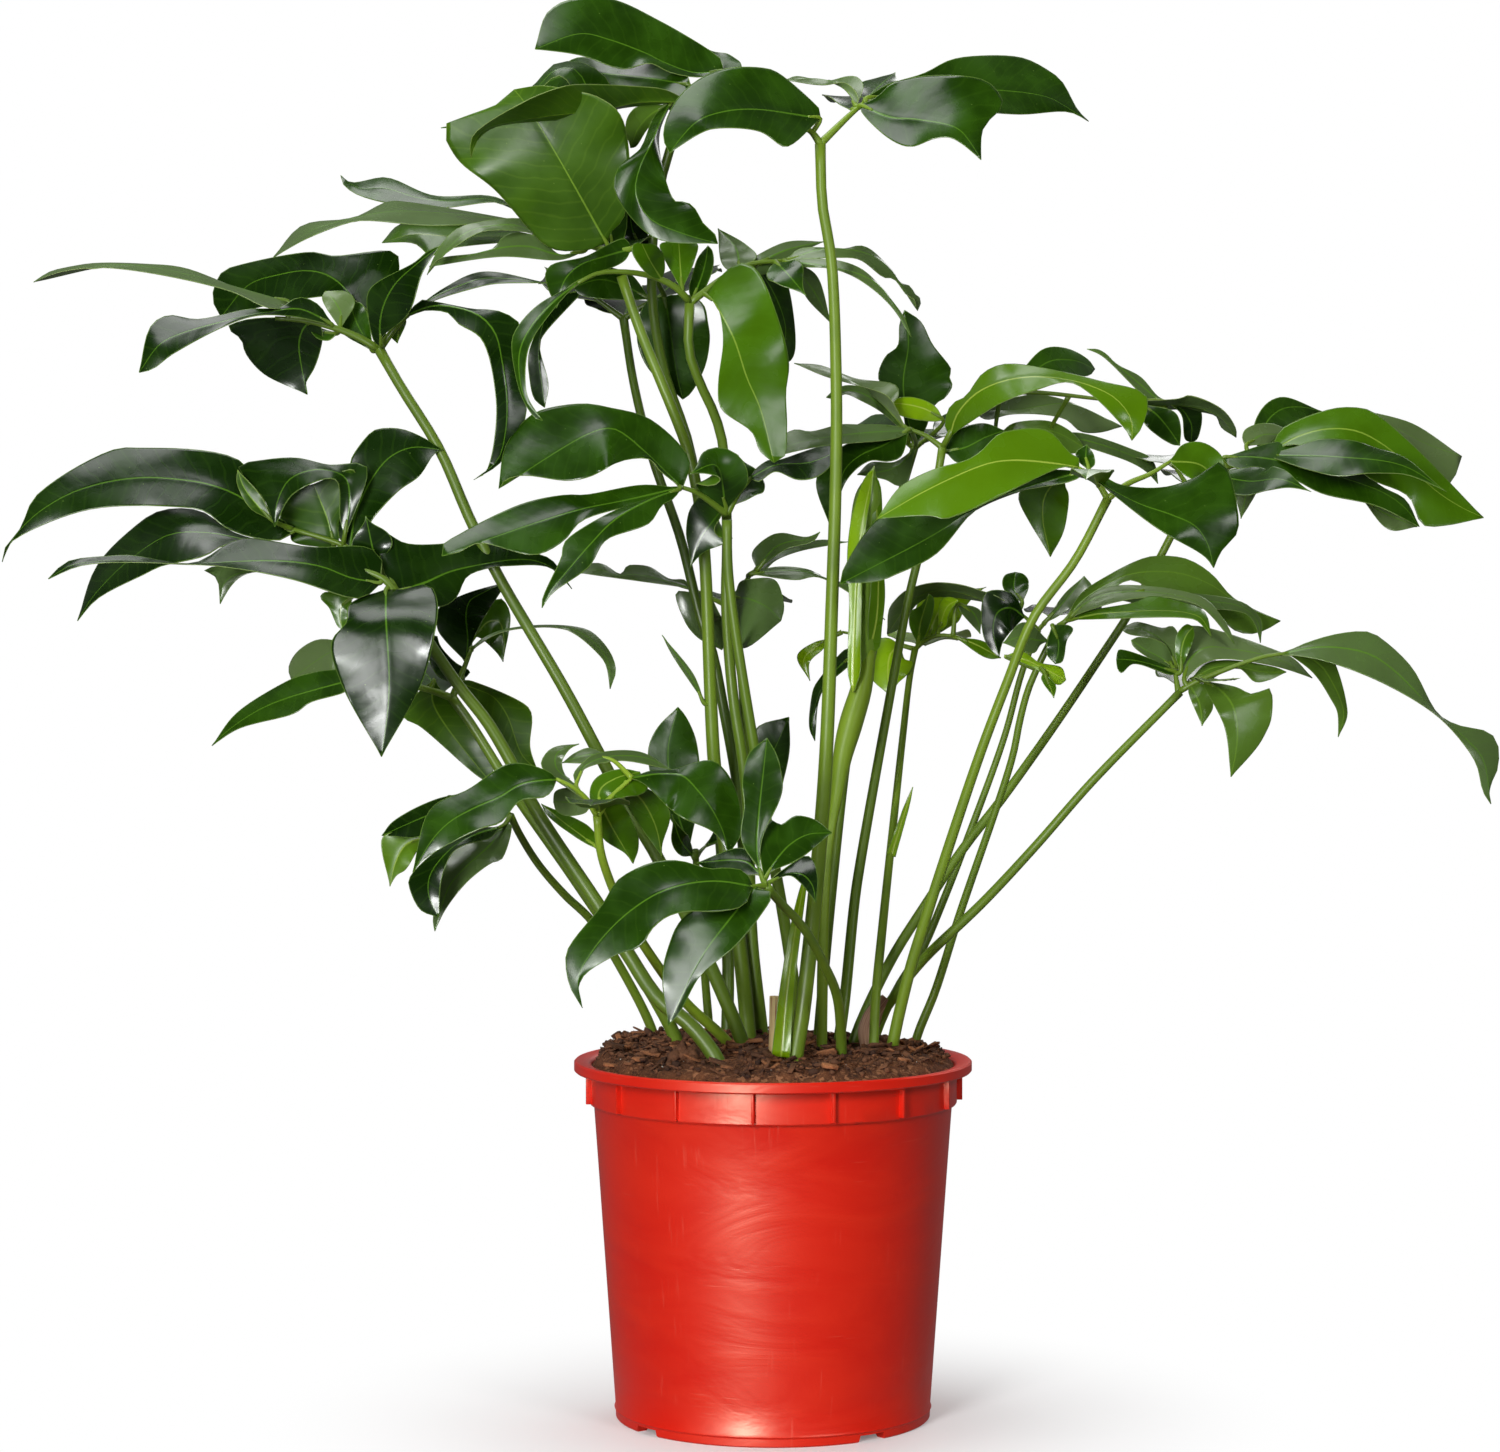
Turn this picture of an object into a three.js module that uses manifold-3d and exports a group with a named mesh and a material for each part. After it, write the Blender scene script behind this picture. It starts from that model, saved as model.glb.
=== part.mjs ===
// Potted fun bun philodendron: a plastic grower's pot, its soil, and 22 divided fronds with one new leaf.
// Millimetres, +Z up, the viewer stands at -Y. The origin is the middle of the pot's underside.
import * as THREE from 'three';
import { mergeVertices } from 'three/addons/utils/BufferGeometryUtils.js';
import Module from 'manifold-3d';

const wasm = await Module();
wasm.setup();

// Driving sizes, mm
const LIP_RADIUS = 120; // a 24 cm pot
const POT_HEIGHT = 216;
const LIP_DEPTH = 6.5;
const BAND_RADIUS = 111;
const BAND_BOTTOM = 191;
const BODY_TOP_RADIUS = 108;
const BODY_FOOT_RADIUS = 96.5;
const FOOT_RADIUS = 95;
const WALL = 1.6;
const RIB_COUNT = 15;
const RIB_REACH = 3.4;
const RIB_WIDTH = 1.8;
const FIRST_RIB = -5.9; // degrees from the viewer's side
const NOTCH_COUNT = 4;
const NOTCH_WIDTH = 20;
const NOTCH_HEIGHT = 4;
const FIRST_NOTCH = -52;
const FLOOR_RISE = 4; // the floor's raised channel, between its flat middle and the foot
const DRAIN_COUNT = 6;
const DRAIN_RADIUS = 5;
const ROUND_SIDES = 30;
const STALK_SIDES = 5;
const SOIL_EDGE = 215;
const SOIL_TOP = 225;
const GAP = 0.3; // between pieces that touch
const ROOT_DEPTH = 24; // how far a stalk stands in the soil
const HOLE_REACH = 14; // how far its hole goes on above its collar
const HOLE_SPREAD = 1.12; // and how much wider it is
const BLADE = 1; // a leaflet's thickness along its midrib, near the tip
const BASE_BLADE = 2.4; // and where it grows from its arm
const FOLD = 0.16; // how far a leaflet's edges rise near its foot and sink near its tip, per half width
const WAVES = 1.7; // waves along a leaflet's edge
const WAVE_HEIGHT = 0.1;
const LONG_LEAFLET = 75;
const ARM_REACH = 4;

// Where the plant is seen from: its points below are [column, row, depth], a column and a row of the
// 1500 x 1452 picture and the depth in mm behind the pot's axis.
const AXIS_COLUMN = 773;
const EYE_ROW = 600;
const EYE_HEIGHT = 493;
const EYE_DISTANCE = 2361;
const FOCAL_LENGTH = 3922; // in picture points

const UP = [0, 0, 1];
const FRONT = [0, -1, 0];
const FRONT_UP = [0, -1, 1];
const FRONT_LOW = [0, -1, 0.3];

// Every frond: its stalk from the soil to the crown, its two leaf-bearing arms, and its leaflets. A leaflet
// has a midrib, a full width in mm and the way its upper side looks.
const FRONDS = {
  tall_front: {
    girth: [5, 3.2],
    stalk: [[800, 1066, -62], [806, 1000, -60], [820, 858, -55], [827, 700, -48], [834, 560, -42],
      [838, 400, -38], [832, 260, -36], [820, 140, -35]],
    arms: [
      [[820, 140, -35], [812, 134, -38], [804, 134, -44]],
      [[820, 140, -35], [836, 124, -30], [852, 112, -25], [866, 101, -18]],
    ],
    leaves: [
      { rib: [[806, 134, -45], [775, 112, -60], [735, 104, -72], [695, 122, -80], [670, 155, -84]],
        wide: 65, face: FRONT_UP },
      { rib: [[860, 105, -24], [905, 94, -45], [950, 112, -55], [980, 162, -60]], wide: 65,
        face: [0.1, -1, 0.6] },
      { rib: [[866, 101, -18], [930, 86, 8], [1010, 86, 32], [1087, 124, 50]], wide: 64, face: [0, -0.9, 1] },
      { rib: [[856, 109, -20], [842, 90, 8], [820, 82, 25], [785, 83, 38]], wide: 26, face: UP },
      { rib: [[866, 102, -16], [880, 88, 20], [895, 75, 50]], wide: 34, face: [0, -0.5, 1] },
      { rib: [[852, 112, -20], [872, 98, 50], [900, 104, 125]], wide: 55, face: UP },
      { rib: [[793, 1052, -62], [791, 1000, -61], [800, 930, -60], [814, 872, -57]], wide: 13, face: FRONT,
        sheath: true },
    ],
  },
  tall_back: {
    girth: [4, 2.8],
    stalk: [[752, 1036, 84], [713, 850, 112], [703, 700, 116], [700, 560, 112], [688, 440, 94],
      [663, 365, 76], [652, 290, 62], [660, 190, 50], [684, 110, 42]],
    arms: [
      [[684, 110, 42], [668, 98, 35], [645, 92, 30]],
      [[684, 110, 42], [702, 94, 45], [718, 86, 48]],
    ],
    leaves: [
      { rib: [[718, 86, 48], [684, 66, 45], [632, 44, 40], [580, 34, 34], [536, 52, 24]], wide: 72,
        face: [0, -1, 0.7] },
      { rib: [[672, 102, 34], [620, 98, 18], [550, 112, 2], [472, 160, -8]], wide: 44, face: [0, 0.2, 1] },
      { rib: [[645, 92, 32], [610, 74, 62], [560, 74, 82], [516, 97, 96]], wide: 48, face: [0, -0.8, 1] },
      { rib: [[672, 104, 32], [652, 140, -46], [638, 195, -54], [662, 230, -56], [718, 244, -58]], wide: 43,
        face: [0, -1, 0.2] },
      { rib: [[700, 96, 50], [706, 102, 105], [700, 122, 165]], wide: 62, face: UP },
    ],
  },
  high_left: {
    girth: [5, 3],
    stalk: [[758, 1050, 28], [741, 948, 30], [722, 850, 28], [712, 760, 25], [707, 612, 20], [700, 513, 15],
      [692, 456, 12], [680, 420, 12], [662, 375, 12], [640, 325, 12], [622, 277, 12], [614, 254, 12]],
    arms: [
      [[614, 254, 12], [595, 248, 28], [570, 241, 42], [545, 234, 52]],
      [[614, 254, 12], [632, 250, 15], [640, 246, 20]],
    ],
    leaves: [
      { rib: [[608, 250, 12], [580, 198, -6], [546, 150, -20], [512, 118, -22], [482, 106, -12]], wide: 118,
        face: [0.2, 1, 0.3] },
      { rib: [[612, 250, 20], [575, 130, 42], [520, 92, 48], [446, 128, 46]], wide: 34, face: [0, -0.5, 1] },
      { rib: [[632, 250, 16], [610, 252, 2], [585, 267, -8], [557, 309, -14]], wide: 36, face: FRONT_UP },
      { rib: [[545, 234, 54], [511, 208, 60], [434, 197, 75], [342, 177, 90]], wide: 36, face: [0, -0.5, 1] },
      { rib: [[548, 236, 48], [480, 214, 38], [414, 207, 30], [348, 220, 22], [274, 259, 15]], wide: 31,
        face: [0, -0.2, 1] },
      { rib: [[552, 240, 44], [487, 236, 46], [430, 236, 52], [383, 244, 58]], wide: 24, face: [0, -0.3, 1] },
      { rib: [[570, 243, 36], [520, 230, 20], [470, 225, 8], [448, 240, 2], [428, 276, -2]], wide: 31,
        face: [0, -0.6, 1] },
      { rib: [[585, 248, 30], [525, 262, 22], [470, 266, 18], [430, 270, 14]], wide: 19, face: FRONT_LOW },
      { rib: [[622, 252, 16], [606, 240, 75], [590, 246, 135]], wide: 53, face: UP },
    ],
  },
  high_middle: {
    girth: [4, 2.8],
    stalk: [[776, 1046, 42], [757, 900, 38], [748, 780, 36], [739, 640, 33], [732, 540, 26], [723, 446, 15],
      [715, 416, 8], [699, 381, 0], [689, 350, -5], [690, 304, -8]],
    arms: [
      [[690, 304, -8], [678, 290, -14], [660, 280, -18], [635, 274, -24], [600, 274, -34], [578, 284, -42]],
      [[690, 304, -8], [706, 292, -5], [728, 276, 0], [752, 265, 6], [785, 262, 12]],
    ],
    leaves: [
      { rib: [[706, 292, -8], [720, 322, -34], [745, 385, -50], [774, 462, -55]], wide: 58,
        face: [0.3, -1, 0.1] },
      { rib: [[752, 265, 8], [770, 288, 24], [785, 328, 36], [780, 366, 42]], wide: 31, face: [0.5, -0.6, 0.3] },
      { rib: [[740, 270, 4], [736, 250, 24], [718, 230, 45]], wide: 34, face: FRONT_UP },
      { rib: [[785, 262, 13], [830, 250, 17], [880, 262, 22], [917, 312, 24]], wide: 31, face: [0.1, -0.7, 1] },
      { rib: [[785, 263, 10], [825, 268, -6], [875, 284, -14], [911, 338, -18]], wide: 29, face: [0, -1, 0.8] },
      { rib: [[578, 284, -42], [532, 310, -66], [517, 350, -76], [542, 421, -82]], wide: 26,
        face: [-0.5, -1, 0.2] },
    ],
  },
  high_behind: {
    girth: [4, 2.6],
    stalk: [[765, 1042, 58], [745, 900, 60], [733, 760, 58], [715, 680, 58], [703, 640, 58], [692, 579, 60],
      [675, 519, 66], [652, 460, 76], [634, 384, 90], [624, 320, 102]],
    arms: [
      [[624, 320, 102], [600, 303, 102], [585, 291, 100]],
      [[624, 320, 102], [645, 306, 100], [665, 297, 96]],
    ],
    leaves: [
      { rib: [[665, 297, 95], [676, 330, 90], [682, 400, 92]], wide: 50, face: [0, -1, 0.2] },
      { rib: [[585, 291, 100], [555, 300, 112], [540, 345, 120], [545, 408, 124]], wide: 31,
        face: [-0.3, -1, 0.3] },
      { rib: [[624, 318, 104], [632, 302, 150], [640, 306, 205]], wide: 58, face: UP },
      { rib: [[600, 303, 104], [572, 284, 150], [545, 268, 190]], wide: 48, face: [0, -0.2, 1] },
      { rib: [[650, 304, 100], [690, 274, 140], [720, 266, 180]], wide: 48, face: UP },
    ],
  },
  left_high: {
    girth: [4.5, 3],
    stalk: [[750, 1052, -8], [738, 1013, -8], [711, 972, -12], [658, 859, -20], [628, 809, -24],
      [566, 692, -30], [533, 635, -30], [500, 579, -28], [470, 519, -25], [440, 450, -20], [400, 385, -14],
      [380, 350, -10]],
    arms: [
      [[380, 350, -10], [360, 338, -12], [328, 323, -16], [290, 303, -18]],
      [[380, 350, -10], [395, 330, -12], [410, 314, -16]],
    ],
    leaves: [
      { rib: [[290, 303, -18], [255, 293, -22], [190, 276, -32], [120, 266, -42], [35, 283, -52]], wide: 38,
        face: [0, -0.15, 1] },
      { rib: [[326, 322, -17], [285, 309, -42], [232, 312, -60], [180, 324, -75], [142, 374, -84]], wide: 36,
        face: [0, -0.8, 1] },
      { rib: [[384, 344, -4], [345, 290, 28], [290, 270, 48], [218, 288, 60]], wide: 55, face: [0, -1, 0.8] },
      { rib: [[312, 313, -12], [280, 335, 8], [288, 362, 14], [307, 393, 16]], wide: 53, face: [-0.1, -1, 0.1] },
      { rib: [[382, 346, -16], [384, 305, -36], [405, 275, -46], [441, 247, -54]], wide: 41,
        face: [-0.6, -1, 0.2] },
      { rib: [[408, 316, -14], [440, 294, -4], [475, 277, 2], [520, 275, -8], [548, 284, -14]], wide: 22,
        face: [0, -0.5, 1] },
      { rib: [[410, 314, -16], [455, 306, -28], [500, 335, -38], [515, 390, -44], [482, 478, -48]], wide: 48,
        face: [0.3, -1, 0.3] },
    ],
  },
  left_middle: {
    girth: [5, 3.2],
    stalk: [[719, 1066, -68], [690, 1026, -62], [658, 1000, -58], [628, 955, -54], [602, 912, -50],
      [565, 856, -44], [533, 806, -42], [510, 761, -42], [487, 722, -44], [458, 685, -48], [428, 640, -54],
      [402, 602, -60]],
    arms: [
      [[402, 602, -60], [385, 580, -64], [350, 566, -62]],
      [[402, 602, -60], [380, 566, -46], [345, 546, -38], [292, 529, -34]],
    ],
    leaves: [
      { rib: [[294, 530, -34], [240, 496, -30], [180, 478, -28], [110, 484, -30], [50, 504, -34],
        [2, 562, -40]], wide: 66, face: [0, -1, 0.8] },
      { rib: [[348, 548, -38], [338, 502, -18], [300, 478, -8], [262, 480, -4]], wide: 43, face: [0, -1, 0.9] },
      { rib: [[350, 549, -40], [368, 491, -34], [398, 450, -28], [443, 450, -24]], wide: 41,
        face: [-0.4, -1, 0.3] },
      { rib: [[376, 564, -46], [380, 530, -52], [398, 494, -56]], wide: 34, face: [0, -1, 0.4] },
      { rib: [[385, 578, -66], [350, 562, -76], [300, 556, -84], [220, 556, -92], [140, 562, -98],
        [48, 579, -106]], wide: 48, face: [0, -0.9, 1] },
      { rib: [[350, 566, -60], [252, 542, -54], [170, 540, -50], [110, 570, -46], [77, 621, -42]], wide: 38,
        face: [0, -0.6, 1] },
      { rib: [[352, 567, -62], [290, 580, -62], [250, 580, -60], [220, 603, -58]], wide: 19, face: [0, -1, 0.5] },
      { rib: [[388, 584, -66], [388, 610, -95], [382, 680, -106], [381, 756, -104]], wide: 68,
        face: [0, -1, 0.15] },
      { rib: [[400, 598, -58], [412, 564, -44], [441, 542, -36]], wide: 38, face: [0, -1, 0.4] },
    ],
  },
  left_low: {
    girth: [4.5, 2.8],
    stalk: [[677, 1045, 18], [655, 1000, 10], [615, 940, 0], [575, 880, -8], [540, 830, -12], [512, 790, -14],
      [490, 755, -14], [468, 720, -14], [452, 698, -14]],
    arms: [
      [[452, 698, -14], [430, 690, -10], [400, 684, -5], [352, 680, 0]],
      [[452, 698, -14], [462, 672, -8], [471, 650, -4]],
    ],
    leaves: [
      { rib: [[352, 680, 0], [300, 682, 10], [250, 700, 18], [211, 746, 22]], wide: 38, face: FRONT_UP },
      { rib: [[400, 684, -3], [350, 660, 20], [290, 645, 40]], wide: 36, face: [0, -0.8, 1] },
      { rib: [[471, 650, -4], [500, 632, 5], [540, 624, 12], [580, 638, 18], [609, 688, 22]], wide: 19,
        face: [0, -0.6, 1] },
      { rib: [[436, 692, -8], [452, 720, 14], [492, 772, 20]], wide: 50, face: [-0.3, 1, 0.2] },
      { rib: [[458, 682, -10], [490, 690, 18], [508, 720, 28], [514, 768, 32]], wide: 43, face: [0.2, 1, 0.2] },
      { rib: [[466, 662, -6], [470, 640, 4], [478, 612, 12], [500, 588, 18]], wide: 43, face: FRONT_LOW },
      { rib: [[440, 694, -10], [420, 668, 40], [400, 660, 90]], wide: 48, face: UP },
    ],
  },
  middle_front: {
    girth: [4, 2.8],
    stalk: [[790, 1050, 8], [775, 900, -5], [757, 748, -18], [745, 695, -22], [735, 629, -26],
      [731, 579, -30], [727, 514, -32]],
    arms: [
      [[727, 514, -32], [712, 504, -40], [695, 492, -46], [680, 487, -50]],
      [[727, 514, -32], [738, 494, -34], [751, 478, -36]],
    ],
    leaves: [
      { rib: [[682, 487, -50], [645, 460, -54], [606, 438, -58], [549, 453, -64], [499, 489, -68]], wide: 58,
        face: [0, -1, 0.9] },
      { rib: [[680, 488, -50], [620, 496, -68], [560, 508, -78], [500, 530, -86], [443, 556, -90]], wide: 50,
        face: [0, -1, 0.8] },
      { rib: [[680, 489, -52], [640, 502, -76], [600, 532, -90], [560, 580, -98], [542, 607, -100]], wide: 38,
        face: [0, -1, 0.5] },
    ],
  },
  middle_back: {
    girth: [3.4, 2.2],
    stalk: [[770, 1034, 96], [765, 900, 92], [758, 760, 82], [746, 680, 75], [734, 625, 69], [728, 606, 67]],
    arms: [
      [[728, 606, 67], [714, 600, 74], [702, 594, 79], [690, 588, 82]],
      [[728, 606, 67], [740, 590, 65], [749, 577, 63], [763, 562, 60]],
    ],
    leaves: [
      { rib: [[748, 576, 64], [775, 556, 72], [810, 545, 82], [848, 541, 92]], wide: 14, face: [0, -0.4, 1] },
      { rib: [[750, 574, 60], [800, 570, 58], [850, 585, 54], [885, 620, 50]], wide: 19, face: [0, -0.7, 1] },
      { rib: [[738, 593, 64], [752, 592, 50], [770, 604, 44], [764, 648, 42]], wide: 43, face: [0, -1, 0.4] },
      { rib: [[712, 600, 76], [698, 606, 84], [692, 625, 88], [700, 647, 90]], wide: 34, face: [-0.2, -1, 0.2] },
      { rib: [[690, 588, 82], [660, 580, 80], [630, 568, 78], [590, 570, 76], [546, 560, 74]], wide: 22,
        face: [0, -0.5, 1] },
      { rib: [[732, 602, 70], [754, 598, 120], [770, 606, 175]], wide: 50, face: UP },
    ],
  },
  right_inner: {
    girth: [4.2, 2.8],
    stalk: [[843, 1053, -6], [846, 990, 8], [853, 892, 26], [866, 809, 38], [883, 726, 50], [899, 643, 58],
      [919, 570, 62], [935, 490, 65], [942, 448, 66]],
    arms: [
      [[942, 448, 66], [925, 436, 70], [905, 428, 74]],
      [[942, 448, 66], [958, 422, 62], [985, 400, 60], [1020, 393, 62], [1060, 396, 68], [1120, 402, 76]],
    ],
    leaves: [
      { rib: [[950, 436, 64], [990, 398, 36], [1040, 385, 22], [1095, 402, 10], [1130, 440, 2]], wide: 41,
        face: [0, -0.8, 1] },
      { rib: [[1005, 396, 62], [1045, 360, 90], [1093, 370, 115]], wide: 34, face: [0, -0.7, 1] },
      { rib: [[972, 411, 62], [1020, 410, 110], [1070, 405, 132], [1121, 427, 146]], wide: 41,
        face: [0, -0.8, 0.9] },
      { rib: [[1120, 402, 76], [1161, 408, 82], [1200, 416, 86], [1234, 439, 92]], wide: 17, face: UP },
      { rib: [[1118, 402, 78], [1170, 398, 100], [1196, 440, 112]], wide: 22, face: FRONT_LOW },
      { rib: [[912, 431, 72], [870, 427, 60], [820, 442, 48], [770, 461, 38]], wide: 36, face: [0, -0.6, 1] },
      { rib: [[905, 428, 76], [875, 398, 96], [840, 377, 108], [794, 364, 118]], wide: 24, face: UP },
      { rib: [[908, 430, 70], [872, 452, 62], [844, 480, 52], [838, 530, 46]], wide: 41, face: [-0.3, -1, 0.3] },
    ],
  },
  right_behind: {
    girth: [4, 2.6],
    stalk: [[818, 1048, 28], [830, 900, 55], [842, 780, 76], [862, 640, 94], [884, 540, 106], [905, 480, 113],
      [914, 449, 116]],
    arms: [
      [[914, 449, 116], [905, 442, 121], [896, 437, 126]],
      [[914, 449, 116], [924, 441, 120], [934, 436, 125]],
    ],
    leaves: [
      { rib: [[914, 447, 118], [905, 400, 128], [912, 350, 134], [903, 308, 138]], wide: 53,
        face: [0, -1, 0.1] },
      { rib: [[934, 436, 125], [975, 432, 150], [1020, 442, 185]], wide: 53, face: [0, -0.5, 1] },
      { rib: [[896, 437, 126], [855, 432, 155], [800, 442, 185]], wide: 55, face: [0, -0.5, 1] },
      { rib: [[920, 444, 122], [934, 430, 180], [950, 436, 240]], wide: 60, face: UP },
    ],
  },
  right_bright: {
    girth: [4.5, 3],
    stalk: [[892, 1053, -10], [907, 972, -20], [927, 905, -32], [947, 840, -45], [972, 760, -58],
      [1002, 680, -68], [1034, 618, -76], [1078, 560, -80], [1107, 499, -82]],
    arms: [
      [[1107, 499, -82], [1095, 481, -84], [1078, 468, -86]],
      [[1107, 499, -82], [1127, 484, -80], [1150, 474, -78], [1169, 462, -76]],
    ],
    leaves: [
      { rib: [[1078, 468, -86], [1020, 450, -98], [970, 462, -108], [925, 490, -114], [877, 519, -118]],
        wide: 53, face: [0, -1, 0.8] },
      { rib: [[1084, 472, -84], [1030, 488, -76], [980, 508, -74], [920, 545, -76], [842, 584, -80]], wide: 55,
        face: [0, -1, 0.6] },
      { rib: [[1081, 471, -82], [1052, 482, -52], [1040, 512, -46], [1050, 556, -44]], wide: 34,
        face: [0, -1, 0.2] },
      { rib: [[1084, 472, -88], [1115, 496, -102], [1165, 508, -108], [1200, 526, -110], [1213, 566, -110]],
        wide: 64, face: [0.1, -1, 0.6] },
      { rib: [[1098, 486, -82], [1090, 470, -140], [1085, 480, -190]], wide: 43, face: UP },
    ],
  },
  right_far: {
    girth: [4.2, 2.8],
    stalk: [[852, 1049, 14], [889, 965, 25], [926, 905, 35], [965, 848, 45], [1005, 799, 52], [1058, 726, 60],
      [1105, 656, 64], [1138, 603, 64], [1165, 551, 60], [1192, 494, 58]],
    arms: [
      [[1192, 494, 58], [1180, 477, 66], [1172, 464, 74]],
      [[1192, 494, 58], [1212, 476, 60], [1240, 463, 62], [1268, 454, 64]],
    ],
    leaves: [
      { rib: [[1222, 471, 60], [1270, 472, 50], [1340, 492, 42], [1418, 527, 35]], wide: 36,
        face: [0, -0.8, 1] },
      { rib: [[1212, 476, 58], [1250, 482, 30], [1280, 480, 15], [1310, 492, 5]], wide: 31, face: [0, -0.9, 0.8] },
      { rib: [[1268, 454, 64], [1300, 442, 62], [1347, 436, 58], [1404, 458, 54], [1450, 488, 50],
        [1482, 518, 48]], wide: 67, face: [0, -1, 0.9] },
      { rib: [[1262, 456, 66], [1265, 420, 95], [1285, 402, 110], [1319, 412, 125]], wide: 31,
        face: [0, -1, 0.6] },
      { rib: [[1268, 454, 68], [1350, 424, 95], [1410, 427, 105], [1458, 472, 112]], wide: 41,
        face: [0, -0.8, 0.8] },
      { rib: [[1264, 456, 60], [1340, 458, 36], [1400, 466, 26], [1445, 492, 18]], wide: 31,
        face: [0, -0.9, 0.9] },
      { rib: [[1196, 488, 62], [1205, 470, 125], [1215, 476, 190]], wide: 55, face: UP },
      { rib: [[1174, 467, 74], [1150, 456, 110], [1120, 458, 150]], wide: 43, face: UP },
    ],
  },
  right_small: {
    girth: [3.4, 2.2],
    stalk: [[876, 1038, 60], [900, 985, 60], [922, 951, 62], [942, 905, 66], [974, 822, 76], [1005, 735, 84],
      [1022, 672, 90], [1038, 630, 92]],
    arms: [
      [[1038, 630, 92], [1026, 618, 90], [1018, 612, 88]],
      [[1038, 630, 92], [1048, 618, 94], [1056, 610, 96]],
    ],
    leaves: [
      { rib: [[1024, 617, 89], [1006, 610, 82], [994, 622, 78], [999, 657, 76]], wide: 38,
        face: [-0.2, -1, 0.3] },
      { rib: [[1050, 616, 96], [1065, 608, 150], [1085, 616, 205]], wide: 48, face: UP },
      { rib: [[1020, 614, 90], [990, 606, 140], [960, 614, 175]], wide: 43, face: UP },
    ],
  },
  right_arching: {
    girth: [3.4, 2.2],
    stalk: [[916, 1043, 46], [936, 991, 46], [959, 918, 40], [985, 842, 32], [1012, 759, 22], [1020, 720, 18],
      [1028, 690, 14], [1040, 662, 10], [1058, 626, 6]],
    arms: [
      [[1058, 626, 6], [1050, 636, 4], [1046, 646, 2]],
      [[1058, 626, 6], [1085, 609, 2], [1110, 598, -2], [1144, 590, -6]],
    ],
    leaves: [
      { rib: [[1064, 622, 8], [1100, 588, 22], [1151, 572, 30], [1218, 586, 34], [1280, 621, 36]], wide: 43,
        face: [0, -0.9, 0.9] },
      { rib: [[1144, 590, -6], [1180, 598, -12], [1207, 608, -15], [1236, 643, -18]], wide: 26,
        face: [0, -0.7, 1] },
      { rib: [[1068, 620, 3], [1110, 614, -22], [1160, 620, -32], [1211, 634, -38]], wide: 26,
        face: [0, -0.4, 1] },
      { rib: [[1112, 598, -1], [1160, 606, 12], [1215, 618, 16], [1260, 645, 20]], wide: 26, face: [0, -0.8, 1] },
    ],
  },
  right_low: {
    girth: [4.2, 2.8],
    stalk: [[866, 1044, 36], [892, 998, 22], [919, 962, 8], [952, 930, -4], [980, 902, -12],
      [1032, 846, -26], [1088, 782, -30], [1138, 729, -30], [1178, 692, -28]],
    arms: [
      [[1178, 692, -28], [1175, 674, -24], [1170, 661, -20]],
      [[1178, 692, -28], [1200, 680, -30], [1230, 669, -32], [1262, 657, -34], [1287, 653, -36]],
    ],
    leaves: [
      { rib: [[1188, 687, -28], [1215, 666, -18], [1262, 656, -12], [1312, 677, -8]], wide: 34,
        face: [0, -0.8, 1] },
      { rib: [[1204, 679, -31], [1235, 690, -48], [1250, 725, -54], [1231, 777, -56]], wide: 46,
        face: [0.2, -1, 0.3] },
      { rib: [[1282, 654, -36], [1351, 638, -42], [1410, 665, -48], [1440, 712, -52], [1470, 755, -56],
        [1491, 803, -58]], wide: 41, face: [0.2, -1, 0.8] },
      { rib: [[1287, 653, -36], [1332, 664, -26], [1345, 700, -22], [1338, 736, -20]], wide: 24,
        face: [0.3, -1, 0.2] },
      { rib: [[1182, 689, -26], [1200, 664, 40], [1215, 660, 100]], wide: 48, face: UP },
    ],
  },
  right_young: {
    girth: [3.8, 2.4],
    stalk: [[874, 1056, -22], [876, 1000, -10], [882, 935, 10], [890, 858, 40], [896, 800, 62],
      [903, 735, 92], [910, 675, 115], [915, 649, 121]],
    arms: [
      [[915, 649, 121], [900, 645, 125], [870, 637, 131], [842, 632, 135]],
      [[915, 649, 121], [926, 640, 117], [942, 635, 112], [967, 640, 106]],
    ],
    leaves: [
      { rib: [[856, 635, 133], [836, 650, 146], [820, 690, 152], [815, 740, 154]], wide: 29,
        face: [-0.3, -1, 0.2] },
      { rib: [[920, 645, 120], [930, 634, 180], [925, 646, 240]], wide: 53, face: UP },
      { rib: [[891, 856, 38], [900, 830, 40], [913, 787, 44]], wide: 6, face: FRONT, sheath: true },
    ],
  },
  low_bright: {
    girth: [3.6, 2.4],
    stalk: [[731, 1049, 10], [686, 1004, -8], [645, 948, -40], [620, 905, -66], [609, 880, -80],
      [600, 850, -94], [597, 816, -100]],
    arms: [
      [[597, 816, -100], [585, 798, -104], [572, 787, -108], [556, 779, -110]],
      [[597, 816, -100], [610, 798, -96], [632, 778, -92]],
    ],
    leaves: [
      { rib: [[556, 779, -110], [506, 772, -118], [465, 788, -124], [436, 812, -128], [415, 867, -132]],
        wide: 46, face: [0, -1, 0.9] },
      { rib: [[632, 778, -92], [664, 780, -104], [702, 806, -112], [726, 856, -116]], wide: 55,
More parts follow.
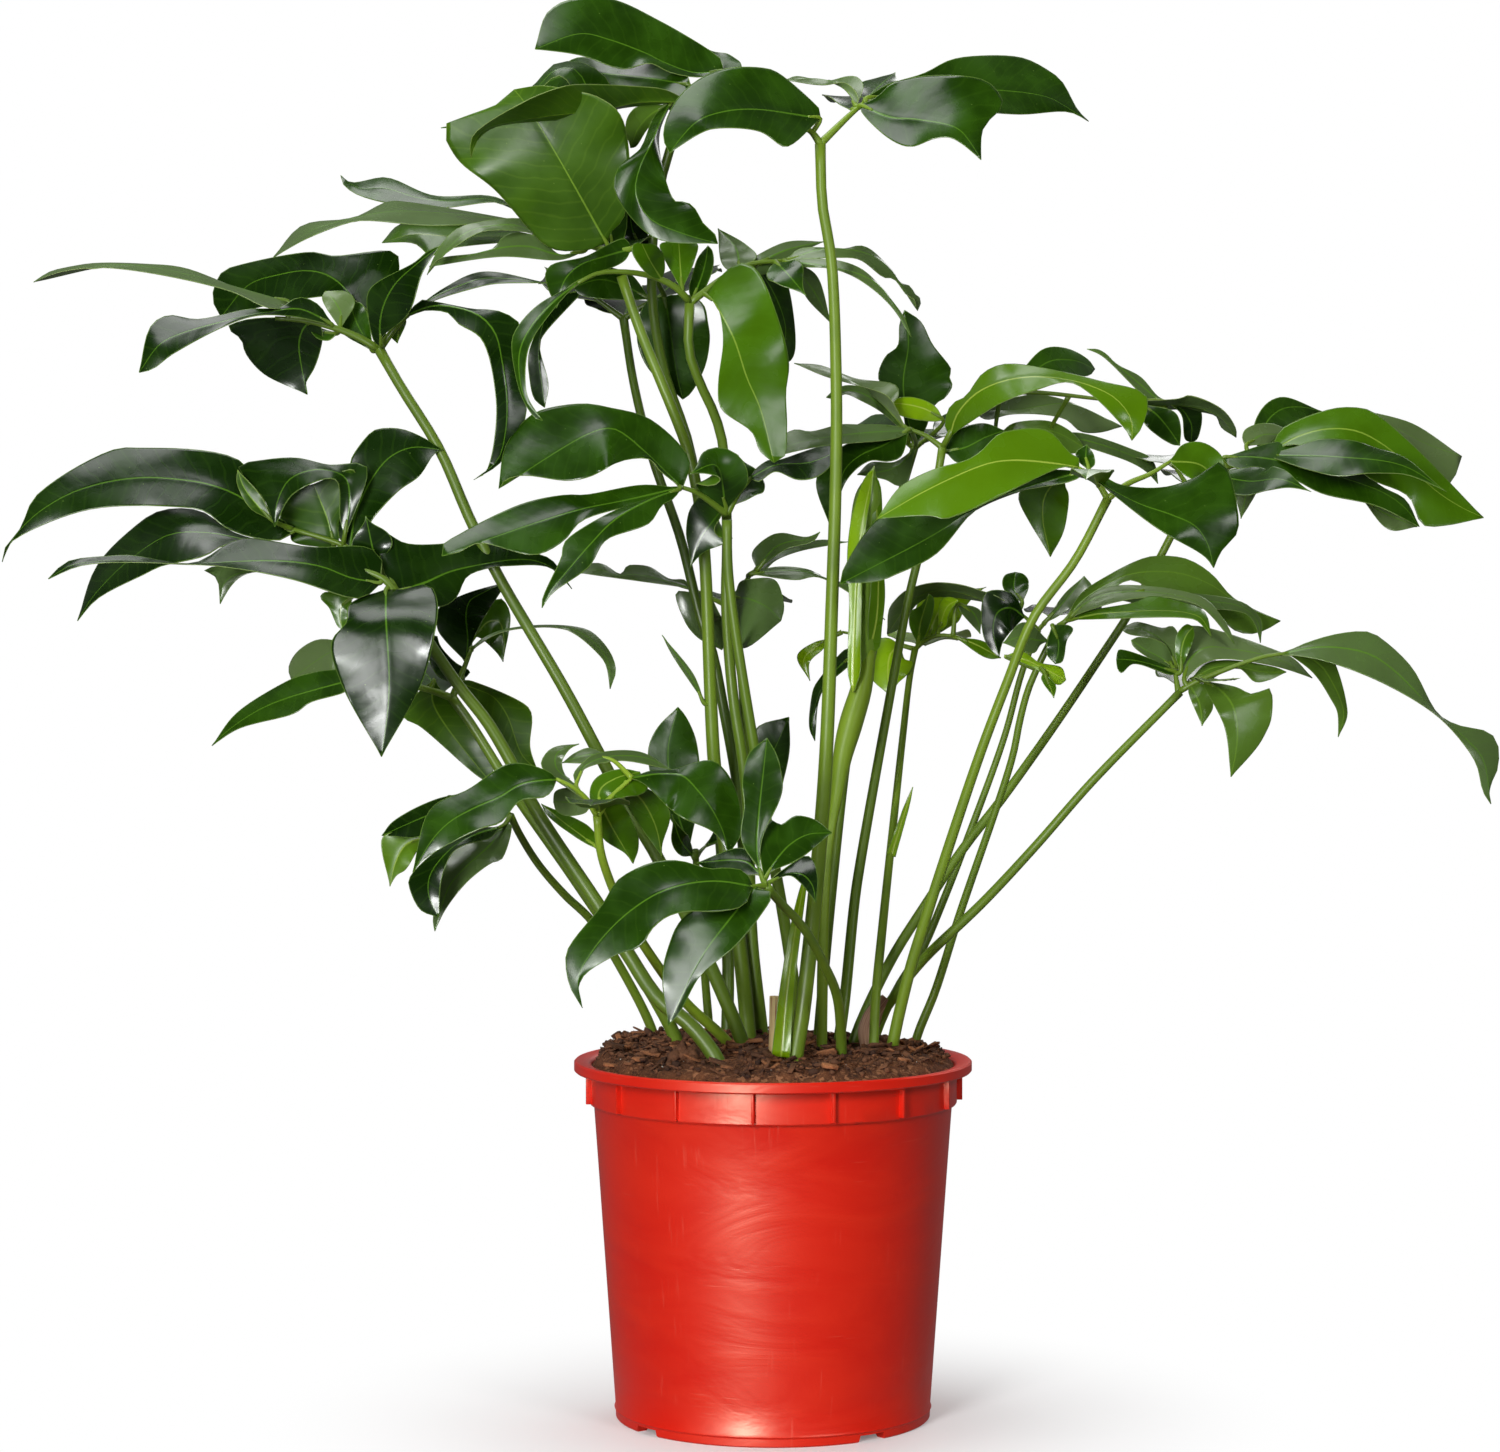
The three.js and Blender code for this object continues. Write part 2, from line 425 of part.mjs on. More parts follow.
        face: [0, -1, 0.7] },
      { rib: [[602, 808, -98], [612, 828, -82], [633, 864, -76]], wide: 48, face: [0, -1, 0.2] },
      { rib: [[626, 783, -92], [645, 808, -74], [662, 858, -68]], wide: 34, face: [0, -1, 0.2] },
      { rib: [[590, 806, -102], [572, 818, -88], [560, 852, -82]], wide: 41, face: [0, -1, 0.2] },
      { rib: [[600, 810, -100], [596, 800, -150], [590, 806, -190]], wide: 36, face: UP },
    ],
  },
  low_left: {
    girth: [3.2, 2.2],
    stalk: [[653, 1035, 66], [638, 1005, 60], [615, 959, 50], [590, 920, 38], [565, 896, 24], [539, 866, 4],
      [520, 836, -18], [510, 816, -30]],
    arms: [
      [[510, 816, -30], [500, 808, -30], [488, 806, -28]],
      [[510, 816, -30], [505, 824, -38], [498, 828, -46]],
    ],
    leaves: [
      { rib: [[490, 806, -28], [455, 808, -20], [415, 832, -12], [389, 886, -8]], wide: 46,
        face: [-0.3, -1, 0.6] },
      { rib: [[506, 822, -36], [490, 845, -46], [460, 885, -52], [434, 932, -56]], wide: 50,
        face: [-0.2, -1, 0.4] },
      { rib: [[498, 828, -46], [470, 826, -66], [445, 860, -76], [438, 917, -80]], wide: 38,
        face: [-0.4, -1, 0.5] },
      { rib: [[500, 808, -30], [480, 800, 30], [465, 808, 85]], wide: 46, face: UP },
    ],
  },
  low_front: {
    girth: [3.4, 2.4],
    stalk: [[842, 1060, -46], [838, 1000, -74], [824, 965, -98], [804, 929, -126], [774, 896, -155],
      [766, 886, -160]],
    arms: [
      [[766, 886, -160], [762, 878, -156], [760, 870, -152]],
      [[766, 886, -160], [758, 886, -164], [750, 887, -168]],
    ],
    leaves: [
      { rib: [[752, 887, -168], [715, 884, -176], [665, 890, -184], [622, 918, -190], [594, 960, -194],
        [580, 1008, -196]], wide: 70, face: [0, -1, 0.9] },
      { rib: [[756, 887, -166], [735, 910, -180], [705, 950, -188], [668, 1027, -192]], wide: 60,
        face: [0, -1, 0.5] },
      { rib: [[760, 871, -152], [762, 820, -142], [765, 775, -136], [768, 735, -132]], wide: 31,
        face: [0, -1, 0.1] },
      { rib: [[764, 880, -156], [780, 852, -144], [800, 838, -138], [831, 833, -134]], wide: 41,
        face: [0, -1, 0.7] },
    ],
  },
  low_back: {
    girth: [3, 2],
    stalk: [[735, 1038, 72], [712, 950, 60], [699, 890, 46], [695, 860, 40]],
    arms: [
      [[695, 860, 40], [690, 852, 40], [686, 844, 40]],
      [[695, 860, 40], [700, 852, 50], [706, 846, 62]],
    ],
    leaves: [
      { rib: [[689, 850, 40], [674, 800, 40], [668, 750, 42], [678, 707, 44]], wide: 36, face: [0, -1, 0.1] },
      { rib: [[706, 846, 62], [722, 838, 74], [746, 798, 124], [772, 754, 138], [789, 717, 140]], wide: 34,
        face: [0, -1, 0.2] },
    ],
  },
};

const NEW_LEAF = {
  girth: [4.2, 3.4],
  stalk: [[824, 1057, -24], [824, 960, -18], [827, 880, -6], [834, 800, 10], [845, 735, 20], [858, 694, 24]],
  spear: [[858, 694, 24], [864, 620, 26], [869, 560, 27], [874, 470, 28]],
  spearWidth: 15,
};
const STUB = { foot: [774, 1064, -50], top: [775, 997, -50], radius: 2.8 };
const SHEATH = { rib: [[870, 1052, 4], [869, 1030, 3], [876, 1012, 4], [886, 998, 6]], wide: 10, face: FRONT };

const LEAF_GREEN = 0x1f6a14;
const STALK_GREEN = 0x4d8b2a;

const vector = (point) => new THREE.Vector3(...point);

// A picture point and its depth, as a place in mm
function place([column, row, depth]) {
  const reach = (EYE_DISTANCE + depth) / FOCAL_LENGTH;
  return new THREE.Vector3((column - AXIS_COLUMN) * reach, depth, EYE_HEIGHT + (EYE_ROW - row) * reach);
}

// Solids
function geometryOf(points, faces) {
  const geometry = new THREE.BufferGeometry();
  const positions = points.flatMap((point) => point.toArray());
  geometry.setAttribute('position', new THREE.Float32BufferAttribute(positions, 3));
  geometry.setIndex(faces);
  return geometry;
}

function solidOf(geometry) {
  const bare = geometry.clone();
  bare.deleteAttribute('normal');
  bare.deleteAttribute('uv');
  const welded = mergeVertices(bare, 1e-4);
  const mesh = new wasm.Mesh({
    numProp: 3,
    vertProperties: Float32Array.from(welded.attributes.position.array),
    triVerts: Uint32Array.from(welded.index.array),
  });
  return new wasm.Manifold(mesh);
}

function meshOf(solid) {
  const { vertProperties, triVerts } = solid.getMesh();
  const geometry = new THREE.BufferGeometry();
  geometry.setAttribute('position', new THREE.BufferAttribute(Float32Array.from(vertProperties), 3));
  geometry.setIndex(Array.from(triVerts));
  return geometry;
}

// A closed skin over rings of points. A last ring of one point is a sharp tip. A side listed in turned is
// split along its other diagonal.
function skin(rings, turned = []) {
  const faces = [];
  let start = 0;
  for (let i = 0; i + 1 < rings.length; i++) {
    const count = rings[i].length;
    const after = start + count;
    for (let j = 0; j < count; j++) {
      const k = (j + 1) % count;
      if (rings[i + 1].length === 1) {
        faces.push(start + j, start + k, after);
      } else if (turned.includes(j)) {
        faces.push(start + j, start + k, after + j, start + k, after + k, after + j);
      } else {
        faces.push(start + j, start + k, after + k, start + j, after + k, after + j);
      }
    }
    start = after;
  }
  for (let j = 1; j + 1 < rings[0].length; j++) {
    faces.push(0, j + 1, j);
  }
  for (let j = 1; j + 1 < rings.at(-1).length; j++) {
    faces.push(start, start + j, start + j + 1);
  }
  return geometryOf(rings.flat(), faces);
}

// A round stem through its points, from one radius to the other
function stem(points, radii, sides) {
  const along = points.at(-1).clone().sub(points[0]).normalize();
  const aside = Math.abs(along.z) < 0.7 ? vector(UP) : vector(FRONT);
  const rings = points.map((point, i) => {
    const before = points[Math.max(i - 1, 0)];
    const after = points[Math.min(i + 1, points.length - 1)];
    const arriving = point.clone().sub(before).normalize();
    const heading = after.clone().sub(point).normalize().add(arriving).normalize();
    const across = aside.clone().addScaledVector(heading, -aside.dot(heading)).normalize();
    const over = heading.clone().cross(across);
    const radius = THREE.MathUtils.lerp(radii[0], radii[1], i / (points.length - 1));
    return Array.from({ length: sides }, (_, j) => {
      const angle = (2 * Math.PI * j) / sides;
      const spoke = across.clone().multiplyScalar(Math.cos(angle)).addScaledVector(over, Math.sin(angle));
      return point.clone().addScaledVector(spoke, radius);
    });
  });
  return solidOf(skin(rings));
}

// How wide a leaflet is along its midrib, as a share of its full width
const outline = new THREE.SplineCurve([[0, 0.08], [0.14, 0.55], [0.34, 0.97], [0.55, 0.95], [0.78, 0.55],
  [0.92, 0.17], [1, 0]].map(([s, width]) => new THREE.Vector2(s, width)));
function widthAt(s) {
  return Math.max(outline.getPoint(s).y, 0.02);
}

// A leaflet with a folded middle and waved edges, thickest along its midrib. Its foot lies in the arm that it
// grows from.
function leaflet({ rib, wide, face, sheath }, root) {
  const points = rib.map(place);
  const curve = new THREE.CatmullRomCurve3(points, false, 'centripetal');
  const stations = curve.getLength() > LONG_LEAFLET ? [0, 0.15, 0.36, 0.6, 0.82] : [0, 0.2, 0.5, 0.8];
  const phase = (rib[0][0] * 0.37 + rib[0][1] * 0.61) % 1;
  const rings = [];
  const addRing = (centre, heading, half, thickness, s) => {
    const upper = vector(face);
    upper.addScaledVector(heading, -upper.dot(heading)).normalize();
    const side = heading.clone().cross(upper);
    const lift = half * FOLD * (1 - 2 * s);
    const edge = (sign, turn) => centre.clone().addScaledVector(side, sign * half)
      .addScaledVector(upper, lift + WAVE_HEIGHT * half * Math.sin(2 * Math.PI * (WAVES * s + phase + turn)));
    const middle = (sign) => centre.clone().addScaledVector(upper, (sign * thickness) / 2);
    rings.push([edge(-1, 0), middle(1), edge(1, 0.4), middle(-1)]);
  };
  if (root.distanceTo(points[0]) > 1) {
    addRing(root, points[0].clone().sub(root).normalize(), 1.2, BASE_BLADE, 0);
  }
  for (const s of stations) {
    const half = sheath ? wide / 2 : Math.max((wide * widthAt(s)) / 2, 1.2);
    addRing(curve.getPointAt(s), curve.getTangentAt(s), half, THREE.MathUtils.lerp(BASE_BLADE, BLADE, s), s);
  }
  rings.push([curve.getPointAt(1)]);
  return solidOf(skin(rings, [2, 3]));
}

// The place on a frond's stems that is nearest to a point
function nearestOn(lines, point) {
  let best = lines[0][0];
  for (const line of lines) {
    for (let i = 0; i + 1 < line.length; i++) {
      const near = new THREE.Line3(line[i], line[i + 1]).closestPointToPoint(point, true, new THREE.Vector3());
      if (near.distanceTo(point) < best.distanceTo(point)) {
        best = near;
      }
    }
  }
  return best;
}

// The stalk's line goes on into the soil, steeper than above it
function rooted(points) {
  const down = points[0].clone().sub(points[1]).multiply(new THREE.Vector3(0.3, 0.3, 1));
  down.multiplyScalar(ROOT_DEPTH / Math.abs(down.z));
  return [points[0].clone().add(down), ...points];
}

// An arm's line goes on a little into the leaflet at its end
function stretched(points) {
  const onward = points.at(-1).clone().sub(points.at(-2)).setLength(ARM_REACH);
  return [...points.slice(0, -1), points.at(-1).clone().add(onward)];
}

const holes = [];

// A plain hole for a stalk, a little wider and deeper than it
function digHole(points, radius) {
  const [foot, collar, next] = rooted(points);
  const above = collar.clone().add(next.clone().sub(collar).setLength(HOLE_REACH));
  const wide = radius * HOLE_SPREAD;
  holes.push(stem([foot.clone().setZ(foot.z - GAP), collar, above], [wide, wide], STALK_SIDES));
}

function frond({ girth, stalk, arms, leaves }) {
  const points = stalk.map(place);
  const armLines = arms.map((arm) => arm.map(place));
  let solid = stem(rooted(points), girth, STALK_SIDES);
  for (const line of armLines) {
    solid = solid.add(stem(stretched(line), [girth[1] * 0.8, girth[1] * 0.45], 4));
  }
  for (const leaf of leaves) {
    const root = nearestOn([points, ...armLines], place(leaf.rib[0]));
    solid = solid.add(leaflet(leaf, root));
  }
  digHole(points, girth[0]);
  return solid;
}

// The young leaf is still rolled up: a stalk and a slim spindle
function newLeaf({ girth, stalk, spear, spearWidth }) {
  const points = stalk.map(place);
  const curve = new THREE.CatmullRomCurve3(spear.map(place), false, 'centripetal');
  const rings = [0, 0.12, 0.35, 0.6, 0.82].map((t) => {
    const centre = curve.getPointAt(t);
    const half = spearWidth * (0.24 + 0.3 * Math.sin(Math.PI * Math.min(t * 0.9 + 0.1, 1)));
    return Array.from({ length: 8 }, (_, j) => {
      const angle = (2 * Math.PI * j) / 8;
      return centre.clone().add(new THREE.Vector3(half * Math.cos(angle), half * Math.sin(angle), 0));
    });
  });
  rings.push([curve.getPointAt(1)]);
  digHole(points, girth[0]);
  return stem(rooted(points), girth, STALK_SIDES).add(solidOf(skin(rings)));
}

function stub({ foot, top, radius }) {
  const points = [place(foot), place(top)];
  digHole(points, radius);
  return stem(rooted(points), [radius, radius], STALK_SIDES);
}

function drySheath(sheath) {
  const points = sheath.rib.map(place);
  digHole(points, sheath.wide / 2 + 1);
  const below = points[0].clone().add(new THREE.Vector3(0, 0, -ROOT_DEPTH / 2));
  return leaflet({ ...sheath, sheath: true }, below);
}

// The pot
function potProfile() {
  const lipBottom = POT_HEIGHT - LIP_DEPTH;
  return [[0, 0], [34, 0], [37, FLOOR_RISE], [85, FLOOR_RISE], [88, 0], [FOOT_RADIUS, 0],
    [BODY_FOOT_RADIUS, 26], [BODY_TOP_RADIUS, BAND_BOTTOM - 1], [BAND_RADIUS, BAND_BOTTOM],
    [BAND_RADIUS, lipBottom], [LIP_RADIUS, lipBottom], [LIP_RADIUS, POT_HEIGHT],
    [BAND_RADIUS - WALL, POT_HEIGHT - 3], [BODY_TOP_RADIUS - WALL, BAND_BOTTOM - 2],
    [BODY_FOOT_RADIUS - WALL, 26], [92, FLOOR_RISE + WALL],
    [38, FLOOR_RISE + WALL], [35, WALL], [0, WALL]].map(([r, z]) => new THREE.Vector2(r, z));
}

function turnedSolid(profile) {
  return solidOf(new THREE.LatheGeometry(profile, ROUND_SIDES).rotateX(Math.PI / 2));
}

function block(width, depth, height, radius, middle, degrees) {
  const box = new THREE.BoxGeometry(width, depth, height).translate(0, -radius, middle);
  return solidOf(box.rotateZ(THREE.MathUtils.degToRad(degrees)));
}

function pot() {
  let solid = turnedSolid(potProfile());
  const bandHeight = POT_HEIGHT - LIP_DEPTH - BAND_BOTTOM;
  for (let i = 0; i < RIB_COUNT; i++) {
    const angle = FIRST_RIB + (360 / RIB_COUNT) * i;
    const middle = BAND_BOTTOM + bandHeight / 2 + 0.3;
    solid = solid.add(block(RIB_WIDTH, RIB_REACH + 1.2, bandHeight, BAND_RADIUS + RIB_REACH / 2 - 0.6, middle,
      angle));
  }
  for (let i = 0; i < NOTCH_COUNT; i++) {
    const angle = FIRST_NOTCH + (360 / NOTCH_COUNT) * i;
    solid = solid.subtract(block(NOTCH_WIDTH, 14, NOTCH_HEIGHT * 2, FOOT_RADIUS - 2, 0, angle));
  }
  for (let i = 0; i < DRAIN_COUNT; i++) {
    const hole = new THREE.CylinderGeometry(DRAIN_RADIUS, DRAIN_RADIUS, 8, 8).rotateX(Math.PI / 2);
    hole.translate(0, -62, FLOOR_RISE + WALL / 2);
    solid = solid.subtract(solidOf(hole.rotateZ((2 * Math.PI * i) / DRAIN_COUNT)));
  }
  return solid;
}

// The soil fills the pot, with a bumpy top heaped a little over the lip
function soil() {
  const profile = [[0, WALL + GAP], [34.8, WALL + GAP], [37.9, FLOOR_RISE + WALL + GAP],
    [91.7, FLOOR_RISE + WALL + GAP], [BODY_FOOT_RADIUS - WALL - GAP, 26.3],
    [BODY_TOP_RADIUS - WALL - GAP, BAND_BOTTOM - 2], [BAND_RADIUS - WALL - GAP, SOIL_EDGE - 2],
    [101, SOIL_EDGE + 4], [70, SOIL_TOP - 2], [0, SOIL_TOP]].map(([r, z]) => new THREE.Vector2(r, z));
  const geometry = new THREE.LatheGeometry(profile, ROUND_SIDES).rotateX(Math.PI / 2);
  const places = geometry.attributes.position;
  for (let i = 0; i < places.count; i++) {
    const [x, y, z] = [places.getX(i), places.getY(i), places.getZ(i)];
    if (z > SOIL_EDGE && Math.hypot(x, y) > 1) {
      places.setZ(i, z + 1.3 * Math.sin(x * 0.13 + y * 0.07) + 1.1 * Math.sin(y * 0.19 - x * 0.05));
    }
  }
  return holes.reduce((solid, hole) => solid.subtract(hole), solidOf(geometry));
}

const plant = new THREE.Group();

function addPiece(name, solid, color, roughness) {
  const material = new THREE.MeshStandardMaterial({ color, roughness, metalness: 0 });
  const mesh = new THREE.Mesh(meshOf(solid), material);
  mesh.name = name;
  plant.add(mesh);
}

for (const [name, parts] of Object.entries(FRONDS)) {
  addPiece(`frond_${name}`, frond(parts), LEAF_GREEN, 0.35);
}
addPiece('new_leaf', newLeaf(NEW_LEAF), STALK_GREEN, 0.4);
addPiece('cut_stub', stub(STUB), 0xd9b38c, 0.8);
addPiece('dry_sheath', drySheath(SHEATH), 0x6b4630, 0.9);
addPiece('pot', pot(), 0xe03a22, 0.4);
addPiece('soil', soil(), 0x5f3a24, 1);

export default plant;
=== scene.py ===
import math
import random

import bpy
import numpy as np
from mathutils import Matrix, Vector, noise


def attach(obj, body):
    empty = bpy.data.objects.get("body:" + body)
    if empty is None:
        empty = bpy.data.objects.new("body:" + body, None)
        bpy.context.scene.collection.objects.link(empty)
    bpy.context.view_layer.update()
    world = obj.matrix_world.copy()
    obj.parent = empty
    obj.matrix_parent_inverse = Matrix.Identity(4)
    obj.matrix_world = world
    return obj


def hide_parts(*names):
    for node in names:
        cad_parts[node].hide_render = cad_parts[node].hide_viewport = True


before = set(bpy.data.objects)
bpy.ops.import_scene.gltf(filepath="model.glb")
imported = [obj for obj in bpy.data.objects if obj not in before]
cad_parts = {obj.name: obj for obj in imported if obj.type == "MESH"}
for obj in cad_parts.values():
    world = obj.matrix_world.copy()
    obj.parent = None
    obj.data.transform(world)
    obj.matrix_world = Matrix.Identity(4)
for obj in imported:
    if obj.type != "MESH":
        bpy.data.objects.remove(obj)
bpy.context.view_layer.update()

scene = bpy.context.scene

# The viewer's place: a long lens, 2.4 m in front of the pot and level with the upper leaves, as in the
# photograph. The plant was measured there in picture columns, rows and depths behind the pot's axis (mm).
EYE_DISTANCE = 2361
EYE_HEIGHT = 493
FOCAL_LENGTH = 3922
AXIS_COLUMN = 773
EYE_ROW = 600
PICTURE_SIZE = (1500, 1452)
SENSOR_WIDTH = 36
MM = 0.001


def place(point):
    """The place in m that a picture point (column, row, depth in mm) shows."""
    column, row, depth = point
    reach = (EYE_DISTANCE + depth) / FOCAL_LENGTH
    x = (column - AXIS_COLUMN) * reach
    return np.array((x, depth, EYE_HEIGHT + (EYE_ROW - row) * reach)) * MM


def deselect_all():
    if bpy.context.object and bpy.context.object.mode != "OBJECT":
        bpy.ops.object.mode_set(mode="OBJECT")
    bpy.ops.object.select_all(action="DESELECT")


deselect_all()
middle_column = (PICTURE_SIZE[0] / 2 - AXIS_COLUMN) / FOCAL_LENGTH
middle_row = (EYE_ROW - PICTURE_SIZE[1] / 2) / FOCAL_LENGTH
looking = Vector((middle_column, 1, middle_row)).to_track_quat("-Z", "Y")
bpy.ops.object.camera_add(
    location=(0, -EYE_DISTANCE * MM, EYE_HEIGHT * MM), rotation=looking.to_euler())
camera = bpy.context.object
camera.name = "studio_camera"
camera.data.sensor_width = SENSOR_WIDTH
camera.data.lens = FOCAL_LENGTH / PICTURE_SIZE[0] * SENSOR_WIDTH
camera.data.clip_end = 100
scene.camera = camera

# The studio: a white floor that runs into a white surround, a large softbox in front on the left, a low one
# that only draws the pot's long highlight, a weak one on the right, one overhead and one behind. The surround
# is dim, so that the leaves stay deep in colour.
FLOOR_REACH = 14
SOFTBOXES = {  # name: (place, aim, width, height, watts)
    "softbox_left": ((-1.0, -2.4, 1.0), (0, 0, 0.35), 0.6, 1.8, 62),
    "softbox_low": ((-0.8, -2.3, 0.3), (0, 0, 0.2), 0.35, 0.6, 40),
    "softbox_right": ((1.5, -2.1, 1.6), (0, 0, 0.4), 0.6, 0.9, 19),
    "softbox_top": ((-0.5, 0.2, 2.4), (0, 0, 0.5), 1.3, 1.1, 26),
    "softbox_behind": ((0.9, 1.9, 1.7), (0, 0, 0.5), 1.4, 0.8, 12),
}
GLOSS_ONLY = ("softbox_low",)
FLOOR_ALBEDO = 0.4  # what the floor sends back to the plant; the viewer sees it near white
FLOOR_GLOW = 0.15
SHADOW_REACH = 0.32
SURROUND_FRONT = 0.02
SURROUND_BACK = 0.18


def srgb(red, green, blue):
    def channel(value):
        value /= 255
        return value / 12.92 if value <= 0.04045 else ((value + 0.055) / 1.055) ** 2.4

    return (channel(red), channel(green), channel(blue), 1)


def fill(tree, node, **inputs):
    """Gives a node's inputs, by name or _number, each a number, a colour or a socket."""
    for key, value in inputs.items():
        socket = node.inputs[int(key[1:]) if key[0] == "_" else key.replace("_", " ")]
        if isinstance(value, bpy.types.NodeSocket):
            tree.links.new(value, socket)
        else:
            socket.default_value = value
    return node


def add_node(tree, kind, settings=None, **inputs):
    made = tree.nodes.new(kind)
    for key, value in (settings or {}).items():
        setattr(made, key, value)
    return fill(tree, made, **inputs)


def sums(tree, operation, first, second=0.0, third=0.0):
    made = add_node(tree, "ShaderNodeMath", {"operation": operation}, _0=first, _1=second, _2=third)
    return made.outputs[0]


def ramp(tree, value, low, high, start=0.0, end=1.0):
    """A soft step from start to end while the value goes from low to high."""
    made = add_node(tree, "ShaderNodeMapRange", {"interpolation_type": "SMOOTHSTEP"}, _0=value, _1=low,
        _2=high, _3=start, _4=end)
    return made.outputs[0]


def colours(tree, share, first, second):
    return add_node(tree, "ShaderNodeMix", {"data_type": "RGBA"}, _0=share, _6=first, _7=second).outputs[2]


def object_place(tree):
    return add_node(tree, "ShaderNodeTexCoord").outputs["Object"]


def mottle(tree, where, scale, detail=2.0, **more):
    """Soft noise from 0 to 1, in cycles per metre."""
    made = add_node(tree, "ShaderNodeTexNoise", None, Vector=where, Scale=scale, Detail=detail, **more)
    return made.outputs[0]


def drawn_out(tree, where, scales, detail=2.0, **more):
    """The same noise with its own scale along each axis."""
    return mottle(tree, add_node(tree, "ShaderNodeMapping", None, Vector=where, Scale=scales).outputs[0], 1.0,
        detail, **more)


def relief(tree, height, strength, reach):
    return add_node(tree, "ShaderNodeBump", None, Strength=strength, Distance=reach, Height=height).outputs[0]


def new_finish(name):
    """An empty material: (material, its node tree, its shader node)."""
    material = bpy.data.materials.new(name)
    material.use_nodes = True
    tree = material.node_tree
    return material, tree, tree.nodes["Principled BSDF"]


def floor_finish():
    material, tree, shader = new_finish("studio_floor_white")
    seen = add_node(tree, "ShaderNodeLightPath").outputs["Is Camera Ray"]
    where = object_place(tree)
    pale = colours(tree, mottle(tree, where, 5.0, 3.0), (0.96, 0.96, 0.96, 1), (0.98, 0.98, 0.98, 1))
    paint = colours(tree, seen, (FLOOR_ALBEDO, FLOOR_ALBEDO, FLOOR_ALBEDO, 1), pale)
    fill(tree, shader, Base_Color=paint, Roughness=0.8, Specular_IOR_Level=0.2)
    glow = add_node(tree, "ShaderNodeEmission", None, Color=(1, 1, 1, 1),
        Strength=ramp(tree, seen, 0, 1, FLOOR_GLOW))
    distance = add_node(tree, "ShaderNodeVectorMath", {"operation": "LENGTH"}, _0=where).outputs["Value"]
    away = ramp(tree, distance, 0.0, SHADOW_REACH)
    both = add_node(tree, "ShaderNodeMixShader", None, _0=away, _1=shader.outputs[0], _2=glow.outputs[0])
    fill(tree, tree.nodes["Material Output"], Surface=both.outputs[0])
    return material


deselect_all()
bpy.ops.mesh.primitive_grid_add(x_subdivisions=8, y_subdivisions=8, size=FLOOR_REACH)
floor = bpy.context.object
floor.name = "studio_floor"
floor.data.materials.append(floor_finish())

for name, (spot, aim, width, height, watts) in SOFTBOXES.items():
    deselect_all()
    heading = (Vector(aim) - Vector(spot)).to_track_quat("-Z", "Y").to_euler()
    bpy.ops.object.light_add(type="AREA", location=spot, rotation=heading)
    lamp = bpy.context.object
    lamp.name = name
    lamp.data.shape = "RECTANGLE"
    lamp.data.size = width
    lamp.data.size_y = height
    lamp.data.energy = watts
    lamp.visible_camera = False
    lamp.visible_diffuse = name not in GLOSS_ONLY

world = bpy.data.worlds.new("studio_surround")
scene.world = world
world.use_nodes = True
tree = world.node_tree
heading = add_node(tree, "ShaderNodeTexCoord").outputs["Generated"]
depth = add_node(tree, "ShaderNodeSeparateXYZ", None, Vector=heading).outputs["Y"]
glow = ramp(tree, depth, -0.3, 0.6, SURROUND_FRONT, SURROUND_BACK)
seen = add_node(tree, "ShaderNodeLightPath").outputs["Is Camera Ray"]
fill(tree, tree.nodes["Background"], Color=(1, 1, 1, 1), Strength=sums(tree, "MAXIMUM", glow, seen))
scene.view_settings.view_transform = "Standard"

# The grower's pot: one injection-moulded shell of red polypropylene with a stiff rolled lip, a band with
# fifteen thin upright ribs under it, a plain tapering wall, four foot notches and six drain holes.
LIP_RADIUS = 120
POT_HEIGHT = 216
LIP_DEPTH = 6.5
BAND_RADIUS = 111
BAND_BOTTOM = 191
BODY_TOP_RADIUS = 108
BODY_FOOT_RADIUS = 96.5
FOOT_RADIUS = 95
WALL = 1.6
FLOOR_RISE = 4
POT_PROFILE = [  # (radius, height) from the middle of the underside, round the lip, to the middle inside
    (0, 0), (34, 0), (37, FLOOR_RISE), (85, FLOOR_RISE), (88, 0), (FOOT_RADIUS - 0.8, 0), (FOOT_RADIUS, 0.8),
    (FOOT_RADIUS + 0.1, 5), (FOOT_RADIUS + 0.9, 6.2), (FOOT_RADIUS + 0.2, 7.6), (BODY_FOOT_RADIUS, 26),
    (99.5, 69), (102.4, 110), (105.2, 150), (BODY_TOP_RADIUS, 188.6), (108.6, BAND_BOTTOM - 1),
    (BAND_RADIUS - 0.5, BAND_BOTTOM - 0.8), (BAND_RADIUS, BAND_BOTTOM), (BAND_RADIUS, 200),
    (BAND_RADIUS, 208.3), (BAND_RADIUS + 1.2, 209.5), (LIP_RADIUS - 0.8, 209.5), (LIP_RADIUS, 210.3),
    (LIP_RADIUS, 215.0), (LIP_RADIUS - 0.9, 215.9), (118, 216), (112, 214.8), (110.2, 214), (109.4, 213),
    (106.4, 189), (103.7, 150), (98, 69), (94.9, 26), (92, FLOOR_RISE + WALL), (38, FLOOR_RISE + WALL),
    (35, WALL), (0, WALL),
]
POT_STEPS = 144
RIB_COUNT = 15
RIB_REACH = 3.4
RIB_WIDTH = 1.7
FIRST_RIB = -5.9
NOTCH_COUNT = 4
NOTCH_WIDTH = 22
NOTCH_HEIGHT = 4
NOTCH_DEPTH = 14
NOTCH_TAPER = 0.8
FIRST_NOTCH = -52
DRAIN_COUNT = 6
DRAIN_RADIUS = 5
DRAIN_RING = 62
SHARP_ANGLE = 32


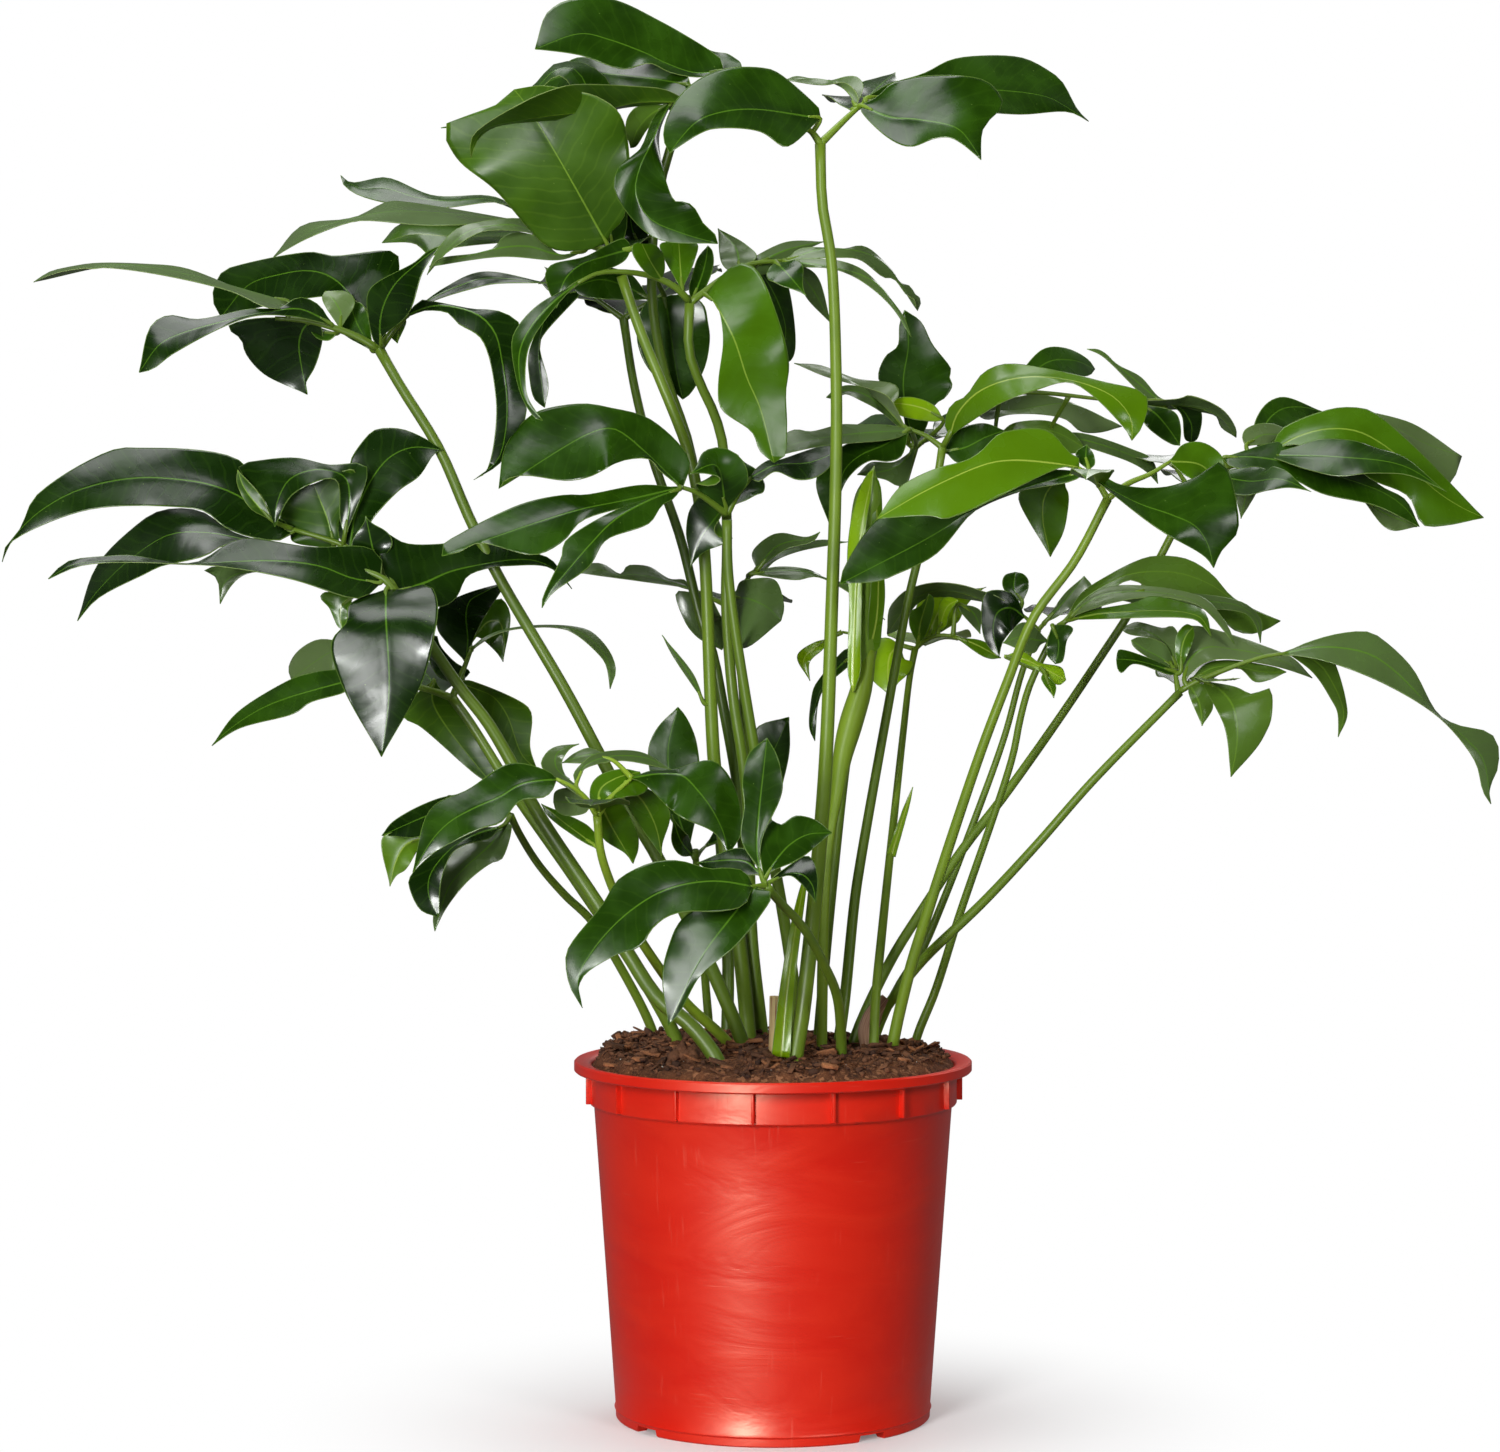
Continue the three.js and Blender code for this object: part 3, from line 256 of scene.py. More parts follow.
def finish_piece(piece, name, nodes=()):
    """Gives a finished piece its name and its body, and hides the CAD nodes that it stands for."""
    deselect_all()
    piece.name = name
    piece.data.name = name
    if nodes:
        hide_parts(*nodes)
    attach(piece, "root")
    return piece


def pick(*pieces):
    """Selects these pieces alone, the first as the active one."""
    deselect_all()
    for piece in pieces:
        piece.select_set(True)
    bpy.context.view_layer.objects.active = pieces[0]


def edit_all():
    bpy.ops.object.mode_set(mode="EDIT")
    bpy.ops.mesh.select_all(action="SELECT")


def spun(name, profile, steps):
    """A profile of radii and heights in mm, turned round the upright axis into a closed body."""
    mesh = bpy.data.meshes.new(name)
    line = [(r * MM, 0, z * MM) for r, z in profile]
    mesh.from_pydata(line, [(i, i + 1) for i in range(len(line) - 1)], [])
    turned = bpy.data.objects.new(name, mesh)
    scene.collection.objects.link(turned)
    pick(turned)
    edit_all()
    bpy.ops.mesh.spin(steps=steps, angle=math.tau, center=(0, 0, 0), axis=(0, 0, 1))
    bpy.ops.mesh.select_all(action="SELECT")
    bpy.ops.mesh.remove_doubles(threshold=0.00001)
    bpy.ops.mesh.normals_make_consistent(inside=False)
    bpy.ops.object.mode_set(mode="OBJECT")
    return turned


def apply_place(piece):
    """Puts a piece's place into its mesh, so that its object sits at the origin."""
    piece.data.transform(piece.matrix_basis)
    piece.matrix_basis = Matrix.Identity(4)


def ring_of(piece, count, first):
    """Copies of a piece, set round the upright axis and joined into one."""
    copies = []
    for i in range(count):
        copy = piece.copy()
        copy.data = piece.data.copy()
        scene.collection.objects.link(copy)
        copy.data.transform(Matrix.Rotation(math.radians(first + 360 / count * i), 4, "Z"))
        copies.append(copy)
    bpy.data.objects.remove(piece)
    pick(*copies)
    bpy.ops.object.join()
    return bpy.context.object


def cut_or_add(body, tool, way):
    """Cuts a tool piece out of a body ("DIFFERENCE") or joins it on ("UNION")."""
    pick(body)
    change = body.modifiers.new(way.lower(), "BOOLEAN")
    change.operation = way
    change.object = tool
    change.solver = "EXACT"
    bpy.ops.object.modifier_apply(modifier=change.name)
    bpy.data.objects.remove(tool)


pot = spun("pot_shell", POT_PROFILE, POT_STEPS)

# A rib is a thin plate from the band's foot to the lip, with a softened outer edge
band_middle = (BAND_BOTTOM + POT_HEIGHT - LIP_DEPTH) / 2
deselect_all()
bpy.ops.mesh.primitive_cube_add(size=1, location=(0, -(BAND_RADIUS + RIB_REACH / 2 - 0.4) * MM,
    (band_middle + 0.6) * MM))
rib = bpy.context.object
rib.scale = (RIB_WIDTH * MM, (RIB_REACH + 0.8) * MM, (POT_HEIGHT - LIP_DEPTH - BAND_BOTTOM + 0.4) * MM)
apply_place(rib)
edit_all()
bpy.ops.mesh.bevel(offset=0.35 * MM, segments=2, affect="EDGES")
bpy.ops.object.mode_set(mode="OBJECT")
cut_or_add(pot, ring_of(rib, RIB_COUNT, FIRST_RIB), "UNION")

# A notch is a shallow arch with sloping ends through the foot
deselect_all()
bpy.ops.mesh.primitive_cube_add(size=1, location=(0, -(FOOT_RADIUS - 2) * MM, 0))
notch = bpy.context.object
notch.scale = (NOTCH_WIDTH * MM, NOTCH_DEPTH * MM, NOTCH_HEIGHT * 2 * MM)
apply_place(notch)
for corner in notch.data.vertices:
    if corner.co.z > 0:
        corner.co.x *= NOTCH_TAPER
cut_or_add(pot, ring_of(notch, NOTCH_COUNT, FIRST_NOTCH), "DIFFERENCE")

deselect_all()
bpy.ops.mesh.primitive_cylinder_add(vertices=24, radius=DRAIN_RADIUS * MM, depth=10 * MM,
    location=(0, -DRAIN_RING * MM, 5 * MM))
drain = bpy.context.object
apply_place(drain)
cut_or_add(pot, ring_of(drain, DRAIN_COUNT, 0), "DIFFERENCE")
pick(pot)
bpy.ops.object.shade_smooth_by_angle(angle=math.radians(SHARP_ANGLE))


def pot_finish():
    material, tree, shader = new_finish("red_moulded_plastic")
    where = object_place(tree)
    clouds = drawn_out(tree, where, (9, 9, 26), 4.0, Roughness=0.55, Distortion=1.2)
    scratches = drawn_out(tree, where, (420, 420, 9))
    scuffs = drawn_out(tree, where, (30, 30, 700))
    patches = mottle(tree, where, 22.0)
    scratched = sums(tree, "MULTIPLY", ramp(tree, scratches, 0.6, 0.74), ramp(tree, patches, 0.52, 0.66))
    scuffed = sums(tree, "MULTIPLY", ramp(tree, scuffs, 0.64, 0.76), ramp(tree, patches, 0.36, 0.5, 1, 0))
    worn = sums(tree, "MAXIMUM", scratched, scuffed)
    paint = colours(tree, ramp(tree, clouds, 0.3, 0.7), srgb(226, 18, 0), srgb(234, 32, 4))
    paint = colours(tree, sums(tree, "MULTIPLY", worn, 0.16), paint, srgb(246, 110, 86))
    rough = sums(tree, "ADD", ramp(tree, clouds, 0.25, 0.75, 0.34, 0.42), sums(tree, "MULTIPLY", worn, 0.14))
    height = sums(tree, "ADD", clouds, sums(tree, "MULTIPLY", worn, -0.04))
    fill(tree, shader, Base_Color=paint, Roughness=rough, Specular_IOR_Level=0.9,
        Specular_Tint=(1, 0.68, 0.5, 1), Normal=relief(tree, height, 0.5, 0.0016))
    return material


pot.data.materials.clear()
pot.data.materials.append(pot_finish())
finish_piece(pot, "grower_pot", ["pot"])

# The potting mix: dark coir and composted bark that fills the pot and is heaped a finger's width over the
# lip. Loose crumbs, bark chips, fibres and a few white grains lie on it.
HEAP_RADIUS = 109.1
SOIL_HEIGHTS = (  # (radius, height)
    (0, 225), (40, 224.5), (70, 223), (101, 219.5), (106, 216.5), (HEAP_RADIUS, 213),
)
SOIL_STEPS = 200
HEAP_RINGS = 62
SOIL_GAP = 0.3
FADE_RADIUS = 108
FADE_WIDTH = 5
MOUND = (-84, 40, 24, 7)  # x, y, spread and height of the rise at the back on the left
LUMPS = ((1 / 17, 3.6), (1 / 5.5, 1.5), (1 / 2.4, 0.6))  # (cycles per mm, height in mm)
CRUMB_COUNT = 1500
CHIP_COUNT = 330
FIBRE_COUNT = 420
WHITE_COUNT = 60
LITTER_REACH = 103
CLOD_SPOT = (685, 1060)  # column and row of the clod that lies at the front on the left
CLOD_COUNT = 46
CLOD_HEIGHT = 6.5
draw = random.Random(24)


def soil_height(x, y):
    """The height of the heap's top at a place, both in mm; its lumps fade out at the wall."""
    radius = math.hypot(x, y)
    height = float(np.interp(radius, [r for r, _ in SOIL_HEIGHTS], [z for _, z in SOIL_HEIGHTS]))
    fade = min(1.0, max(0.0, (FADE_RADIUS - radius) / FADE_WIDTH))
    height += fade * MOUND[3] * math.exp(-((x - MOUND[0]) ** 2 + (y - MOUND[1]) ** 2) / MOUND[2] ** 2)
    for cycles, lift in LUMPS:
        height += fade * lift * noise.noise(Vector((x * cycles, y * cycles, lift)))
    return height


soil_profile = [(HEAP_RADIUS * i / HEAP_RINGS, 225) for i in range(HEAP_RINGS + 1)]
soil_profile += [(BODY_TOP_RADIUS - WALL - SOIL_GAP, BAND_BOTTOM - 2), (103.4, 150), (97.7, 69),
    (BODY_FOOT_RADIUS - WALL - SOIL_GAP, 26.3), (91.7, FLOOR_RISE + WALL + SOIL_GAP),
    (37.9, FLOOR_RISE + WALL + SOIL_GAP), (34.8, WALL + SOIL_GAP), (0, WALL + SOIL_GAP)]
soil = spun("potting_mix", soil_profile, SOIL_STEPS)
for point in soil.data.vertices:
    if point.co.z > 0.2:
        point.co.z = soil_height(point.co.x / MM, point.co.y / MM) * MM
pick(soil)
bpy.ops.object.shade_smooth()


def soil_finish():
    material, tree, shader = new_finish("coir_and_bark_mix")
    where = object_place(tree)
    coarse = mottle(tree, where, 120.0, 6.0, Roughness=0.7)
    fine = mottle(tree, where, 900.0, 4.0, Roughness=0.7)
    grains = add_node(tree, "ShaderNodeTexVoronoi", None, Vector=where, Scale=420.0)
    paint = colours(tree, ramp(tree, coarse, 0.3, 0.7), srgb(46, 26, 15), srgb(112, 68, 40))
    paint = colours(tree, ramp(tree, fine, 0.45, 0.75), paint, srgb(150, 98, 62))
    hue = add_node(tree, "ShaderNodeSeparateColor", None, Color=grains.outputs["Color"]).outputs[0]
    paint = colours(tree, ramp(tree, hue, 0.82, 0.9, 0, 0.6), paint, srgb(176, 122, 84))
    height = sums(tree, "ADD", coarse, sums(tree, "MULTIPLY", fine, 0.5))
    fill(tree, shader, Base_Color=paint, Roughness=0.95, Specular_IOR_Level=0.25,
        Normal=relief(tree, height, 1.0, 0.0016))
    return material


soil.data.materials.append(soil_finish())
finish_piece(soil, "soil_heap", ["soil"])


class Gathering:
    """Bent and placed copies of blanks, gathered into the mesh of one piece. Notes are values that each point
    carries for the material, such as its tone."""

    def __init__(self):
        self.points = []
        self.faces = []
        self.marks = []
        self.notes = {}
        self.count = 0

    def add(self, blank, points, mark=None, **notes):
        _, faces, marks = blank
        self.points.append(points)
        self.faces.extend(tuple(i + self.count for i in face) for face in faces)
        self.marks.extend(marks if mark is None else [mark] * len(faces))
        for name, values in notes.items():
            values = np.asarray(values, float)
            values = np.broadcast_to(values, (len(points), values.shape[-1]))
            self.notes.setdefault(name, []).append(values)
        self.count += len(points)

    def piece(self, name, finishes):
        mesh = bpy.data.meshes.new(name)
        mesh.from_pydata(np.concatenate(self.points).tolist(), [], self.faces)
        for finish in finishes:
            mesh.materials.append(finish)
        mesh.polygons.foreach_set("material_index", self.marks)
        mesh.polygons.foreach_set("use_smooth", [True] * len(self.faces))
        for key, values in self.notes.items():
            values = np.concatenate(values)
            kind = "FLOAT_COLOR" if values.shape[1] == 4 else "FLOAT_VECTOR"
            attribute = mesh.attributes.new(key, kind, "POINT")
            attribute.data.foreach_set("color" if kind == "FLOAT_COLOR" else "vector", values.ravel())
        made = bpy.data.objects.new(name, mesh)
        scene.collection.objects.link(made)
        return made


def blank_of(piece):
    """A modelled piece as a blank for copies: its points, its faces and each face's material."""
    points = np.array([point.co for point in piece.data.vertices])
    faces = [tuple(face.vertices) for face in piece.data.polygons]
    marks = [face.material_index for face in piece.data.polygons]
    bpy.data.objects.remove(piece)
    return points, faces, marks


def roughened(piece, reach, seed):
    """Moves each point of a blank a little, the same way each time."""
    shake = random.Random(seed)
    for point in piece.data.vertices:
        point.co += Vector([shake.uniform(-reach, reach) for _ in range(3)])
    return piece


def crumb_blank(seed):
    deselect_all()
    bpy.ops.mesh.primitive_ico_sphere_add(subdivisions=1, radius=1)
    return blank_of(roughened(bpy.context.object, 0.3, seed))


def chip_blank(seed):
    """A splinter of bark: a flat block with broken ends and worn edges."""
    deselect_all()
    bpy.ops.mesh.primitive_cube_add(size=2)
    chip = bpy.context.object
    edit_all()
    bpy.ops.transform.resize(value=(1, 0.45, 0.16))
    bpy.ops.mesh.bevel(offset=0.1, segments=1, affect="EDGES")
    bpy.ops.object.mode_set(mode="OBJECT")
    return blank_of(roughened(chip, 0.09, seed))


def rod_blank(sides, lengths):
    """A round rod, 1 long and 1 in radius, standing on its end and cut into equal lengths."""
    deselect_all()
    bpy.ops.mesh.primitive_cylinder_add(vertices=sides, radius=1, depth=1, end_fill_type="TRIFAN",
        location=(0, 0, 0.5))
    rod = bpy.context.object
    apply_place(rod)
    bpy.context.tool_settings.mesh_select_mode = (False, True, False)
    bpy.ops.object.mode_set(mode="EDIT")
    bpy.ops.mesh.select_all(action="DESELECT")
    bpy.ops.object.mode_set(mode="OBJECT")
    for edge in rod.data.edges:
        first, second = (rod.data.vertices[i].co.z for i in edge.vertices)
        edge.select = abs(first - second) > 0.5
    bpy.ops.object.mode_set(mode="EDIT")
    bpy.ops.mesh.subdivide(number_cuts=lengths - 1)
    bpy.ops.object.mode_set(mode="OBJECT")
    bpy.context.tool_settings.mesh_select_mode = (True, False, False)
    return blank_of(rod)


def even_line(points, count):
    """A smooth line through the points, as count places at equal distances."""
    points = np.array(points, float)
    ends = 2 * points[0] - points[1], 2 * points[-1] - points[-2]
    knots = np.vstack([ends[0], points, ends[1]])
    fine = []
    for i in range(len(points) - 1):
        before, start, end, after = knots[i:i + 4]
        gaps = [max(np.linalg.norm(step), 1e-7) ** 0.5 for step in (start - before, end - start, after - end)]
        along = (end - start) / gaps[1]
        leaving = (start - before) / gaps[0] - (end - before) / (gaps[0] + gaps[1]) + along
        arriving = along - (after - start) / (gaps[1] + gaps[2]) + (after - end) / gaps[2]
        for t in np.linspace(0, 1, 16, endpoint=False):
            fine.append((2 * t**3 - 3 * t**2 + 1) * start + (t**3 - 2 * t**2 + t) * leaving * gaps[1]
                + (3 * t**2 - 2 * t**3) * end + (t**3 - t**2) * arriving * gaps[1])
    fine = np.array(fine + [points[-1]])
    way = np.concatenate([[0], np.cumsum(np.linalg.norm(np.diff(fine, axis=0), axis=1))])
    even = np.linspace(0, way[-1], count)
    return np.stack([np.interp(even, way, fine[:, axis]) for axis in range(points.shape[1])], axis=1)


def headings(line):
    ways = np.gradient(line, axis=0)
    return ways / np.linalg.norm(ways, axis=1)[:, None]


def bent_rod(blank, line, radii):
    """Where a rod's points go when it is bent along a line with a radius at each place, and the same points
    on the straight rod."""
    points = blank[0]
    ways = headings(line)
    across = np.zeros_like(line)
    aside = np.array((0, -1.0, 0)) if abs(ways[0][1]) < 0.8 else np.array((0, 0, 1.0))
    for i, way in enumerate(ways):
        aside = aside - way * aside.dot(way)
        aside = aside / np.linalg.norm(aside)
        across[i] = aside
    over = np.cross(ways, across)
    at = np.clip(np.rint(points[:, 2] * (len(line) - 1)).astype(int), 0, len(line) - 1)
    radius = np.asarray(radii)[at][:, None]
    spread = across[at] * points[:, :1] + over[at] * points[:, 1:2]
    length = np.linalg.norm(np.diff(line, axis=0), axis=1).sum()
    straight = np.concatenate([points[:, :2] * radius, points[:, 2:] * length], axis=1)
    return line[at] + spread * radius, straight


crumbs = [crumb_blank(seed) for seed in range(4)]
chips = [chip_blank(seed) for seed in range(4)]
fibre = rod_blank(4, 6)


def turn(yaw, pitch, roll):
    turns = Matrix.Rotation(yaw, 3, "Z") @ Matrix.Rotation(pitch, 3, "Y") @ Matrix.Rotation(roll, 3, "X")
    return np.array(turns)


def somewhere(reach):
    radius = reach * math.sqrt(draw.random())
    angle = draw.uniform(0, math.tau)
    return radius * math.cos(angle), radius * math.sin(angle)


def on_soil(column, row):
    """The place in mm where the viewer's line through a picture point meets the heap."""
    for depth in range(-FADE_RADIUS, FADE_RADIUS):
        x, y, z = place((column, row, depth)) / MM
        if math.hypot(x, y) < FADE_RADIUS and z <= soil_height(x, y):
            return x, y
    return x, y


litter = Gathering()


def drop(blank, spot, size, angles, tint, sink=0.3):
    """Lays a copy of a blank on the heap, sunk in by a share of its height."""
    x, y = spot
    points = blank[0] * np.array(size) @ turn(*angles).T
    points = points + (x, y, soil_height(x, y) + size[2] * (1 - sink))
    litter.add(blank, points * MM, tint=tint)


for _ in range(CRUMB_COUNT):
    size = draw.uniform(0.7, 2.3) * (1.6 if draw.random() < 0.06 else 1)
    dark = draw.uniform(0, 1)
    crumb = draw.choice(crumbs)
    spot = somewhere(LITTER_REACH + 3)
    drop(crumb, spot, (size, size * draw.uniform(0.6, 1), size * draw.uniform(0.5, 0.9)),
        (draw.uniform(0, 6.3), draw.uniform(-0.5, 0.5), draw.uniform(-0.5, 0.5)), (dark, 0, draw.random(), 1))
for _ in range(CHIP_COUNT):
    size = draw.uniform(2.2, 6.0)
    drop(draw.choice(chips), somewhere(LITTER_REACH), (size, size * draw.uniform(0.6, 1.2), size * 0.8),
        (draw.uniform(0, 6.3), draw.uniform(-0.5, 0.5), draw.uniform(-0.6, 0.6)),
        (draw.uniform(0.3, 1), draw.choice((0, 0, 0.3, 0.7)), draw.random(), 1), 0.5)
for _ in range(WHITE_COUNT):
    size = draw.uniform(0.35, 0.8)
    drop(draw.choice(crumbs), somewhere(LITTER_REACH), (size, size, size), (draw.uniform(0, 6), 0, 0),
        (1, 1.6, 1, 1), 0)
for _ in range(FIBRE_COUNT):
    x, y = somewhere(LITTER_REACH)
    length = draw.uniform(4, 13)
    angle = draw.uniform(0, math.tau)
    bow = draw.uniform(-0.5, 0.5)
    rise = draw.uniform(0.3, 2.2)
    spots = []
    for share in (0, 0.35, 0.7, 1):
        px = x + length * share * math.cos(angle + bow * share)
        py = y + length * share * math.sin(angle + bow * share)
        if math.hypot(px, py) > FADE_RADIUS - 1:
            break
        spots.append((px, py, soil_height(px, py) + 0.2 + rise * math.sin(math.pi * share)))
    if len(spots) > 2:
        places, _ = bent_rod(fibre, even_line(spots, 7), [draw.uniform(0.14, 0.3)] * 7)
        litter.add(fibre, places * MM, tint=(draw.uniform(0.3, 1), draw.uniform(0, 0.5), draw.random(), 1))

# The chips and stones that the photograph shows one by one: (column, row, length, width, height, yaw, tint)
KNOWN_CHIPS = (
    (830, 1073, 4.6, 3.2, 2.2, 0.3, (1, 0.95, 0.6, 1)), (612, 1070, 5.6, 1.9, 1.5, 0.5, (1, 0.7, 0.3, 1)),
    (650, 1058, 6.4, 2.4, 1.5, -0.3, (0.8, 0.5, 0.4, 1)), (628, 1069, 2.8, 1.9, 1.6, 0, (0.9, 0.2, 0.5, 1)),
    (905, 1064, 4.2, 2.2, 1.4, 0.8, (0.9, 0.7, 0.2, 1)), (728, 1072, 4.4, 2.0, 1.4, 0.2, (0.7, 0.5, 0.2, 1)),
)
for column, row, length, width, thick, yaw, tint in KNOWN_CHIPS:
    drop(chips[1], on_soil(column, row), (length, width * 2.2, thick * 4), (yaw, 0.15, 0.2), tint, 0.7)
clod_x, clod_y = on_soil(*CLOD_SPOT)
for _ in range(CLOD_COUNT):
    out_x, out_y = draw.gauss(0, 4.6), draw.gauss(0, 4.2)
    size = draw.uniform(2.4, 4.4)
    points = draw.choice(crumbs)[0] * size @ turn(draw.uniform(0, 6), draw.uniform(0, 3), 0).T
    height = CLOD_HEIGHT * math.exp(-(out_x**2 + out_y**2) / 50)
    x, y = clod_x + out_x, clod_y + out_y
    points = points + (x, y, soil_height(x, y) + height * draw.uniform(0.2, 1))
    litter.add(crumbs[0], points * MM, tint=(draw.uniform(0.5, 0.9), 0.1, draw.random(), 1))


def noted(tree, name):
    """A note that the points carry, as a socket."""
    return add_node(tree, "ShaderNodeAttribute", {"attribute_name": name}).outputs["Vector"]


def noted_colour(tree, name):
    tint = add_node(tree, "ShaderNodeAttribute", {"attribute_name": name}).outputs["Color"]
    return add_node(tree, "ShaderNodeSeparateColor", None, Color=tint).outputs


def litter_finish():
    material, tree, shader = new_finish("bark_chips_and_fibres")
    parts = noted_colour(tree, "tint")
    fine = mottle(tree, object_place(tree), 700.0, 4.0, Roughness=0.7)
    paint = colours(tree, parts[0], srgb(54, 31, 20), srgb(140, 92, 60))
    paint = colours(tree, ramp(tree, parts[1], 0, 1), paint, srgb(190, 124, 78))
    paint = colours(tree, ramp(tree, parts[1], 1.2, 1.5), paint, srgb(225, 215, 200))
    paint = colours(tree, ramp(tree, fine, 0.3, 0.75, 0.55, 0), paint, srgb(40, 22, 14))
    fill(tree, shader, Base_Color=paint, Roughness=0.9, Specular_IOR_Level=0.3,
        Normal=relief(tree, fine, 0.8, 0.0008))
    return material


loose = litter.piece("bark_and_fibre", [litter_finish()])
finish_piece(loose, "bark_and_fibre")

# The fronds: each is one round leaf stalk that rises from the crown under the soil and forks into two short
# arms, which carry long leaflets with a pale midrib. Firm, waxy leaf tissue, dark above and lighter below.
STALK_LENGTHS = 44
ARM_LENGTHS = 12
ROOT_DEPTH = 24
LEAF_ROWS = 30
LEAF_COLUMNS = (0, 0.035, 0.08, 0.16, 0.32, 0.5, 0.68, 0.84, 0.94, 1)
LEAF_WIDTHS = (0.08, 0.6, 0.98, 0.98, 0.68, 0.24, 0)  # at equal steps from foot to tip, of the full width
FOOT_HALF, TIP_HALF = 0.9, 0.25  # half widths in mm that no leaf goes below
FOLD = 0.16
WAVES = 1.7
WAVE_HEIGHT = 0.1
RIPPLES = 4.3
RIPPLE_HEIGHT = 0.035
BLADE = 0.6  # thickness
MIDRIB = 1.1
MIDRIB_REACH = 1.5
GROOVE = 0.35
GROOVE_REACH = 0.8
NEARNESS = 0.6  # how far a point of an edge follows the nearest point of the midrib
NEAR_ROWS = 6
UP = (0, 0, 1)
FRONT = (0, -1, 0)
FRONT_UP = (0, -1, 1)
FRONT_LOW = (0, -1, 0.3)


def leaf_blank():
    """A flat leaf from x -1 to 1 and from y 0 to 1: its upper side at z 1, its underside at z 0."""
    half = len(LEAF_COLUMNS) - 1
    deselect_all()
    bpy.ops.mesh.primitive_grid_add(x_subdivisions=2 * half, y_subdivisions=LEAF_ROWS, size=2)
    leaf = bpy.context.object
    for point in leaf.data.vertices:
        column = round(abs(point.co.x) * half)
        point.co.x = math.copysign(LEAF_COLUMNS[column], point.co.x)
        point.co.y = (point.co.y + 1) / 2
    edit_all()
    bpy.ops.mesh.extrude_region_move(TRANSFORM_OT_translate={"value": (0, 0, 1)})
    bpy.ops.mesh.select_all(action="SELECT")
    bpy.ops.mesh.normals_make_consistent(inside=False)
    bpy.ops.object.mode_set(mode="OBJECT")
    for face in leaf.data.polygons:
        face.material_index = 0 if face.normal.z > 0.5 else 1 if face.normal.z < -0.5 else 2
    return blank_of(leaf)


def widths_along(shares, knots):
    """A smooth run of values through evenly spaced knots."""
    knots = np.array([knots[0], *knots, knots[-1]], float)
    at = np.clip(shares, 0, 1) * (len(knots) - 3)
    i = np.minimum(at.astype(int), len(knots) - 4)
    t = at - i
    before, start, end, after = knots[i], knots[i + 1], knots[i + 2], knots[i + 3]
    return 0.5 * (2 * start + (end - before) * t + (2 * before - 5 * start + 4 * end - after) * t**2
        + (3 * start - before - 3 * end + after) * t**3)


def placed(points):
    """The places in mm that a run of picture points shows."""
    return [place(point) / MM for point in points]


def seen(places):
    """Where places, in mm, lie in the photo: column and row."""
    reach = (EYE_DISTANCE + places[:, 1]) / FOCAL_LENGTH
    rows = EYE_ROW - (places[:, 2] - EYE_HEIGHT) / reach
    return np.stack([AXIS_COLUMN + places[:, 0] / reach, rows], axis=1)


def beside(edge, midrib):
    """An edge's places in the photo, one beside each place of the midrib."""
    fine = even_line([midrib[0], *edge, midrib[-1]], 4 * len(midrib))
    near = np.argmin(np.linalg.norm(fine[:, None] - midrib[None], axis=2), axis=1) / (len(midrib) - 1)
    window = 2 * NEAR_ROWS + 1
    near = np.convolve(np.pad(near, NEAR_ROWS, mode="edge"), np.ones(window) / window, mode="valid")
    even = np.linspace(0, 1, len(fine))
    share = np.maximum.accumulate(NEARNESS * near + (1 - NEARNESS) * even)
    share = (share - share[0]) / (share[-1] - share[0])
    rows = np.linspace(0, 1, len(midrib))
    return np.stack([np.interp(rows, share, fine[:, axis]) for axis in (0, 1)], axis=1)


def leaf_sides(line, face):
    """Unit directions all along a rib: out of the upper side, and across the leaf."""
    way = headings(line)
    shares = np.linspace(0, 1, len(line))[:, None]
    foot, tip = np.array(face if np.ndim(face) == 2 else (face, face), float)
    upper = foot / np.linalg.norm(foot) * (1 - shares) + tip / np.linalg.norm(tip) * shares
    upper = upper - way * (upper * way).sum(1)[:, None]
    upper = upper / np.linalg.norm(upper, axis=1)[:, None]
    return upper, np.cross(way, upper)


def edge_spread(line, side, edges, least):
    """The way from the midrib to each edge in the photo, left and right, and no shorter than the least."""
    midrib = seen(line)
    spread = [beside(edge, midrib) - midrib for edge in edges]
    slope = seen(line + side) - seen(line - side)
    if (spread[0] * slope).sum() > (spread[1] * slope).sum():
        spread = spread[::-1]
    sideways = np.gradient(midrib, axis=0)[:, ::-1] * (1, -1)
    sideways = sideways / np.linalg.norm(sideways, axis=1)[:, None]
    sideways = sideways * np.sign((sideways * slope).sum())
    spread = np.stack([spread[0], spread[1]], axis=1)
    length = np.linalg.norm(spread, axis=2)
    narrow = (length < least)[:, :, None]
    return np.where(narrow, sideways[:, None] * least[:, :, None] * [[-1], [1]], spread), length


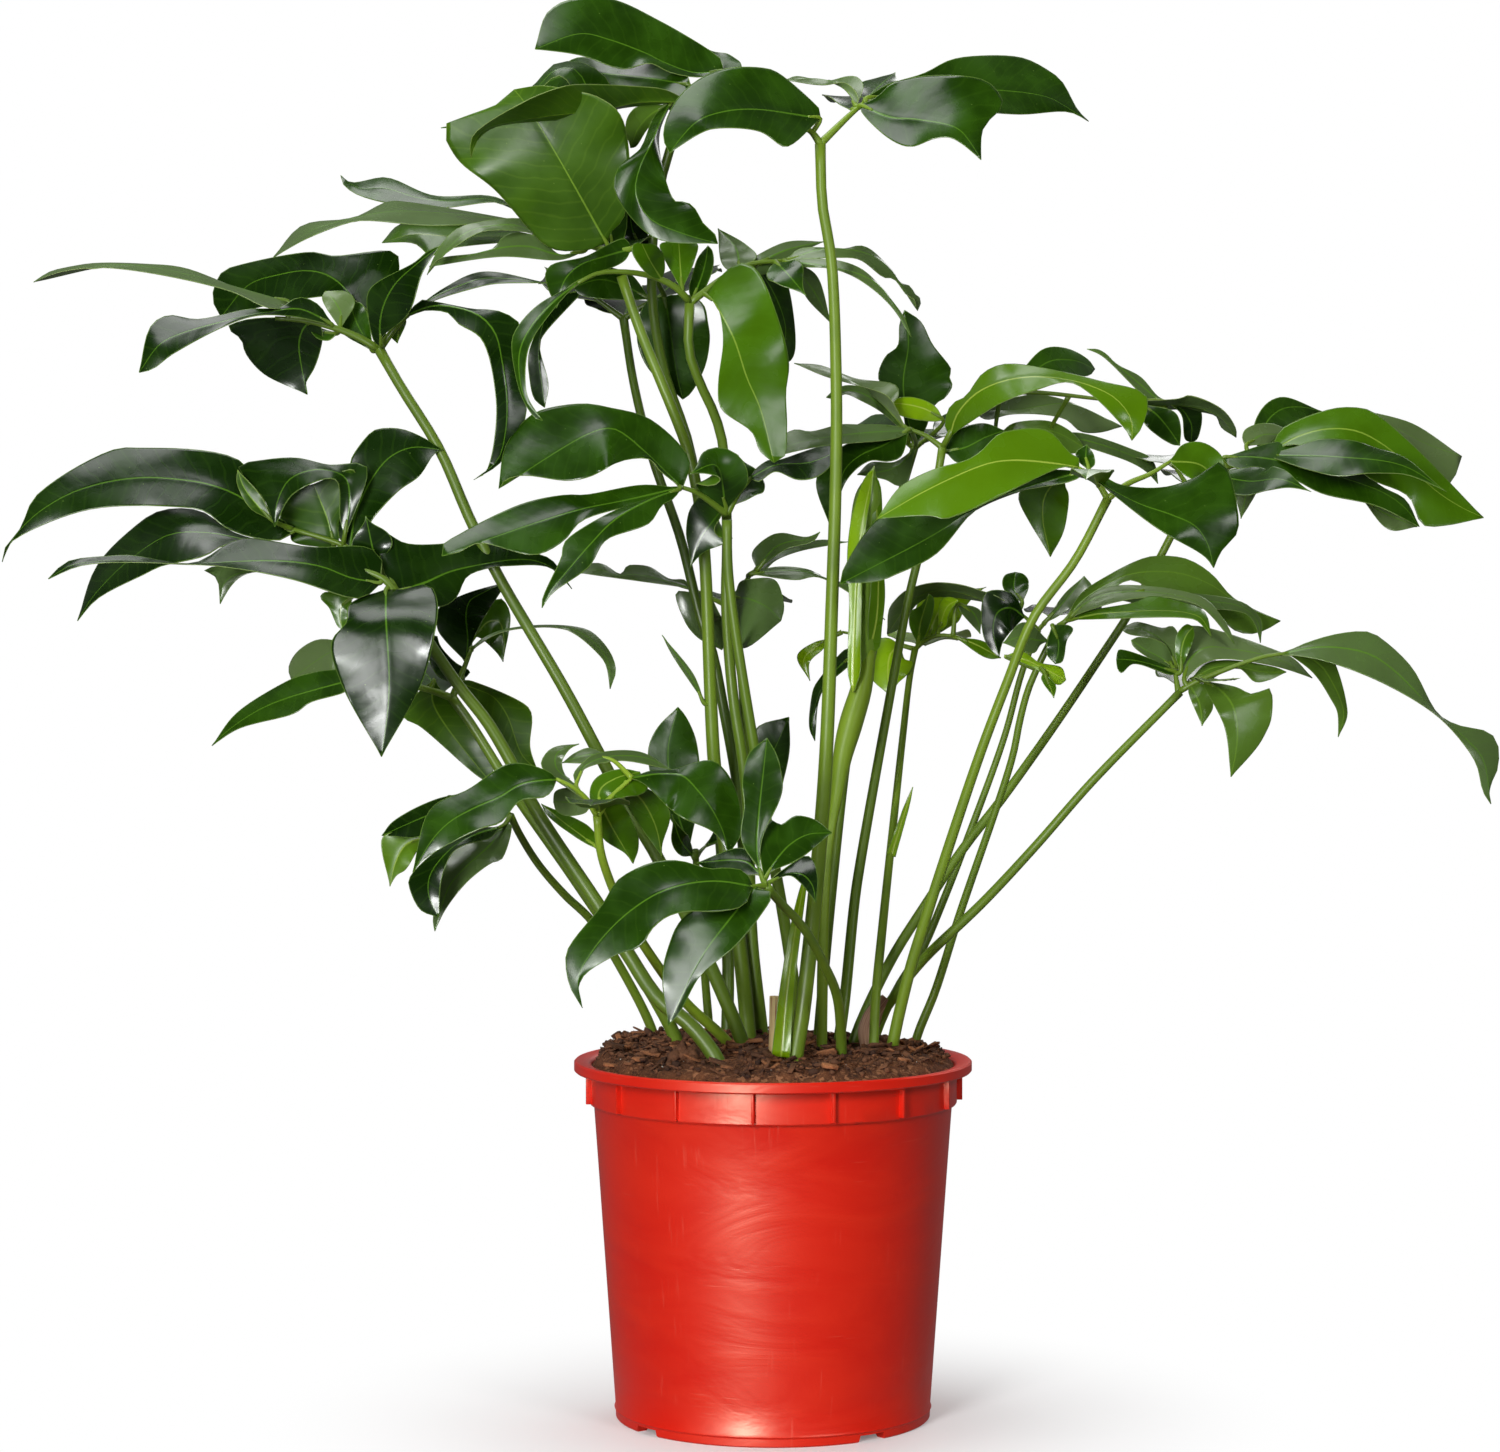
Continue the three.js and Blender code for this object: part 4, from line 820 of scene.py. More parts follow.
def bent_leaf(blank, rib, wide, face, edges=None, widths=LEAF_WIDTHS):
    """Where a flat leaf's points go when it grows along its rib, in mm: (places, lie, share)."""
    line = even_line(rib, LEAF_ROWS + 1)
    upper, side = leaf_sides(line, face)
    shares = np.linspace(0, 1, LEAF_ROWS + 1)[:, None]
    across = np.array([-column for column in LEAF_COLUMNS[:0:-1]] + list(LEAF_COLUMNS))[None]
    right = (across > 0).astype(int)
    out = np.abs(across)
    ends = np.where(shares > 0.99, TIP_HALF, FOOT_HALF - 0.5 * shares)
    half = np.repeat(np.maximum(wide * widths_along(shares, widths) / 2, ends), 2, axis=1)
    if edges:
        reach = (EYE_DISTANCE + line[:, 1]) / FOCAL_LENGTH
        spread, length = edge_spread(line, side, edges, ends / reach[:, None])
        plain = np.maximum(np.hypot(side[:, 0], side[:, 2]), 0.3)
        half = np.clip(length * reach[:, None] / plain[:, None], 0.4 * half, 0.7 * wide)
        half = np.maximum(half, ends)
    half = np.take_along_axis(half, np.repeat(right, len(half), axis=0), axis=1)
    phase = rib_phase(rib) % 1
    curl = 0.4 * right

    def lift_at(out):
        waves = WAVE_HEIGHT * out**2 * np.sin(math.tau * (WAVES * shares + phase + curl))
        ripples = np.sin(math.tau * (RIPPLES * shares + 3 * phase + 1.7 * curl))
        waves = waves + RIPPLE_HEIGHT * out**3 * ripples
        return half * (FOLD * (1 - 2 * shares) * out**1.5 + waves)

    lift = lift_at(out)
    if edges:
        flat = seen(line)[:, None] + np.take_along_axis(
            spread, np.repeat(right, len(spread), axis=0)[:, :, None], axis=1) * out[:, :, None]
        depth = line[:, 1, None] + across * half * side[:, 1, None] + lift * upper[:, 1, None]
        reach = (EYE_DISTANCE + depth) / FOCAL_LENGTH
        bulge = lift - out * lift_at(1)
        sheet = np.stack([
            (flat[:, :, 0] - AXIS_COLUMN) * reach + bulge * upper[:, 0, None], depth,
            EYE_HEIGHT + (EYE_ROW - flat[:, :, 1]) * reach + bulge * upper[:, 2, None]], axis=2)
    else:
        sideways = side[:, None] * (across * half)[:, :, None]
        sheet = line[:, None] + sideways + upper[:, None] * lift[:, :, None]
    normal = np.cross(np.gradient(sheet, axis=1), np.gradient(sheet, axis=0))
    normal = normal / np.maximum(np.linalg.norm(normal, axis=2), 1e-9)[:, :, None]
    x, s, layer = blank[0].T
    row = np.rint(s * LEAF_ROWS).astype(int)
    column = np.argmin(np.abs(x[:, None] - across), axis=1)
    half, out = half[row, column], np.abs(x)
    body = BLADE * (1 - 0.35 * out) * np.minimum(1, 0.3 + 4 * (1 - s))
    ridge = MIDRIB * (1 - s) ** 0.8 * np.exp(-((out * half / MIDRIB_REACH) ** 2))
    groove = GROOVE * (1 - s) * np.exp(-((out * half / GROOVE_REACH) ** 2))
    thick = np.where(layer > 0.5, body / 2 - groove + 0.35 * ridge, -body / 2 - 0.65 * ridge)
    places = sheet[row, column] + normal[row, column] * thick[:, None]
    length = np.linalg.norm(np.diff(line, axis=0), axis=1).sum()
    lie = np.stack([x * half, layer, s * length], axis=1) * MM
    return places, lie, np.stack([x, s, half * MM], axis=1)


def rib_phase(rib):
    """Where a leaf's waves begin: by its foot, so that no two leaves share them."""
    return float(np.abs(rib[0][0] * 0.37 + rib[0][2] * 0.61) / 7)


def nearest_on(lines, point):
    """The place on any of the lines that is nearest to a point."""
    best = None
    for line in lines:
        for start, end in zip(line, line[1:]):
            share = np.clip(np.dot(point - start, end - start) / np.dot(end - start, end - start), 0, 1)
            near = start + share * (end - start)
            if best is None or np.linalg.norm(near - point) < np.linalg.norm(best - point):
                best = near
    return best


# (lightness, greyness, yellowness), from 0 to 1. Lightness is the leaf's own green and also painted light:
# is the colour of young leaves and also paints the glow of light through them.
# lit leaves. Greyness is a painted sheen, the reflection of the white surround on glossy leaves. Yellowness
# the dark tones paint the shade on leaves deep in the plant, and the bright ones the glow of light through
TONES = {
    "dark": (0.1, 0.0, 0.0), "plain": (0.35, 0.0, 0.0), "fresh": (0.7, 0.0, 0.1), "bright": (0.85, 0.0, 0.25),
    "young": (1.0, 0.0, 0.95), "grey": (0.4, 0.6, 0.0), "pale": (0.55, 0.95, 0.0), "olive": (0.6, 0.3, 0.15),
}
# Each frond's usual tone. On the dark fronds it paints shade as well as the leaves' deep green, and on the
# grey ones it paints sheen.
FROND_TONES = {
    "high_behind": "dark", "left_middle": "dark", "left_high": "dark", "middle_back": "grey",
    "right_bright": "fresh", "right_young": "young", "low_bright": "plain", "right_low": "grey",
    "right_arching": "grey", "right_small": "dark",
}
# Each stalk's (lightness, greyness, yellowness). It is the stalk's own green, and the low lightness of the
# stalks at the back paints the shade on them.
STEM_TONES = {
    "tall_front": (0.75, 0, 0.1), "right_bright": (0.7, 0, 0.2), "high_left": (0.7, 0, 0.05),
    "left_middle": (0.45, 0, 0), "left_high": (0.4, 0, 0), "low_bright": (0.9, 0, 0.5),
    "right_young": (0.6, 0, 0.2), "middle_front": (0.5, 0, 0), "high_behind": (0.2, 0, 0),
    "tall_back": (0.3, 0, 0), "high_middle": (0.55, 0, 0),
}

# Each frond by its name: the stalk's radius in mm at its foot and at the fork, the picture points of the
# stalk and of the arms, and the leaflets. A leaflet is its midrib from foot to tip, its full width in mm and
# where its upper side faces, then its own tone, which also paints its light, shade and sheen, and the two
# edges that the photo shows, where it has them.
FRONDS = {
"tall_front": {
    "girth": (5, 3),
    "stalk": [(794, 1066, -62), (803, 1010, -61), (824, 790, -52), (832, 600, -44), (836, 460, -40),
          (836, 380, -38), (831, 260, -36), (822, 205, -35), (820, 146, -35)],
    "arms": [
        [(820, 146, -35), (812, 135, -38), (804, 130, -44)],
        [(820, 146, -35), (850, 117, -25), (864, 105, -18)],
    ],
    "leaves": [
        ([(820, 121, -38), (752, 112, -64), (721, 115, -74), (699, 123, -80), (684, 137, -82),
          (670, 155, -84)], 65, FRONT_UP, ([(820, 113), (815, 107), (777, 75), (765, 71), (727, 71),
          (699, 82), (677, 102), (665, 127), (664, 143)], [(793, 146), (784, 149), (760, 134), (715, 131),
          (702, 135)])),
        ([(860, 108, -24), (890, 120, -36), (915, 122, -44), (956, 131, -55), (970, 146, -58),
          (980, 162, -60)], 65, (0.1, -1, 0.6), ([(877, 99), (890, 87), (909, 81), (940, 78), (977, 81),
          (990, 87), (1002, 104), (999, 113), (985, 126), (981, 135)], [(860, 113), (890, 142), (910, 149),
          (934, 141), (948, 140), (959, 145)])),
        ([(866, 101, -18), (920, 94, 6), (970, 92, 24), (1045, 100, 40), (1068, 112, 46), (1087, 124, 50)],
          64, (0, -0.9, 1), ([(885, 88), (923, 76), (949, 63), (977, 59), (1021, 61), (1046, 73),
          (1060, 84), (1076, 112)], [(1015, 117), (1068, 115)])),
        ([(856, 109, -20), (842, 90, 8), (820, 82, 25), (785, 83, 38)], 26, UP, "grey", ([(863, 88),
          (857, 80), (848, 79), (825, 84), (795, 79)], [(858, 100), (846, 86), (822, 88)])),
        ([(866, 102, -16), (880, 88, 20), (895, 75, 50)], 34, (0, -0.5, 1)),
        ([(852, 112, -20), (872, 98, 50), (900, 104, 125)], 55, UP),
        ([(781, 1058, -67), (786, 1000, -67), (794, 940, -65), (803, 890, -62), (810, 862, -59)],
          11, FRONT, "sheath"),
    ],
},
"tall_back": {
    "girth": (4, 2.8),
    "stalk": [(727, 1040, 84), (728, 960, 96), (722, 860, 110), (711, 700, 116), (704, 560, 112),
          (690, 450, 94), (664, 370, 76), (652, 290, 62), (660, 190, 50), (684, 110, 42)],
    "arms": [
        [(684, 110, 42), (668, 98, 35), (645, 92, 30)],
        [(684, 110, 42), (702, 94, 45), (718, 86, 48)],
    ],
    "leaves": [
        ([(724, 74, 50), (695, 76, 47), (665, 66, 45), (645, 56, 43), (610, 43, 38), (582, 37, 34),
          (536, 52, 24)], 72, (0, -1, 0.7), ([(724, 66), (715, 57), (660, 24), (610, 2), (567, 4),
          (555, 10), (546, 19)], [(701, 80), (670, 75), (650, 66), (625, 72), (580, 58)])),
        ([(714, 88, 52), (722, 68, 62), (708, 52, 76)], 24, FRONT_UP),
        ([(690, 104, 36), (640, 104, 10), (610, 110, -8), (580, 114, -24), (520, 122, -40), (485, 131, -41),
          (474, 146, -41), (472, 160, -40)], 44, (0, 0.2, 1), ([(665, 92), (640, 89), (575, 87), (560, 90),
          (525, 104), (475, 136), (471, 147)], [(620, 111), (590, 119), (500, 128), (487, 134),
          (479, 142)])),
        ([(690, 88, 36), (655, 82, 44), (620, 78, 58), (585, 76, 74), (555, 82, 86), (535, 94, 96)],
          48, (0, -0.8, 1), ([(685, 72), (650, 66), (620, 70), (580, 60), (550, 79)], [(685, 98),
          (610, 92)])),
        ([(672, 104, 32), (662, 122, 0), (652, 145, -46), (640, 170, -50), (636, 195, -54), (650, 220, -56),
          (680, 234, -57), (718, 245, -58)], 43, (0, -1, 0.2), ([(655, 118), (640, 152), (621, 167),
          (615, 178), (614, 190), (620, 204), (645, 233), (665, 243)], [(660, 135), (661, 160), (676, 203),
          (686, 203), (696, 211), (703, 224), (717, 238)])),
        ([(700, 96, 50), (706, 102, 105), (700, 122, 165)], 62, UP),
        ([(668, 107, 30), (650, 118, 20), (638, 132, 12), (631, 150, 6)],
          40, (0, -1, 0.2), "olive", ([(640, 108), (632, 113), (627, 122), (626, 132)], [(664, 116),
          (649, 130), (636, 149)])),
    ],
},
"high_left": {
    "girth": (5, 3),
    "stalk": [(749, 1048, 28), (741, 960, 30), (721, 820, 27), (714, 760, 25), (705, 560, 17),
          (701, 513, 15), (695, 480, 13), (688, 450, 12), (638, 325, 12), (622, 277, 12)],
    "arms": [
        [(614, 254, 12), (595, 248, 28), (545, 234, 52)],
        [(614, 254, 12), (632, 250, 15), (640, 246, 20)],
    ],
    "leaves": [
        ([(607, 244, 12), (552, 147, -16), (525, 104, -16), (515, 92, -12)], 118, (0.2, 1, 0.3),
          ([(590, 251), (575, 252), (560, 252), (545, 246), (495, 191), (461, 164), (447, 142), (442, 130),
          (500, 106)], [(610, 235), (624, 220), (630, 160), (621, 117), (600, 100), (570, 92), (540, 88)])),
        ([(612, 250, 20), (608, 180, 34), (595, 110, 44), (575, 72, 48), (555, 74, 48), (532, 97, 47),
          (502, 112, 47), (470, 124, 46), (442, 130, 46)], 34, (0, -0.5, 1), ([(625, 240), (622, 150),
          (610, 85), (585, 66), (560, 65), (552, 69), (530, 92), (520, 95), (490, 115), (475, 122)],
          [(600, 240), (590, 160), (575, 95), (560, 78), (530, 102), (485, 127)])),
        ([(632, 250, 16), (605, 258, 2), (580, 267, -6), (565, 282, -11), (557, 309, -14)],
          36, FRONT_UP, ([(625, 240), (585, 258), (552, 266), (546, 274), (548, 288)], [(625, 262),
          (575, 284), (566, 292)])),
        ([(545, 234, 54), (515, 210, 60), (487, 201, 64), (450, 203, 70), (420, 200, 76), (385, 190, 84),
          (360, 190, 88), (342, 177, 90)], 36, (0, -0.5, 1), ([(530, 215), (513, 209), (503, 201),
          (487, 197), (434, 197), (395, 181), (384, 179), (355, 184), (347, 182)], [(520, 212), (503, 204),
          (429, 210), (358, 196), (343, 184)])),
        ([(548, 236, 48), (515, 224, 44), (430, 214, 32), (395, 213, 28), (345, 222, 22), (310, 234, 18),
          (274, 259, 15)], 31, (0, -0.2, 1), "grey", ([(535, 226), (513, 221), (403, 203), (389, 203),
          (355, 219), (303, 227)], [(505, 226), (429, 227), (363, 222), (347, 225), (308, 240)])),
        ([(552, 240, 44), (500, 238, 46), (450, 238, 50), (415, 236, 54), (383, 244, 58)],
          24, (0, -0.3, 1), "fresh", ([(500, 230), (408, 224), (397, 228)], [(450, 250), (432, 257),
          (416, 245)])),
        ([(570, 243, 36), (541, 236, 28), (515, 227, 18), (490, 228, 10), (470, 233, 4), (456, 243, 2),
          (428, 276, -2)], 31, (0, -0.6, 1), "grey", ([(529, 221), (476, 224), (460, 229), (450, 236),
          (434, 260)], [(542, 239), (529, 234), (489, 232), (476, 236), (445, 256), (434, 265)])),
        ([(585, 252, 30), (560, 256, 24), (530, 248, 20), (503, 249, 18), (430, 268, 14)],
          19, FRONT_LOW, "grey", ([(567, 258), (558, 255), (539, 238), (513, 234), (503, 239), (492, 251),
          (439, 260)], [(563, 261), (503, 258)])),
        ([(622, 252, 16), (606, 240, 75), (590, 246, 135)], 53, UP),
        ([(705, 704, 20), (690, 675, 16), (662, 635, 13)], 6, FRONT, "grey", ([(694, 675)], [(672, 655)])),
    ],
},
"high_middle": {
    "girth": (4, 2.8),
    "stalk": [(763, 1044, 42), (752, 940, 39), (747, 800, 36), (742, 755, 35), (733.5, 700, 34),
          (728, 640, 33), (726, 600, 30), (727, 540, 26), (723, 446, 15), (715, 416, 8), (699, 381, 0),
          (689, 350, -5), (690, 304, -8)],
    "arms": [
        [(690, 304, -8), (678, 290, -14), (660, 280, -18), (635, 274, -24), (600, 274, -34),
          (578, 284, -42)],
        [(690, 304, -8), (728, 276, 0), (752, 265, 6), (785, 262, 12)],
    ],
    "leaves": [
        ([(706, 296, -8), (712, 301, -14), (734, 340, -39), (747, 379, -48), (760, 409, -52),
          (774, 463, -55)], 58, (0.3, -1, 0.1), "fresh", ([(715, 298), (722, 326), (723, 345), (718, 387),
          (721, 409), (752, 433), (760, 452)], [(726, 272), (742, 264), (756, 270), (780, 325), (789, 365),
          (786, 393), (787, 429), (784, 458)])),
        ([(752, 265, 8), (770, 288, 24), (785, 328, 36), (780, 366, 42)], 31, (0.5, -0.6, 0.3),
          ([(762, 262), (784, 278), (790, 295), (795, 351), (790, 362)], [(755, 300)])),
        ([(740, 270, 4), (736, 250, 24), (718, 230, 45)], 34, FRONT_UP, "grey", ([(757, 258), (746, 246)],
          [(732, 273), (722, 265)])),
        ([(760, 264, 9), (785, 252, 26), (824, 243, 46)], 29, (0, -0.6, 1), "grey", ([(738, 270),
          (784, 244)], [(751, 275), (762, 276), (776, 270), (784, 262)])),
        ([(785, 262, 13), (830, 250, 17), (880, 262, 22), (917, 312, 24)],
          31, (0.1, -0.7, 1), "grey", ([(800, 250), (845, 250), (859, 247), (869, 250), (894, 275),
          (898, 283), (911, 288), (913, 294), (919, 298), (920, 307)], [(838, 259), (859, 261), (884, 279),
          (893, 280), (907, 297), (913, 299)])),
        ([(785, 263, 10), (825, 268, -6), (875, 284, -14), (911, 338, -18)],
          29, (0, -1, 0.8), "grey", ([(800, 260), (838, 262), (857, 268), (870, 277), (895, 306),
          (904, 319)], [(800, 268), (832, 270), (859, 281), (890, 307)])),
        ([(776, 264, 8), (788, 276, -10), (806, 297, -18)], 22, (0, -1, 0.5)),
        ([(785, 262, 16), (812, 290, 36), (831, 325, 46)], 24, (0, -1, 0.4), "grey", ([(815, 275)],
          [(801, 275), (804, 295)])),
        ([(662, 281, -18), (650, 262, -30), (642, 245, -34)], 29, FRONT_UP, "fresh", ([(650, 277),
          (638, 264), (632, 251), (635, 244)], [(665, 270), (663, 255), (655, 246)])),
        ([(682, 292, -13), (679, 244, -4)], 29, FRONT_UP, "fresh", ([(660, 246), (668, 243)], [(694, 264),
          (698, 246), (690, 243)])),
        ([(578, 284, -42), (552, 305, -56), (533, 326, -66), (521, 350, -74), (520, 375, -78),
          (526, 400, -80), (543, 421, -82)], 26, (-0.5, -1, 0.2), ([(537, 307), (516, 331), (512, 344),
          (522, 397), (537, 420)], [(557, 307), (530, 347), (526, 384), (529, 399)])),
        ([(692, 302, -4), (701, 280, 2), (706, 262, 6), (708, 247, 10)],
          30, (0, -1, 0.2), "plain", ([(689, 290), (693, 274), (698, 259)], [(702, 294), (711, 277),
          (714, 262), (712, 251)])),
    ],
},
"high_behind": {
    "girth": (4, 2.6),
    "stalk": [(758, 1042, 58), (748, 950, 60), (744, 860, 60), (738, 790, 58), (722, 700, 58),
          (713, 655, 58), (701, 620, 58), (681, 540, 64), (652, 456, 76), (634, 384, 90), (624, 320, 102)],
    "arms": [
        [(624, 320, 102), (585, 291, 100)],
        [(624, 320, 102), (645, 306, 100), (665, 297, 96)],
    ],
    "leaves": [
        ([(664, 297, 95), (668, 315, 92), (677, 375, 91), (683, 400, 92)],
          50, (0, -1, 0.2), "plain", ([(650, 300), (641, 312), (637, 331), (638, 345), (644, 362),
          (654, 376)], [(690, 296), (704, 306), (708, 322), (710, 340), (705, 368), (690, 395)])),
        ([(585, 291, 100), (555, 300, 112), (540, 345, 120), (545, 408, 124)], 31, (-0.3, -1, 0.3),
          ([(542, 339), (540, 347), (549, 386)], [(560, 300), (530, 350), (530, 380), (535, 400)])),
        ([(624, 318, 104), (632, 302, 150), (640, 306, 205)], 58, UP),
        ([(600, 303, 104), (572, 284, 150), (545, 268, 190)], 48, (0, -0.2, 1)),
        ([(650, 304, 100), (690, 274, 140), (720, 266, 180)], 48, UP),
        ([(640, 248, 60), (633, 232, 60), (630, 212, 60)], 50, (0, -1, 0.1), "dark", ([(626, 244),
          (620, 228), (622, 213)], [(650, 246), (637, 214)])),
        ([(650, 300, 92), (622, 286, 90), (600, 281, 88), (574, 288, 86)],
          50, (0, -1, 0.5), "plain", ([(632, 276), (612, 269), (592, 268), (578, 277)], [(630, 301),
          (580, 296)])),
    ],
},
"left_high": {
    "girth": (4.5, 3),
    "stalk": [(746, 1055, -8), (658, 859, -20), (628, 809, -24), (566, 692, -30), (500, 579, -28),
          (470, 519, -25), (440, 450, -20), (400, 385, -14), (380, 350, -10)],
    "arms": [
        [(380, 350, -10), (357, 337, -12), (330, 327, -15), (303, 321, -18), (276, 319, -20)],
        [(380, 350, -10), (395, 330, -12), (410, 314, -16)],
    ],
    "leaves": [
        ([(290, 303, -18), (190, 276, -32), (120, 266, -42), (35, 283, -52)],
          38, (0, -0.15, 1), "grey", ([(259, 297), (186, 269), (148, 265), (98, 264), (75, 267), (50, 273)],
          [(280, 310), (264, 307), (231, 292), (111, 269), (61, 273)])),
        ([(333, 326, -16), (320, 318, -20), (300, 310, -28), (270, 313, -42), (235, 320, -55),
          (178, 336, -73), (160, 346, -80), (140, 373, -84)], 36, (0, -0.8, 1), ([(320, 306), (303, 298),
          (292, 301), (283, 308), (248, 310), (198, 320), (170, 316), (156, 322), (149, 332)], [(290, 317),
          (250, 318), (175, 354), (153, 370)])),
        ([(384, 344, -4), (358, 305, 10), (335, 280, 25), (310, 272, 40), (280, 276, 50), (250, 286, 58),
          (222, 318, 60)], 55, (0, -1, 0.8), ([(400, 275), (397, 254), (334, 257), (313, 253), (230, 269),
          (224, 272), (214, 292), (217, 312)], [(368, 310), (345, 298), (290, 302)])),
        ([(316, 318, -12), (304, 330, -2), (300, 345, 6), (302, 365, 12), (308, 395, 16)],
          53, (-0.1, -1, 0.1), ([(256, 319), (240, 322), (228, 328), (242, 340), (246, 353), (264, 374)],
          [(323, 330), (323, 343), (316, 367), (306, 386)])),
        ([(382, 346, -16), (381, 325, -26), (386, 303, -34), (398, 283, -42), (418, 265, -50),
          (441, 247, -54)], 41, (-0.6, -1, 0.2), ([(376, 344), (372, 334), (369, 318), (370, 291),
          (416, 263), (429, 252)], [(382, 339), (409, 315), (424, 273)])),
        ([(408, 316, -14), (432, 300, -8), (458, 288, -2), (484, 280, 2), (548, 284, -14)],
          22, (0, -0.5, 1), ([(445, 289), (482, 273)], [(434, 302), (476, 289), (495, 285)])),
        ([(408, 316, -16), (434, 307, -20), (460, 309, -25), (482, 318, -30), (496, 335, -34),
          (502, 360, -39), (507, 395, -43), (506, 430, -46), (498, 460, -47), (474, 480, -48)],
          48, (0.3, -1, 0.3), ([(421, 301), (434, 302), (474, 310), (495, 311), (508, 315), (521, 326),
          (517, 370), (527, 413), (505, 458), (495, 468)], [(421, 312), (449, 314), (458, 324), (482, 340),
          (496, 397), (495, 436), (488, 468), (482, 477)])),
        ([(341, 330, -12), (342, 316, -9), (336, 303, -6), (326, 292, 0)],
          40, (0.2, -1, 0.4), "pale", ([(356, 302), (348, 293)], [(323, 299)])),
        ([(374, 352, -8), (357, 322, 0), (352, 306, 4)], 60, (-0.2, -1, 0.3), "plain", ([(367, 311),
          (360, 303)], [(342, 332), (342, 320), (347, 309)])),
        ([(338, 334, -10), (322, 333, -6), (305, 323, 0)], 20, (0, -1, 0.5), "plain", ([], [(330, 341),
          (318, 339)])),
        ([(404, 318, -10), (400, 330, -6), (398, 344, -2)], 20, (0, -1, 0.2), "fresh", ([(394, 328),
          (391, 336)], [(407, 322)])),
    ],
},
"left_middle": {
    "girth": (5, 3.2),
    "stalk": [(719, 1066, -68), (690, 1026, -62), (658, 1000, -58), (628, 955, -54), (602, 912, -50),
          (533, 806, -42), (510, 761, -42), (487, 722, -44), (458, 685, -48), (402, 602, -60)],
    "arms": [
        [(402, 602, -60), (385, 580, -64), (350, 566, -62)],
        [(402, 602, -60), (380, 566, -46), (345, 546, -38), (292, 529, -34)],
    ],
    "leaves": [
        ([(293, 532, -34), (270, 520, -32), (240, 497, -30), (210, 485, -29), (180, 480, -28),
          (145, 478, -29), (110, 482, -30), (75, 492, -32), (50, 505, -34), (30, 520, -36), (12, 540, -38),
          (2, 562, -40)], 66, (0, -1, 0.8), ([(290, 524), (273, 515), (241, 461), (135, 448), (117, 449),
          (79, 466), (44, 489), (32, 501), (20, 529), (4, 549)], [(282, 540), (250, 537), (223, 526),
          (206, 512), (176, 507), (88, 510), (17, 538), (8, 546)])),
        ([(345, 535, -42), (350, 500, -44), (345, 478, -46), (318, 470, -48), (290, 480, -50),
          (277, 505, -50), (275, 527, -49)], 43, (0, -1, 0.9), "dark", ([(352, 520), (367, 466), (329, 465),
          (297, 458), (265, 460), (239, 466), (241, 473), (263, 497)], [(340, 520), (336, 480),
          (294, 494)])),
        ([(350, 549, -40), (356, 515, -36), (372, 480, -32), (390, 458, -30), (412, 448, -28),
          (443, 450, -24)], 41, (-0.4, -1, 0.3), ([(340, 540), (338, 525), (355, 475), (350, 464),
          (368, 436), (376, 430), (400, 429), (424, 438)], [(366, 543), (369, 526), (398, 492), (420, 476),
          (435, 454)])),
        ([(376, 564, -46), (366, 516, -54)], 24, (0, -1, 0.4)),
        ([(380, 583, -66), (350, 578, -74), (325, 568, -79), (300, 563, -83), (265, 561, -87),
          (194, 564, -94), (125, 561, -99), (95, 562, -102), (70, 566, -104), (48, 579, -106)],
          48, (0, -0.9, 1), ([(384, 567), (379, 555), (367, 547), (311, 547), (244, 538), (229, 543),
          (194, 563), (129, 555), (109, 556), (66, 562)], [(378, 588), (361, 598), (350, 598), (294, 580),
          (232, 568), (200, 565), (85, 565)])),
        ([(350, 565, -60), (250, 541, -54), (205, 533, -52), (170, 535, -50), (135, 556, -48),
          (110, 578, -46), (92, 598, -44), (77, 621, -42)], 38, (0, -0.6, 1), ([(330, 555), (235, 533),
          (200, 511), (160, 511), (132, 529), (96, 567)], [(330, 565), (255, 545), (225, 545), (205, 556),
          (159, 567), (147, 573), (97, 599)])),
        ([(350, 567, -62), (290, 573, -62), (245, 572, -60), (225, 582, -59), (220, 604, -58)],
          19, (0, -1, 0.5), "grey", ([(225, 566), (204, 569), (206, 573), (216, 577)], [(300, 578),
          (256, 572), (241, 577), (232, 585)])),
        ([(386, 590, -66), (386, 620, -96), (389, 680, -105), (387, 715, -105), (381, 757, -104)],
          68, (0, -1, 0.15), ([(360, 598), (348, 606), (346, 622), (331, 642), (341, 684)], [(410, 589),
          (427, 584), (433, 588), (438, 605), (435, 632), (422, 682)])),
        ([(398, 592, -58), (425, 583, -50), (447, 573, -42), (470, 567, -36), (530, 560, -28),
          (555, 570, -26), (572, 589, -24)], 38, (0, -1, 0.4), ([(385, 575), (380, 531), (405, 543),
          (440, 544), (470, 540), (500, 543), (535, 553), (552, 560)], [(437, 607), (447, 605), (457, 597),
          (467, 577), (490, 568), (510, 566), (550, 568)])),
        ([(352, 597, -62), (342, 605, -60), (340, 618, -60), (343, 630, -60)],
          32, FRONT_LOW, "fresh", ([(325, 592), (320, 597), (329, 608), (338, 627)], [(348, 623)])),
        ([(334, 546, -34), (330, 525, -34), (314, 484, -38)], 90, (0.1, 1, 0.4), "dark", ([(322, 547),
          (292, 541), (290, 532), (280, 524), (290, 495), (300, 488)], [(338, 546), (340, 520), (356, 485),
          (354, 470)])),
        ([(272, 520, -44), (258, 505, -44), (245, 488, -44), (238, 470, -44)],
          24, (0.2, 1, 0.3), "dark", ([(250, 508), (237, 482)], [(262, 497)])),
    ],
},
"left_low": {
    "girth": (4.5, 2.8),
    "stalk": [(677, 1045, 18), (655, 1000, 10), (575, 880, -8), (512, 790, -14), (468, 720, -14),
          (452, 698, -14)],
    "arms": [
        [(452, 698, -14), (430, 690, -10), (400, 684, -5), (352, 680, 0)],
        [(452, 698, -14), (471, 650, -4)],
    ],
    "leaves": [
